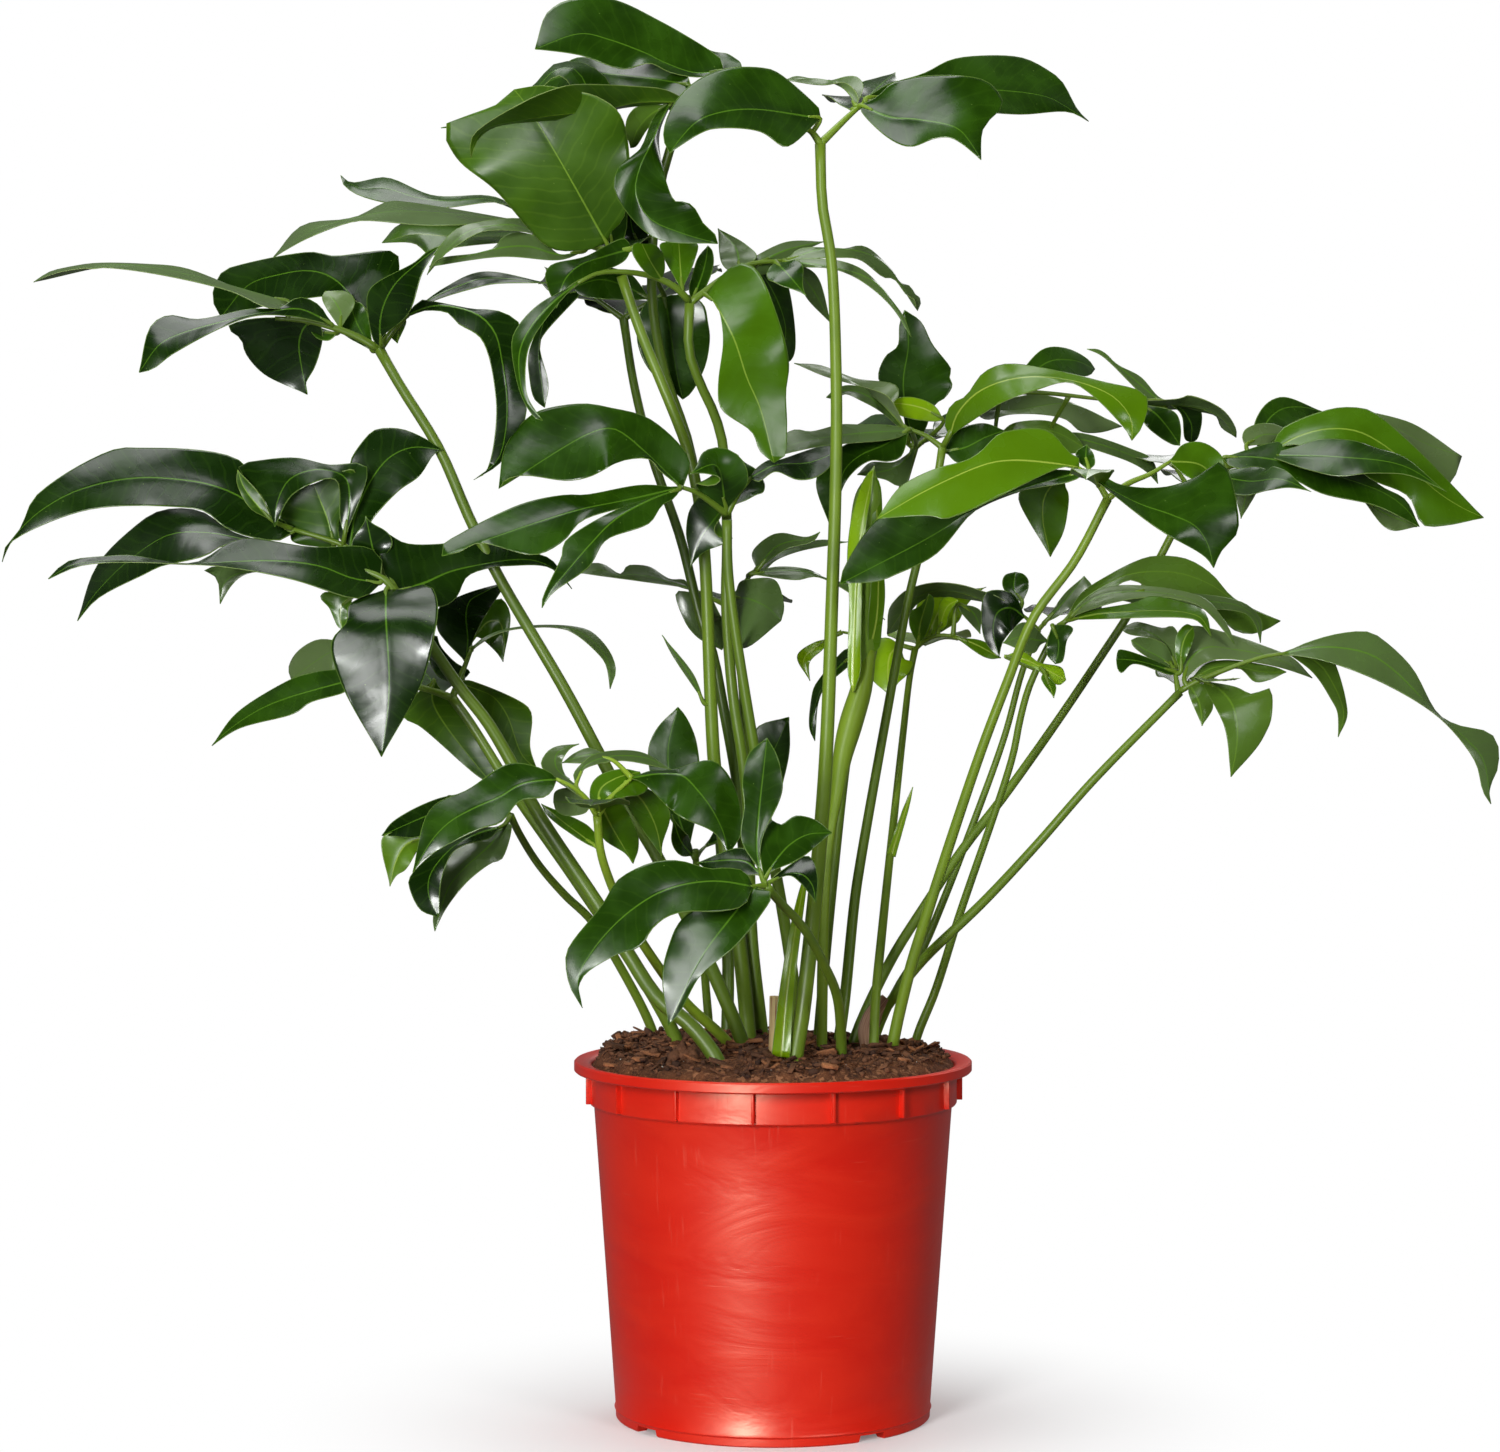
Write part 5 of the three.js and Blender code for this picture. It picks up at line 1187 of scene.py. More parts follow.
        ([(352, 680, 0), (285, 699, 13), (261, 709, 17), (238, 723, 20), (220, 737, 21), (211, 746, 22)],
          38, FRONT_UP, ([(345, 671), (328, 670), (299, 676), (285, 682), (235, 714)], [(348, 690),
          (309, 703), (295, 713), (238, 729)])),
        ([(400, 684, -3), (360, 668, 14), (335, 652, 24), (318, 660, 30), (291, 680, 40)],
          36, (0, -0.8, 1), "pale", ([(390, 670), (350, 645), (323, 639), (311, 642), (295, 654),
          (288, 669)], [(380, 690), (350, 680), (315, 675)])),
        ([(470, 650, -4), (485, 638, 1), (510, 629, 7), (545, 626, 12), (575, 631, 16), (592, 641, 18),
          (606, 658, 20), (610, 675, 21), (610, 689, 22)], 19, (0, -0.6, 1), "grey", ([(480, 640),
          (502, 630), (540, 625), (577, 627), (592, 632), (610, 652), (616, 671)], [(500, 633), (530, 628),
          (567, 630), (600, 656), (606, 666)])),
        ([(434, 680, -8), (432, 700, 3), (445, 725, 15), (492, 785, 20)], 50, (-0.3, 1, 0.2), ([(418, 692),
          (402, 716), (420, 727), (478, 777)], [(492, 765)])),
        ([(456, 682, -10), (475, 688, 5), (494, 697, 19), (507, 715, 25), (522, 755, 30), (537, 770, 32)],
          43, (0.2, 1, 0.2), ([(485, 710), (495, 725), (506, 755), (515, 766)], [(467, 680), (478, 683),
          (528, 707), (532, 717), (530, 747)])),
        ([(466, 662, -6), (468, 640, 2), (466, 615, 8), (470, 601, 12), (485, 592, 14), (507, 582, 18)],
          43, FRONT_LOW, "dark", ([(442, 637), (437, 628), (438, 609), (465, 594)], [(475, 635)])),
        ([(440, 694, -10), (420, 668, 40), (400, 660, 90)], 48, UP),
        ([(472, 640, 22), (488, 622, 26), (499, 622, 28), (504, 640, 28), (503, 662, 27)],
          40, FRONT_LOW, "fresh", ([(490, 605), (500, 598), (510, 612)], [(477, 637), (495, 651)])),
        ([(462, 680, 2), (448, 668, 8), (436, 655, 12), (430, 640, 14)],
          30, FRONT_LOW, "dark", ([(470, 672), (455, 662), (440, 645), (436, 634)], [(455, 682), (440, 678),
          (432, 668), (428, 655)])),
    ],
},
"middle_front": {
    "girth": (4, 2.8),
    "stalk": [(797, 1050, 8), (794, 990, -2), (789, 950, -5), (757, 765, -18), (729, 580, -29),
          (727, 520, -32)],
    "arms": [
        [(727, 514, -32), (695, 492, -46), (680, 487, -50)],
        [(727, 514, -32), (738, 494, -34), (751, 478, -36)],
    ],
    "leaves": [
        ([(682, 488, -50), (623, 434, -57), (610, 429, -58), (590, 434, -60), (499, 489, -68)],
          58, (0, -1, 0.9), ([(690, 462), (651, 420), (610, 408), (584, 404), (540, 411), (526, 420),
          (508, 442), (503, 455)], [(660, 471), (651, 460), (623, 461), (590, 477), (568, 481), (529, 476),
          (513, 477), (503, 482)])),
        ([(680, 488, -50), (620, 502, -68), (580, 510, -75), (540, 522, -81), (442, 556, -90)],
          50, (0, -1, 0.8), ([(643, 485), (585, 495), (565, 495), (522, 504), (460, 534), (442, 546)],
          [(670, 496), (582, 521), (564, 541), (535, 555), (478, 543), (460, 552)])),
        ([(680, 489, -52), (650, 500, -70), (615, 520, -84), (590, 545, -92), (570, 568, -96),
          (552, 590, -99), (542, 608, -100)], 38, (0, -1, 0.5), ([(610, 513), (564, 543), (562, 555),
          (542, 600)], [(675, 498), (662, 506), (650, 523), (610, 538), (602, 545), (590, 566),
          (552, 594)])),
        ([(726, 510, -34), (716, 466, -50), (690, 474, -62)], 31, (0, -1, 0.5)),
        ([(731, 506, -32), (740, 478, -18), (738, 455, -6)], 31, (0, -0.8, 0.6)),
        ([(751, 478, -36), (775, 466, -30), (810, 463, -24), (842, 450, -16)],
          17, (0, -0.4, 1), "dark", ([(755, 470), (770, 460), (775, 461), (827, 446)], [(758, 482),
          (775, 472), (797, 480), (812, 479), (825, 472)])),
        ([(724, 510, -30), (714, 520, -8), (700, 540, -4), (690, 568, -2)], 31, (0, -1, 0.2)),
    ],
},
"middle_back": {
    "girth": (3.4, 2.2),
    "stalk": [(760, 1034, 96), (752, 950, 94), (746, 760, 82), (743, 700, 77), (738, 650, 72),
          (731, 606, 67)],
    "arms": [
        [(728, 606, 67), (690, 588, 82)],
        [(728, 606, 67), (749, 577, 63), (763, 562, 60)],
    ],
    "leaves": [
        ([(757, 570, 60), (775, 548, 54), (793, 541, 50), (806, 540, 48), (820, 532, 45)],
          26, (0, -1, 0.7), "grey", ([(752, 553), (770, 536), (782, 533), (807, 537)], [(785, 550),
          (814, 541)])),
        ([(748, 576, 64), (775, 557, 72), (805, 547, 81), (848, 542, 92)],
          14, (0, -0.4, 1), "grey", ([(775, 553), (792, 546), (820, 540)], [(765, 570), (775, 561),
          (797, 552)])),
        ([(750, 574, 60), (780, 571, 59), (810, 573, 57), (850, 590, 54), (885, 620, 50)],
          19, (0, -0.7, 1), "grey", ([(775, 567), (810, 570), (825, 579), (845, 583), (858, 590)],
          [(797, 580), (817, 577), (860, 600)])),
        ([(735, 597, 64), (752, 600, 47), (768, 608, 43), (781, 621, 42)],
          60, (0, -1, 0.4), "grey", ([(740, 582), (750, 579), (775, 580), (783, 598), (784, 610)],
          [(735, 640), (742, 648), (750, 646)])),
        ([(712, 598, 76), (697, 606, 83), (697, 622, 86), (722, 650, 90)],
          34, (-0.2, -1, 0.2), "grey", ([(690, 592), (676, 592), (685, 622), (692, 632), (701, 640)],
          [(728, 637)])),
        ([(690, 588, 82), (636, 575, 78), (618, 576, 76), (598, 570, 75), (579, 573, 74)],
          22, (0, -0.5, 1), "grey", ([(685, 580), (670, 579), (650, 567), (637, 565), (627, 566),
          (621, 574), (605, 565), (595, 563), (585, 566)], [])),
        ([(732, 602, 70), (754, 598, 120), (770, 606, 175)], 50, UP),
    ],
},
"right_inner": {
    "girth": (3.6, 2.4),
    "stalk": [(838, 1053, -6), (845, 1000, 6), (855, 900, 24), (861, 860, 30), (893, 680, 55),
          (908, 600, 60), (935, 490, 65), (942, 448, 66)],
    "arms": [
        [(942, 448, 66), (925, 436, 70), (905, 428, 74)],
        [(942, 448, 66), (958, 422, 62), (985, 400, 60), (1020, 393, 62), (1120, 402, 76)],
    ],
    "leaves": [
        ([(950, 436, 64), (957, 415, 54), (975, 395, 42), (1000, 383, 32), (1030, 378, 25), (1060, 380, 19),
          (1090, 387, 13), (1115, 400, 8), (1130, 420, 5), (1131, 441, 2)],
          41, (0, -0.8, 1), "bright", ([(945, 430), (946, 415), (952, 404), (965, 397), (980, 376),
          (990, 369), (1002, 365), (1020, 365), (1101, 382), (1146, 397), (1141, 428)], [(1000, 404),
          (1035, 391), (1068, 383), (1090, 395), (1125, 431)])),
        ([(1005, 396, 62), (1030, 375, 79), (1050, 362, 92), (1075, 362, 104), (1094, 370, 115)],
          34, (0, -0.7, 1), ([(1015, 380), (1042, 350), (1065, 349), (1088, 361)], [(1050, 378),
          (1089, 376)])),
        ([(972, 411, 62), (1020, 410, 110), (1070, 405, 132), (1121, 427, 146)],
          41, (0, -0.8, 0.9), "pale", ([(1030, 395), (1055, 398), (1075, 405)], [(985, 420), (1010, 415),
          (1040, 415), (1065, 420), (1080, 432), (1100, 433)])),
        ([(1120, 402, 76), (1150, 405, 80), (1175, 405, 83), (1200, 409, 86), (1220, 418, 88),
          (1235, 438, 92)], 17, UP, "grey", ([(1179, 399), (1187, 396), (1221, 410), (1235, 430)],
          [(1150, 412), (1175, 410), (1207, 414), (1215, 417), (1220, 428)])),
        ([(1165, 408, 84), (1135, 382, 88), (1100, 354, 88), (1086, 350, 88)],
          14, FRONT_UP, "grey", ([(1171, 405), (1157, 397), (1140, 378), (1116, 365), (1104, 354),
          (1096, 350)], [(1155, 407), (1101, 357)])),
        ([(1140, 405, 66), (1155, 415, 60), (1168, 430, 55), (1179, 446, 50)],
          26, (0, -1, 0.4), "plain", ([(1145, 412), (1143, 423), (1171, 445)], [(1171, 411), (1177, 417),
          (1180, 431)])),
        ([(1165, 402, 80), (1180, 410, 88), (1190, 425, 94), (1190, 443, 98)],
          22, FRONT_LOW, "dark", ([(1180, 415), (1184, 440)], [(1190, 405), (1200, 412), (1196, 440)])),
        ([(912, 431, 72), (860, 434, 58), (800, 443, 45), (783, 450, 41), (770, 461, 38)],
          36, (0, -0.6, 1), "grey", ([(892, 426), (857, 425), (840, 425), (810, 432), (795, 430),
          (782, 437)], [(895, 439), (825, 446), (780, 456)])),
        ([(905, 428, 76), (875, 398, 96), (840, 377, 108), (794, 364, 118)], 24, UP, "pale", ([(893, 405),
          (899, 395), (896, 386), (855, 379), (820, 366)], [(892, 402), (885, 395), (825, 377)])),
        ([(908, 430, 70), (885, 445, 65), (862, 455, 60), (845, 470, 54), (838, 495, 50), (831, 530, 46)],
          41, (-0.3, -1, 0.3), ([(895, 438), (858, 441), (845, 445), (832, 455), (816, 480)], [(905, 448),
          (900, 458), (887, 462), (870, 461), (847, 480)])),
        ([(915, 448, 95), (903, 462, 92), (890, 470, 90), (857, 475, 88)],
          40, (0, -1, 0.5), "grey", ([(895, 462), (870, 463)], [(905, 485), (897, 486), (885, 480)])),
        ([(1050, 436, 100), (1080, 440, 100), (1135, 458, 96), (1150, 468, 95), (1157, 484, 94)],
          30, (0, -1, 0.6), "grey", ([(1077, 433), (1135, 451), (1148, 457), (1155, 467)], [(1130, 463),
          (1145, 472)])),
        ([(945, 452, 72), (965, 448, 68), (985, 438, 64), (1004, 431, 62)],
          50, (0, -1, 0.5), "plain", ([(947, 440), (958, 430), (972, 425), (986, 424)], [(955, 462),
          (968, 465), (982, 457)])),
        ([(998, 436, 96), (1025, 431, 94), (1055, 433, 92), (1086, 450, 90)],
          40, (0, -1, 0.7), "olive", ([(1010, 425), (1030, 421), (1050, 422), (1070, 432)], [(1010, 444),
          (1030, 448), (1072, 454)])),
    ],
},
"right_behind": {
    "girth": (3.4, 2.3),
    "stalk": [(818, 1048, 28), (844, 780, 76), (856, 696, 87), (862, 640, 94), (884, 540, 106),
          (905, 480, 113), (914, 449, 116)],
    "arms": [
        [(914, 449, 116), (905, 442, 121), (896, 437, 126)],
        [(914, 449, 116), (924, 441, 120), (934, 436, 125)],
    ],
    "leaves": [
        ([(914, 447, 118), (905, 410, 126), (903, 380, 131), (908, 345, 135), (904, 311, 138)],
          53, (0, -1, 0.1), ([(906, 430), (900, 405), (878, 380), (885, 357), (897, 347), (899, 325)],
          [(925, 430), (935, 405), (945, 398), (952, 386), (949, 377), (951, 371), (932, 345),
          (920, 322)])),
        ([(906, 435, 112), (885, 412, 100), (866, 396, 94), (845, 391, 90), (826, 398, 88)],
          26, (0, -1, 0.5), "grey", ([(895, 415), (880, 400), (862, 388), (845, 386), (833, 391)],
          [(880, 412), (862, 402), (845, 395), (835, 400)])),
        ([(934, 436, 125), (975, 432, 150), (1020, 442, 185)], 53, (0, -0.5, 1)),
        ([(896, 437, 126), (855, 432, 155), (800, 442, 185)], 55, (0, -0.5, 1)),
        ([(920, 444, 122), (934, 430, 180), (950, 436, 240)], 60, UP),
        ([(943, 420, 105), (925, 410, 105), (905, 405, 104), (887, 404, 104)],
          26, (0, -1, 0.5), "young", ([(935, 407), (918, 399), (900, 398)], [(936, 422), (905, 418),
          (893, 412)])),
    ],
},
"right_bright": {
    "girth": (3.8, 2.5),
    "stalk": [(892, 1053, -10), (910, 972, -20), (920, 938, -26), (978, 760, -58), (1008, 680, -68),
          (1033, 618, -76), (1075, 560, -80), (1107, 499, -82)],
    "arms": [
        [(1107, 499, -82), (1095, 481, -84), (1078, 468, -86)],
        [(1107, 499, -82), (1127, 484, -80), (1150, 474, -78), (1169, 462, -76)],
    ],
    "leaves": [
        ([(1078, 468, -86), (1045, 463, -93), (1010, 461, -100), (985, 465, -105), (930, 489, -113),
          (877, 519, -118)], 53, (0, -1, 0.8), "bright", ([(1083, 462), (1070, 454), (1052, 434),
          (1040, 429), (1010, 431), (997, 435), (980, 452), (967, 460), (935, 469), (904, 484), (895, 492)],
          [(1080, 470), (1065, 467), (1050, 472), (945, 519), (930, 516)])),
        ([(1084, 472, -84), (1060, 478, -81), (990, 502, -74), (925, 540, -76), (840, 584, -80)],
          55, (0, -1, 0.6), "plain", ([(1050, 470), (1000, 480), (900, 510), (876, 520), (840, 577)],
          [(1075, 480), (985, 502), (935, 555), (895, 575), (880, 581)])),
        ([(1081, 471, -82), (1060, 478, -60), (1045, 495, -49), (1042, 515, -46), (1050, 557, -44)],
          34, (0, -1, 0.2), "fresh", ([(1050, 476), (1030, 483), (1019, 492), (1018, 500)], [(1068, 476),
          (1064, 484), (1068, 495), (1066, 520), (1062, 535)])),
        ([(1084, 472, -88), (1110, 490, -99), (1140, 505, -105), (1170, 515, -108), (1195, 527, -110),
          (1207, 545, -110), (1213, 568, -110)], 64, (0.1, -1, 0.6), "plain", ([(1100, 475), (1120, 485),
          (1166, 487), (1199, 475), (1218, 462), (1227, 470), (1238, 523), (1236, 534), (1221, 551)],
          [(1157, 529), (1204, 557)])),
        ([(1169, 462, -76), (1200, 466, -70), (1228, 496, -66)], 31, (0, -1, 0.6)),
        ([(1098, 486, -82), (1090, 470, -140), (1085, 480, -190)], 24, UP),
        ([(1088, 470, -80), (1085, 458, -76), (1086, 445, -74)], 22, FRONT_LOW, "plain", ([(1078, 462),
          (1075, 453)], [(1094, 465), (1093, 455)])),
    ],
},
"right_far": {
    "girth": (3.5, 2.3),
    "stalk": [(852, 1049, 14), (889, 965, 25), (926, 905, 35), (964, 848, 45), (1002, 799, 52),
          (1054, 726, 60), (1101, 656, 64), (1135, 603, 64), (1192, 494, 58)],
    "arms": [
        [(1192, 494, 58), (1172, 464, 74)],
        [(1192, 494, 58), (1212, 476, 60), (1240, 463, 62), (1268, 454, 64)],
    ],
    "leaves": [
        ([(1222, 458, 60), (1255, 458, 56), (1290, 464, 50), (1355, 483, 42), (1385, 495, 38),
          (1405, 510, 36), (1418, 527, 35)], 36, (0, -0.8, 1), ([(1271, 443), (1290, 442), (1354, 464),
          (1379, 486), (1404, 500)], [(1226, 465), (1288, 478), (1321, 494), (1374, 506)])),
        ([(1212, 476, 58), (1250, 482, 30), (1280, 480, 15), (1310, 492, 5)], 31, (0, -0.9, 0.8)),
        ([(1268, 454, 64), (1295, 438, 62), (1325, 430, 60), (1355, 432, 57), (1385, 448, 55),
          (1435, 492, 51), (1460, 508, 49), (1482, 518, 48)], 67, (0, -1, 0.9), "fresh", ([(1279, 431),
          (1296, 421), (1332, 409), (1351, 408), (1368, 411), (1407, 442)], [(1290, 445), (1350, 465),
          (1370, 480), (1407, 497), (1421, 525), (1443, 526)])),
        ([(1262, 456, 66), (1264, 425, 92), (1280, 410, 106), (1300, 408, 116), (1320, 412, 125)],
          31, (0, -1, 0.6), "plain", ([(1253, 440), (1253, 424), (1263, 406), (1274, 399), (1285, 398)],
          [(1285, 427)])),
        ([(1268, 454, 68), (1310, 430, 84), (1350, 424, 96), (1390, 428, 103), (1425, 445, 108),
          (1460, 457, 112)], 41, (0, -0.8, 0.8), "pale", ([(1300, 420), (1340, 410), (1399, 420),
          (1418, 428)], [(1320, 440), (1360, 440), (1400, 450), (1447, 485)])),
        ([(1245, 446, 64), (1260, 436, 76), (1280, 436, 87), (1304, 443, 98)],
          31, (0, -0.8, 0.8), "pale", ([(1241, 439), (1243, 431), (1254, 425), (1268, 424), (1279, 427)],
          [])),
        ([(1264, 456, 60), (1340, 458, 36), (1400, 466, 26), (1445, 492, 18)], 31, (0, -0.9, 0.9)),
        ([(1242, 468, 64), (1245, 490, 71), (1240, 519, 76)], 19, (0, -1, 0.2), "pale", ([(1232, 476)],
          [(1258, 478), (1257, 489)])),
        ([(1196, 488, 62), (1205, 470, 125), (1215, 476, 190)], 55, UP),
        ([(1174, 467, 74), (1150, 456, 110), (1120, 458, 150)], 30, UP),
        ([(1360, 498, 54), (1380, 512, 54), (1416, 527, 50)], 40, FRONT_LOW, "pale", ([(1388, 530)],
          [(1400, 512)])),
    ],
},
"right_small": {
    "girth": (2.9, 1.9),
    "stalk": [(876, 1038, 60), (900, 985, 60), (922, 951, 62), (942, 905, 66), (974, 822, 76),
          (1005, 735, 84), (1022, 672, 90), (1038, 630, 92)],
    "arms": [
        [(1038, 630, 92), (1026, 618, 90), (1018, 612, 88)],
        [(1038, 630, 92), (1056, 610, 96)],
    ],
    "leaves": [
        ([(1024, 617, 89), (1010, 608, 83), (998, 612, 80), (993, 628, 78), (999, 658, 76)],
          38, (-0.2, -1, 0.3), "dark", ([(1018, 600), (1010, 592), (986, 592), (981, 610), (983, 635),
          (987, 645)], [(1003, 642)])),
        ([(1022, 602, 91), (1014, 590, 101), (1015, 572, 110)], 19, (0, -1, 0.2), "plain", ([(1004, 590),
          (1002, 581), (1005, 575)], [(1028, 589), (1028, 580), (1023, 574)])),
        ([(1044, 623, 92), (1072, 592, 84), (1084, 576, 80)], 26, (0, -1, 0.4), "grey", ([(1064, 594)],
          [(1060, 615), (1092, 588)])),
        ([(1050, 616, 96), (1065, 608, 150), (1085, 616, 205)], 48, UP),
        ([(1020, 614, 90), (960, 592, 104), (930, 591, 112), (908, 604, 118), (887, 634, 124)],
          43, UP, "grey", ([(1000, 598), (982, 591), (957, 584), (930, 583), (905, 591), (896, 599),
          (889, 609)], [(1000, 606), (966, 599), (937, 597), (925, 599), (914, 607), (905, 622),
          (896, 631)])),
    ],
},
"right_arching": {
    "girth": (2.9, 2),
    "stalk": [(916, 1043, 46), (936, 991, 46), (959, 918, 40), (1012, 759, 22), (1020, 720, 18),
          (1028, 690, 14), (1040, 662, 10), (1058, 626, 6)],
    "arms": [
        [(1058, 626, 6), (1050, 636, 4), (1046, 646, 2)],
        [(1058, 626, 6), (1085, 609, 2), (1110, 598, -2), (1144, 590, -6)],
    ],
    "leaves": [
        ([(1064, 622, 8), (1080, 602, 15), (1100, 588, 22), (1125, 576, 26), (1150, 572, 30),
          (1180, 574, 32), (1210, 585, 34), (1240, 605, 35), (1280, 621, 36)],
          43, (0, -0.9, 0.9), "olive", ([(1080, 594), (1110, 574), (1141, 559), (1155, 556), (1186, 559),
          (1211, 574), (1233, 598)], [(1110, 590), (1130, 580), (1150, 588), (1192, 595), (1217, 612),
          (1230, 628), (1247, 634), (1263, 631)])),
        ([(1070, 617, 0), (1085, 604, -2), (1105, 595, -4), (1135, 592, -6), (1165, 594, -9),
          (1190, 600, -12), (1210, 612, -15), (1225, 630, -17), (1234, 644, -18)],
          26, (0, -0.7, 1), "pale", ([(1080, 604), (1108, 587), (1177, 590), (1205, 599), (1213, 606),
          (1230, 631)], [(1116, 602), (1158, 597), (1180, 600), (1202, 608)])),
        ([(1068, 620, 3), (1100, 614, -15), (1130, 612, -25), (1160, 611, -31), (1185, 613, -34),
          (1200, 618, -36), (1207, 628, -37), (1211, 637, -38)], 26, (0, -0.4, 1), "fresh", ([(1080, 613),
          (1136, 602), (1150, 596), (1202, 610), (1207, 617)], [(1186, 618), (1197, 621)])),
        ([(1112, 598, -1), (1160, 600, 11), (1210, 602, 15), (1240, 607, 17), (1257, 622, 19),
          (1260, 643, 20)], 26, (0, -0.8, 1), "grey", ([(1150, 592), (1200, 594), (1235, 600), (1247, 605),
          (1261, 620)], [(1150, 606), (1235, 611), (1247, 615), (1254, 624)])),
        ([(1044, 672, 2), (1054, 698, -6)], 19, (0, -1, 0.2), "fresh", ([(1041, 678)], [(1056, 686)])),
        ([(1048, 641, 3), (1035, 640, -7), (1020, 637, -14), (1003, 643, -18)],
          19, (0, -1, 0.6), "grey", ([(1030, 624), (1020, 623)], [(1040, 645), (1034, 653)])),
        ([(1004, 656, 10), (1025, 660, 8), (1066, 680, 4)], 17, (0, -1, 0.2), "young", ([(1022, 651),
          (1039, 662), (1062, 668)], [(1037, 670), (1051, 682), (1060, 685)])),
        ([(1052, 625, 0), (1058, 640, 0), (1058, 652, 0), (1055, 664, 0)],
          40, FRONT_LOW, "plain", ([(1047, 642), (1047, 655)], [(1068, 625), (1073, 629), (1067, 640),
          (1062, 662)])),
    ],
},
"right_low": {
    "girth": (3.5, 2.3),
    "stalk": [(866, 1044, 36), (894, 998, 22), (922, 962, 8), (984, 902, -12), (1036, 846, -26),
          (1092, 782, -30), (1180, 692, -28)],
    "arms": [
        [(1178, 692, -28), (1175, 674, -24), (1170, 661, -20)],
        [(1178, 692, -28), (1200, 680, -30), (1262, 657, -34), (1287, 653, -36)],
    ],
    "leaves": [
        ([(1176, 668, -21), (1170, 650, -13), (1158, 638, -7), (1142, 630, -1), (1125, 626, 4)],
          29, (0, -0.8, 0.9), "pale", ([(1180, 640), (1172, 626), (1163, 628), (1136, 622)], [(1165, 645),
          (1150, 638), (1128, 634), (1122, 630)])),
        ([(1184, 680, -28), (1188, 662, -23), (1205, 648, -18), (1235, 650, -14), (1262, 655, -12),
          (1288, 664, -10), (1312, 678, -8)], 34, (0, -0.8, 1), "pale", ([(1178, 650), (1180, 636),
          (1187, 626), (1280, 652), (1294, 659)], [(1202, 664), (1219, 659), (1274, 666)])),
        ([(1200, 680, -31), (1216, 680, -52), (1240, 678, -72)], 22, UP),
        ([(1176, 672, -24), (1136, 661, -38), (1116, 659, -42)], 22, (0, -1, 0.8), "plain", ([(1163, 664),
          (1124, 650), (1118, 650)], [(1172, 675), (1133, 664), (1121, 673), (1117, 668)])),
        ([(1204, 681, -31), (1220, 690, -42), (1232, 705, -50), (1237, 725, -53), (1236, 750, -55),
          (1231, 777, -56)], 46, (0.2, -1, 0.3), "olive", ([(1203, 684), (1224, 726)], [(1236, 687),
          (1252, 694), (1269, 688), (1272, 695), (1271, 720), (1266, 732), (1258, 746)])),
        ([(1190, 686, -29), (1198, 700, -38), (1201, 712, -40), (1202, 726, -42)],
          19, (0, -1, 0.1), "olive", ([(1188, 690)], [(1203, 684), (1213, 706)])),
        ([(1282, 654, -36), (1310, 648, -38), (1340, 648, -41), (1370, 655, -44), (1395, 672, -47),
          (1438, 716, -52), (1462, 736, -54), (1482, 758, -56), (1491, 804, -58)],
          41, (0.2, -1, 0.8), "grey", ([(1305, 643), (1341, 633), (1369, 632), (1380, 638), (1411, 667),
          (1438, 714), (1458, 725), (1483, 730), (1491, 734), (1497, 742), (1498, 767), (1489, 790)],
          [(1320, 660), (1380, 682), (1438, 717), (1469, 752), (1477, 767), (1483, 792)])),
        ([(1287, 653, -36), (1305, 656, -32), (1322, 668, -27), (1341, 703, -22), (1343, 718, -21),
          (1338, 737, -20)], 24, (0.3, -1, 0.2), "olive", ([(1311, 647), (1330, 656), (1347, 709),
          (1346, 720)], [(1313, 673), (1331, 700), (1337, 712)])),
        ([(1182, 689, -26), (1200, 664, 40), (1215, 660, 100)], 48, UP),
        ([(1190, 680, -20), (1215, 668, -20), (1240, 668, -20), (1262, 672, -18), (1286, 672, -16)],
          34, (0, -1, 0.5), "olive", ([(1205, 664), (1225, 660), (1278, 668)], [(1238, 668), (1255, 682),
          (1269, 680)])),
        ([(1176, 670, -20), (1160, 658, -18), (1145, 650, -16), (1131, 640, -14)],
          30, (0, -1, 0.5), "grey", ([(1165, 645), (1138, 637)], [(1147, 657), (1132, 645)])),
        ([(1180, 672, -26), (1181, 650, -26), (1186, 635, -26), (1193, 627, -26)],
          30, FRONT_LOW, "fresh", ([(1175, 655), (1175, 640), (1179, 630), (1187, 624)], [(1194, 636)])),
    ],
},
"right_young": {
    "girth": (3.2, 2),
    "stalk": [(874, 1056, -22), (876, 1000, -10), (882, 935, 10), (896, 800, 62), (903, 735, 92),
          (910, 675, 115), (915, 649, 121)],
    "arms": [
        [(915, 649, 121), (870, 637, 131), (842, 632, 135)],
        [(915, 649, 121), (926, 640, 117), (942, 635, 112), (967, 640, 106)],
    ],
    "leaves": [
        ([(918, 645, 120), (920, 625, 114), (929, 594, 106)], 22, FRONT_LOW, "fresh", ([(909, 624),
          (911, 611), (920, 606)], [(925, 636), (934, 606), (933, 597)])),
        ([(938, 632, 115), (948, 606, 101), (958, 600, 96)], 29, (0, -1, 0.5), "young", ([(939, 606),
          (943, 598), (951, 597)], [(946, 626), (949, 614)])),
        ([(958, 604, 107), (972, 612, 109), (978, 622, 111), (980, 634, 112)],
          19, FRONT_LOW, "grey", ([(975, 607), (981, 612)], [(960, 611)])),
        ([(926, 640, 118), (945, 604, 138), (986, 587, 152)], 29, FRONT_UP),
        ([(828, 639, 135), (812, 650, 129), (804, 660, 126), (810, 681, 124)],
          24, (-0.4, -1, 0.4), "young", ([(815, 642), (797, 656)], [(824, 648), (810, 662)])),
        ([(852, 655, 133), (838, 668, 145), (826, 682, 149), (818, 698, 152), (812, 728, 153),
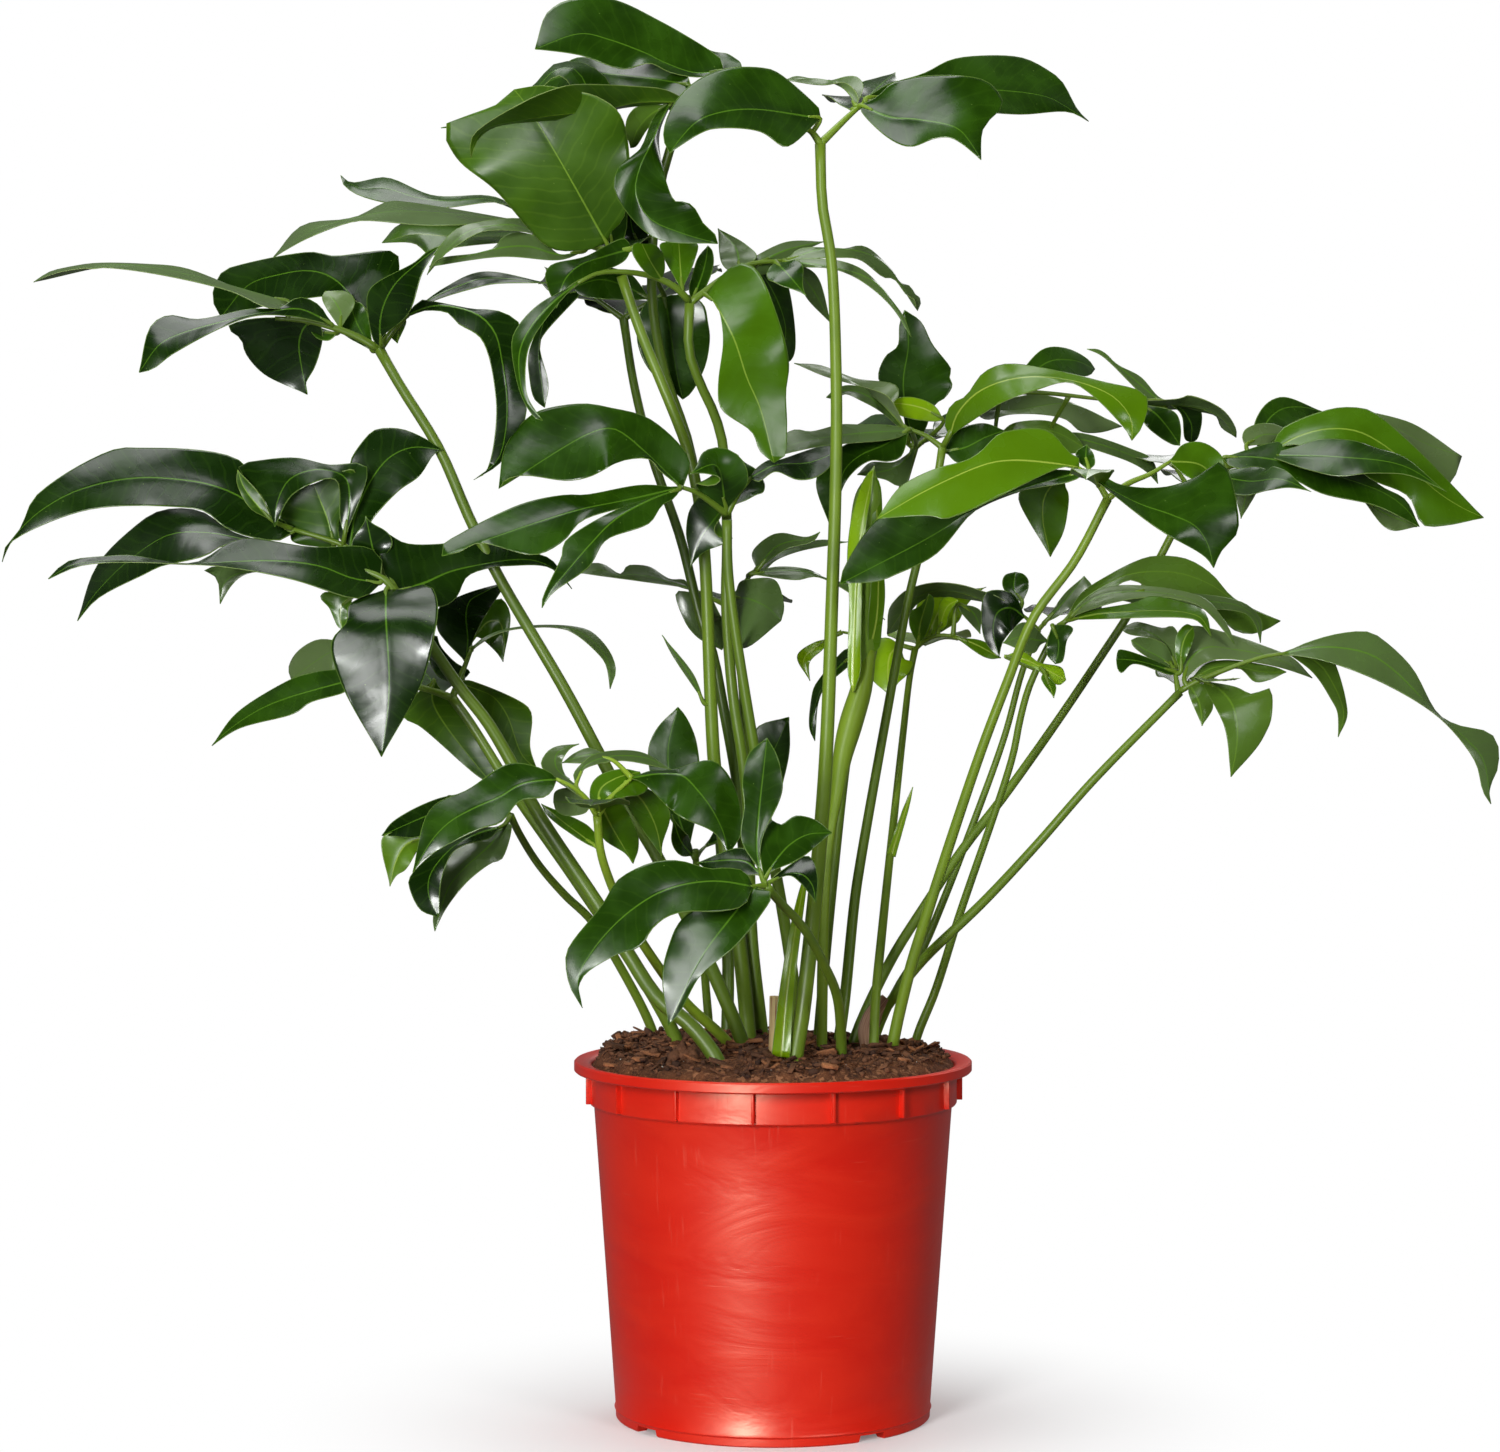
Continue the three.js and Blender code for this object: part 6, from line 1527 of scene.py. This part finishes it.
          (815, 741, 154)], 29, (-0.3, -1, 0.2), "plain", ([(848, 648), (817, 682), (813, 690), (809, 720),
          (810, 731)], [(851, 663), (822, 692)])),
        ([(900, 645, 124), (890, 655, 114), (888, 680, 108), (893, 700, 106)], 31, (0, -1, 0.1)),
        ([(920, 645, 120), (930, 634, 180), (925, 646, 240)], 53, UP),
        ([(891, 856, 38), (913, 787, 44)], 6, FRONT, "sheath"),
        ([(955, 637, 104), (972, 643, 100), (1001, 658, 96)], 20, (0, -1, 0.5), "bright", ([(985, 642)],
          [(982, 656), (991, 659)])),
    ],
},
"low_bright": {
    "girth": (3.6, 2.4),
    "stalk": [(731, 1049, 10), (686, 1004, -8), (645, 948, -40), (620, 905, -66), (609, 880, -80),
          (600, 850, -94), (597, 816, -100)],
    "arms": [
        [(597, 816, -100), (585, 798, -104), (572, 787, -108), (556, 779, -110)],
        [(597, 816, -100), (610, 798, -96), (632, 778, -92)],
    ],
    "leaves": [
        ([(556, 780, -110), (540, 781, -113), (520, 785, -116), (500, 797, -120), (475, 808, -124),
          (450, 822, -127), (432, 840, -129), (412, 873, -132)], 46, (0, -1, 0.9), ([(552, 774), (530, 765),
          (512, 763), (500, 767), (467, 790), (438, 802), (428, 812), (422, 825)], [(553, 789), (545, 797),
          (520, 801), (500, 823), (480, 829), (422, 861)])),
        ([(632, 778, -92), (660, 774, -102), (682, 776, -106), (697, 790, -110), (712, 810, -113),
          (724, 835, -115), (728, 856, -116)], 55, (0, -1, 0.7), ([(650, 771), (670, 770), (710, 760),
          (720, 765), (735, 787), (742, 820), (741, 835)], [(645, 785), (677, 815), (715, 834)])),
        ([(598, 812, -99), (600, 790, -94), (615, 779, -91), (640, 772, -86)],
          24, (0, -1, 0.5), "fresh", ([(590, 800), (591, 785), (600, 775), (622, 769)], [(622, 798),
          (640, 795), (648, 788)])),
        ([(602, 808, -98), (612, 828, -82), (633, 864, -76)], 48, (0, -1, 0.2), "fresh", ([(597, 820),
          (599, 832), (605, 841), (625, 854)], [(620, 803), (633, 823), (638, 835), (638, 850)])),
        ([(626, 783, -92), (645, 805, -76), (656, 828, -71), (662, 858, -68)],
          34, (0, -1, 0.2), "fresh", ([(625, 800)], [(650, 790), (670, 812), (662, 846)])),
        ([(590, 806, -102), (578, 803, -90), (553, 802, -82)], 41, (0, -1, 0.2), "pale", ([(572, 789),
          (560, 789), (554, 793)], [(585, 813), (565, 816), (556, 811)])),
        ([(590, 804, -103), (575, 785, -92), (556, 768, -82), (556, 755, -79), (566, 748, -77),
          (579, 744, -74)], 19, FRONT_UP, "grey", ([(541, 766), (545, 754), (555, 747)], [(565, 775),
          (562, 762), (570, 749)])),
        ([(576, 784, -96), (583, 768, -90), (600, 759, -84), (625, 756, -78), (648, 759, -74),
          (672, 770, -70)], 22, FRONT_UP, "grey", ([(573, 775), (580, 765), (595, 754), (640, 752)],
          [(580, 772), (617, 761)])),
        ([(600, 810, -100), (596, 800, -150), (590, 806, -190)], 36, UP),
        ([(612, 760, -84), (590, 755, -80), (562, 763, -78)], 24, FRONT_UP, "grey", ([(590, 748),
          (575, 753)], [(605, 763)])),
        ([(597, 848, -72), (560, 820, -58), (541, 804, -54)], 30, FRONT_LOW, "fresh", ([(597, 838),
          (588, 826)], [(588, 845), (555, 823), (545, 813)])),
    ],
},
"low_left": {
    "girth": (3.2, 2.2),
    "stalk": [(653, 1035, 66), (615, 959, 50), (590, 920, 38), (565, 896, 24), (539, 866, 4),
          (520, 836, -18), (510, 816, -30)],
    "arms": [
        [(510, 816, -30), (500, 808, -30), (488, 806, -28)],
        [(510, 816, -30), (505, 824, -38), (498, 828, -46)],
    ],
    "leaves": [
        ([(490, 806, -28), (460, 806, -20), (430, 815, -13), (381, 836, -8)],
          46, (-0.3, -1, 0.6), "dark", ([(470, 795), (440, 798), (392, 822)], [(470, 815), (440, 822),
          (420, 837)])),
        ([(506, 822, -36), (490, 845, -46), (468, 865, -49), (450, 885, -52), (440, 910, -54),
          (434, 932, -56)], 50, (-0.2, -1, 0.4), "grey", ([(487, 838), (453, 848), (438, 890), (432, 922)],
          [(511, 823), (501, 860), (492, 863), (467, 882), (445, 910)])),
        ([(498, 828, -46), (475, 835, -63), (450, 850, -72), (430, 875, -77), (428, 895, -78),
          (438, 918, -80)], 38, (-0.4, -1, 0.5), "dark", ([(480, 828), (455, 840), (425, 860), (408, 880),
          (409, 890), (420, 911)], [(490, 838), (465, 845), (452, 853), (441, 880)])),
        ([(500, 808, -30), (480, 800, 30), (465, 808, 85)], 46, UP),
        ([(424, 836, -8), (405, 845, -8), (395, 862, -8), (389, 887, -8)],
          40, (0, 1, 0.4), "fresh", ([(390, 833), (381, 839)], [(405, 870), (396, 876)])),
    ],
},
"low_front": {
    "girth": (3.4, 2.4),
    "stalk": [(842, 1060, -46), (838, 1000, -74), (824, 965, -98), (804, 929, -126), (774, 896, -155),
          (766, 886, -160)],
    "arms": [
        [(766, 886, -160), (762, 878, -156), (760, 870, -152)],
        [(766, 886, -160), (750, 887, -168)],
    ],
    "leaves": [
        ([(752, 887, -168), (720, 882, -175), (690, 884, -180), (662, 892, -184), (635, 908, -188),
          (612, 928, -191), (592, 952, -193), (578, 978, -195), (582, 1009, -196)], 70, (0, -1, 0.9),
          ([(745, 872), (725, 868), (710, 869), (680, 861), (660, 861), (645, 865), (617, 881), (602, 905),
          (570, 945), (565, 957), (569, 987)], [(745, 905), (720, 912), (687, 912), (670, 916), (660, 922),
          (650, 932), (645, 942), (635, 950), (620, 954), (585, 975), (579, 985), (577, 997)])),
        ([(756, 887, -166), (728, 922, -182), (708, 948, -187), (692, 975, -189), (668, 1027, -192)],
          60, (0, -1, 0.5), ([(688, 914), (677, 926), (670, 942), (662, 975)], [(772, 894), (760, 917),
          (735, 947), (700, 977), (680, 1013)])),
        ([(760, 871, -152), (757, 845, -147), (767, 738, -132)], 31, (0, -1, 0.1), ([(741, 840), (744, 805),
          (742, 785), (744, 767), (750, 752)], [(762, 840), (780, 800), (783, 785), (777, 755)])),
        ([(764, 880, -156), (775, 862, -148), (790, 845, -141), (808, 835, -137), (832, 833, -134)],
          41, (0, -1, 0.7), ([(760, 850), (765, 830), (772, 820), (780, 825), (795, 816), (807, 817),
          (817, 821)], [(770, 873), (800, 859)])),
        ([(766, 884, -158), (785, 875, -151), (802, 875, -148), (812, 885, -146), (816, 903, -144)],
          31, FRONT_LOW, "dark", ([(780, 872), (807, 856), (813, 860), (818, 880)], [(790, 876),
          (800, 883)])),
        ([(761, 875, -154), (745, 862, -146), (697, 863, -134)], 22, (0, -1, 0.8), "dark", ([(755, 868),
          (750, 853), (740, 848)], [(725, 876), (712, 873)])),
    ],
},
"low_back": {
    "girth": (3, 2),
    "stalk": [(709, 1032, 72), (705, 980, 66), (695, 850, 40)],
    "arms": [
        [(695, 860, 40), (686, 844, 40)],
        [(695, 860, 40), (700, 852, 50), (706, 846, 62)],
    ],
    "leaves": [
        ([(689, 850, 40), (674, 800, 40), (668, 750, 42), (678, 707, 44)], 36, (0, -1, 0.1), ([(655, 790),
          (648, 750), (657, 728)], [(700, 790), (696, 740), (685, 715)])),
        ([(706, 846, 62), (722, 838, 74), (746, 798, 124), (772, 754, 138), (789, 717, 140)],
          34, (0, -1, 0.2), ([(735, 790), (752, 735), (760, 725)], [(745, 835), (775, 805), (785, 775),
          (790, 748)])),
        ([(692, 856, 40), (680, 840, 20), (672, 815, 8)], 12, FRONT_LOW),
    ],
},
}

VEIN_SPACING = 0.0085
VEIN_SLANT = 0.55
STALK_MARK = 3  # the stalk's place among the frond materials
STALK_SIDES = 16
STALK_TAPER = 0.8
FORK_SWELL = 0.1
ARM_SIDES = 10
ARM_SHARES = (0.82, 0.42)  # an arm's radius at its foot and end, as shares of the stalk's at the fork
STEMLET_RADII = (1.7, 0.9)
STEMLET_INSET = 9  # how far a leaflet's own short stem runs into it, in mm
TOUCHING = 0.8
SHEATH_WIDTHS = (1, 0.9, 0.8, 0.7, 0.6, 0.4, 0.1)


def leaf_masks(tree):
    """What the leaf materials share: the leaf's tone, and how near a point is to midrib, edge and veins."""
    lie = noted(tree, "lie")
    lie_parts = add_node(tree, "ShaderNodeSeparateXYZ", None, Vector=lie).outputs
    share_parts = add_node(tree, "ShaderNodeSeparateXYZ", None, Vector=noted(tree, "share")).outputs
    out = sums(tree, "ABSOLUTE", lie_parts[0])
    inward = sums(tree, "SUBTRACT", 1.0, sums(tree, "ABSOLUTE", share_parts[0]))
    slanted = sums(tree, "SUBTRACT", lie_parts[2], sums(tree, "MULTIPLY", out, VEIN_SLANT))
    wander = sums(tree, "MULTIPLY", mottle(tree, lie, 45.0), 1.2)
    steps = sums(tree, "ADD", sums(tree, "MULTIPLY", slanted, 1 / VEIN_SPACING), wander)
    between = sums(tree, "PINGPONG", steps, 0.5)
    return {
        "tone": noted_colour(tree, "tone"),
        "midrib": ramp(tree, sums(tree, "MULTIPLY_ADD", share_parts[1], 0.0005, out), 0.0004, 0.0009, 1, 0),
        "edge": ramp(tree, sums(tree, "MULTIPLY", inward, share_parts[2]), 0.0003, 0.0007, 1, 0),
        "vein": ramp(tree, between, 0.03, 0.12, 1, 0),
        "between": between,
    }


def leaf_finish(name, dark, light, grey, young, midrib, edge, rough, vein_share):
    material, tree, shader = new_finish(name)
    masks = leaf_masks(tree)
    where = object_place(tree)
    cloud = mottle(tree, where, 38.0, 3.0)
    fine = mottle(tree, where, 1400.0)
    specks = add_node(tree, "ShaderNodeTexVoronoi", None, Vector=where, Scale=130.0).outputs["Distance"]
    # The tone's lightness paints shade and the glow of light through the leaf besides its own green. Its
    # greyness mixes in the grey colour, a painted sheen from the white surround. Its yellowness mixes in
    # young yellow-green, which also paints light through the leaf.
    light_share = sums(tree, "ADD", masks["tone"][0], ramp(tree, cloud, 0.3, 0.7, -0.12, 0.12))
    paint = colours(tree, ramp(tree, light_share, 0, 1), dark, light)
    paint = colours(tree, masks["tone"][1], paint, grey)
    paint = colours(tree, masks["tone"][2], paint, young)
    paint = colours(tree, sums(tree, "MULTIPLY", masks["vein"], vein_share), paint, midrib)
    rib_paint = colours(tree, ramp(tree, masks["tone"][0], 0.5, 0.9), midrib, srgb(176, 198, 78))
    paint = colours(tree, sums(tree, "MULTIPLY", masks["midrib"], 0.75), paint, rib_paint)
    paint = colours(tree, sums(tree, "MULTIPLY", masks["edge"], 0.7), paint, edge)
    paint = colours(tree, ramp(tree, specks, 0.035, 0.06, 0.5, 0), paint, edge)
    quilt = sums(tree, "MULTIPLY", masks["between"], 0.12)
    height = sums(tree, "ADD", quilt, sums(tree, "MULTIPLY", cloud, 1.2))
    height = sums(tree, "ADD", height, sums(tree, "MULTIPLY", fine, 0.02))
    fill(tree, shader, Base_Color=paint, Roughness=ramp(tree, cloud, 0.25, 0.75, rough - 0.05, rough + 0.07),
        IOR=1.45, Specular_IOR_Level=0.36, Normal=relief(tree, height, 0.35, 0.0009))
    return material


def stalk_finish():
    material, tree, shader = new_finish("leaf_stalk_green")
    parts = noted_colour(tree, "tone")
    lie = noted(tree, "lie")
    streaks = drawn_out(tree, lie, (300, 300, 7), 3.0)
    broad = mottle(tree, lie, 26.0)
    # The tone's lightness is the stalk's own green and, on the stalks at the back, painted shade.
    paint = colours(tree, parts[0], srgb(48, 72, 12), srgb(122, 154, 38))
    paint = colours(tree, parts[2], paint, srgb(158, 188, 44))
    paint = colours(tree, ramp(tree, streaks, 0.35, 0.75, 0, 0.22), paint, srgb(140, 168, 66))
    paint = colours(tree, ramp(tree, broad, 0.4, 0.75, 0, 0.3), paint, srgb(48, 84, 22))
    fill(tree, shader, Base_Color=paint, Roughness=ramp(tree, broad, 0.3, 0.7, 0.36, 0.5),
        Specular_IOR_Level=0.3, Normal=relief(tree, broad, 0.3, 0.0006))
    return material


# Each side's colours: the dark and light ends of the lightness, which also paint shade and glow; the grey
# colour, a painted sheen; the young yellow-green, which also paints light through the leaf; midrib; edge.
frond_finishes = [
    leaf_finish("leaf_upper_side", srgb(15, 38, 2), srgb(60, 106, 6), srgb(96, 118, 68), srgb(130, 170, 12),
        srgb(86, 132, 30), srgb(104, 136, 56), 0.24, 0.05),
    leaf_finish("leaf_underside", srgb(46, 80, 6), srgb(88, 132, 12), srgb(104, 122, 82), srgb(142, 180, 20),
        srgb(130, 168, 50), srgb(124, 150, 64), 0.36, 0.1),
    leaf_finish("leaf_edge", srgb(84, 108, 44), srgb(120, 150, 60), srgb(112, 124, 96), srgb(150, 185, 60),
        srgb(150, 184, 70), srgb(140, 160, 90), 0.5, 0.0),
    stalk_finish(),
]
stalk_rod = rod_blank(STALK_SIDES, STALK_LENGTHS)
arm_rod = rod_blank(ARM_SIDES, ARM_LENGTHS)
leaf = leaf_blank()


def grow_rod(gathering, blank, line, radii, tone):
    places, straight = bent_rod(blank, line, radii)
    gathering.add(blank, places * MM, mark=STALK_MARK, tone=tone, lie=straight * MM, share=np.zeros(3))


def grow_leaf(gathering, rib, wide, face, tone, edges, **shape):
    places, lie, share = bent_leaf(leaf, rib, wide, face, edges, **shape)
    gathering.add(leaf, places * MM, tone=(*TONES[tone], 1), lie=lie, share=share)


def rooted(points):
    """A stalk's line goes on into the soil, steeper than above it."""
    down = (points[0] - points[1]) * (0.3, 0.3, 1)
    return [points[0] + down * (ROOT_DEPTH / abs(down[2])), *points]


def grow_stalk(gathering, points, girth, tone):
    line = even_line(rooted(points), STALK_LENGTHS + 1)
    way = np.linspace(0, 1, STALK_LENGTHS + 1)
    radii = girth[0] + (girth[1] - girth[0]) * way**STALK_TAPER
    knot = 1 + FORK_SWELL * np.clip((way - 0.97) / 0.03, 0, 1)
    grow_rod(gathering, stalk_rod, line, radii * knot, tone)


def grow_frond(name, girth, stalk, arms, leaves):
    growing = Gathering()
    tone_name = FROND_TONES.get(name, "plain")
    stem_tone = (*STEM_TONES.get(name, (0.6, 0, 0)), 1)
    points = placed(stalk)
    arm_lines = [placed(arm) for arm in arms]
    grow_stalk(growing, points, girth, stem_tone)
    for arm in arm_lines:
        line = even_line(arm, ARM_LENGTHS + 1)
        radii = np.linspace(girth[1] * ARM_SHARES[0], girth[1] * ARM_SHARES[1], ARM_LENGTHS + 1)
        grow_rod(growing, arm_rod, line, radii, stem_tone)
    for rib, wide, face, *extra in leaves:
        rib = placed(rib)
        tone = next((e for e in extra if isinstance(e, str)), tone_name)
        if tone == "sheath":  # it clings to the stalk's foot and has no stem of its own
            grow_leaf(growing, rib, wide, face, "young", None, widths=SHEATH_WIDTHS)
            continue
        edges = next((e for e in extra if not isinstance(e, str)), None)
        root = nearest_on([points, *arm_lines], rib[0])
        if np.linalg.norm(root - rib[0]) > TOUCHING:
            inside = rib[0] + (rib[1] - rib[0]) * min(1, STEMLET_INSET / np.linalg.norm(rib[1] - rib[0]))
            line = even_line([root, rib[0], inside], ARM_LENGTHS + 1)
            grow_rod(growing, arm_rod, line, np.linspace(*STEMLET_RADII, ARM_LENGTHS + 1), stem_tone)
        grow_leaf(growing, rib, wide, face, tone, edges)
    return growing.piece(name, frond_finishes)


for name, parts in FRONDS.items():
    frond = grow_frond(name, **parts)
    finish_piece(frond, f"leaf_{name}", [f"frond_{name}"])

# The newest leaf: still rolled into a shiny yellow-green spindle, with its outer half lapped over the front.
# It stands on its own stalk, whose upper part widens into a sheath round the leaf's foot.
NEW_STALK = [(822, 1045, -24), (823, 960, -18), (826, 880, -10), (831, 830, -2), (837, 795, 6),
    (843, 755, 13), (852, 720, 18), (861, 690, 21), (869, 650, 23)]
NEW_STALK_RADII = (3.2, 3.2, 3.3, 3.3, 3.1, 3, 3, 3.6, 5.4, 7.2, 6.6, 4.6)
NEW_SPEAR = [(857, 692, 24), (863, 650, 26), (866, 600, 27), (865, 550, 28), (868, 500, 28), (874, 466, 28)]
SPEAR_RADII = (2, 7.5, 9.3, 9.8, 10.1, 10.3, 9.6, 7.8, 0.3)
# The spear and its laps take the young and bright tones. Their light yellow-green is the new leaf's own
# colour and also paints the glow of light through it.
LAPS = [  # (rib, width, upper side, tone, edges)
    ([(853, 692, 12), (854, 640, 13), (857, 580, 14), (863, 520, 16), (874, 467, 24)], 24, (-0.3, -1, 0),
        "young", ([(848, 675), (848, 640), (849, 600), (847, 560), (850, 525), (856, 500), (865, 477)],
        [(860, 675), (861, 640), (862, 600), (863, 560), (867, 520), (872, 490)])),
    ([(868, 655, 20), (876, 620, 18), (878, 580, 18), (877, 530, 19), (875, 475, 26)], 16, (0.5, -1, 0),
        "bright", ([(868, 620), (871, 580), (871, 530), (873, 500)],
        [(878, 650), (882, 625), (885, 595), (882, 550), (882, 510), (880, 485)])),
]
SPEAR_SIDES = 20
rolled = rod_blank(SPEAR_SIDES, STALK_LENGTHS)
growing = Gathering()
way = np.linspace(0, 1, STALK_LENGTHS + 1)
line = even_line(rooted(placed(NEW_STALK)), STALK_LENGTHS + 1)
grow_rod(growing, stalk_rod, line, widths_along(way, NEW_STALK_RADII), (0.75, 0, 0.3, 1))
line = even_line(placed(NEW_SPEAR), STALK_LENGTHS + 1)
places, straight = bent_rod(rolled, line, widths_along(way, SPEAR_RADII))
growing.add(rolled, places * MM, mark=0, tone=(*TONES["young"], 1), lie=straight * MM, share=np.zeros(3))
for rib, wide, face, tone, edges in LAPS:
    grow_leaf(growing, placed(rib), wide, face, tone, edges)
spear = growing.piece("new_leaf_spear", frond_finishes)
finish_piece(spear, "new_leaf_spear", ["new_leaf"])

# The cut stub of an old leaf stalk: dry, split, fibrous tissue, its torn cream side streaked with brown and
# turned to the viewer. It was cut off about 40 mm above the soil and still stands on the crown.
STUB = [(774, 1064, -50), (774.5, 1030, -50), (775, 997, -50)]
STUB_RADIUS = 3.2
stub = Gathering()
line = even_line(rooted(placed(STUB)), STALK_LENGTHS + 1)
places, straight = bent_rod(stalk_rod, line, [STUB_RADIUS] * (STALK_LENGTHS + 1))
stub.add(stalk_rod, places * MM, mark=0, lie=straight * MM)


def streaked_finish(name, scales, low, high, first, second, rough, strength, reach):
    """Two colours in streaks along the piece, with a relief of the same streaks."""
    material, tree, shader = new_finish(name)
    streaks = drawn_out(tree, noted(tree, "lie"), scales, 3.0)
    fill(tree, shader, Base_Color=colours(tree, ramp(tree, streaks, low, high), first, second),
        Roughness=rough, Normal=relief(tree, streaks, strength, reach))
    return material


cut_finish = streaked_finish("dry_cut_stalk", (700, 700, 20), 0.48, 0.68, srgb(232, 208, 142),
    srgb(160, 86, 58), 0.75, 0.6, 0.0005)
cut = stub.piece("cut_stalk_stub", [cut_finish])
finish_piece(cut, "cut_stalk_stub", ["cut_stub"])

# A withered sheath leaf beside the crown: thin, brown, papery tissue, curled and torn at its end. It once
# wrapped a young leaf, and its foot still stands in the soil.
SHEATH = [(870, 1058, 4), (869, 1030, 3), (876, 1012, 4), (886, 998, 6)]
SHEATH_WIDTH = 13
SHEATH_FACE = (0.4, -1, 0)
PAPER_WIDTHS = (0.8, 0.9, 1, 1, 0.9, 0.7, 0.4)
paper_finish = streaked_finish("brown_papery_sheath", (900, 900, 40), 0.3, 0.7, srgb(112, 74, 54),
    srgb(178, 140, 112), 0.85, 0.7, 0.0006)
paper = Gathering()
places, lie, _ = bent_leaf(leaf, placed(SHEATH), SHEATH_WIDTH, SHEATH_FACE, widths=PAPER_WIDTHS)
paper.add(leaf, places * MM, mark=0, lie=lie)
withered = paper.piece("withered_sheath", [paper_finish])
finish_piece(withered, "withered_sheath", ["dry_sheath"])
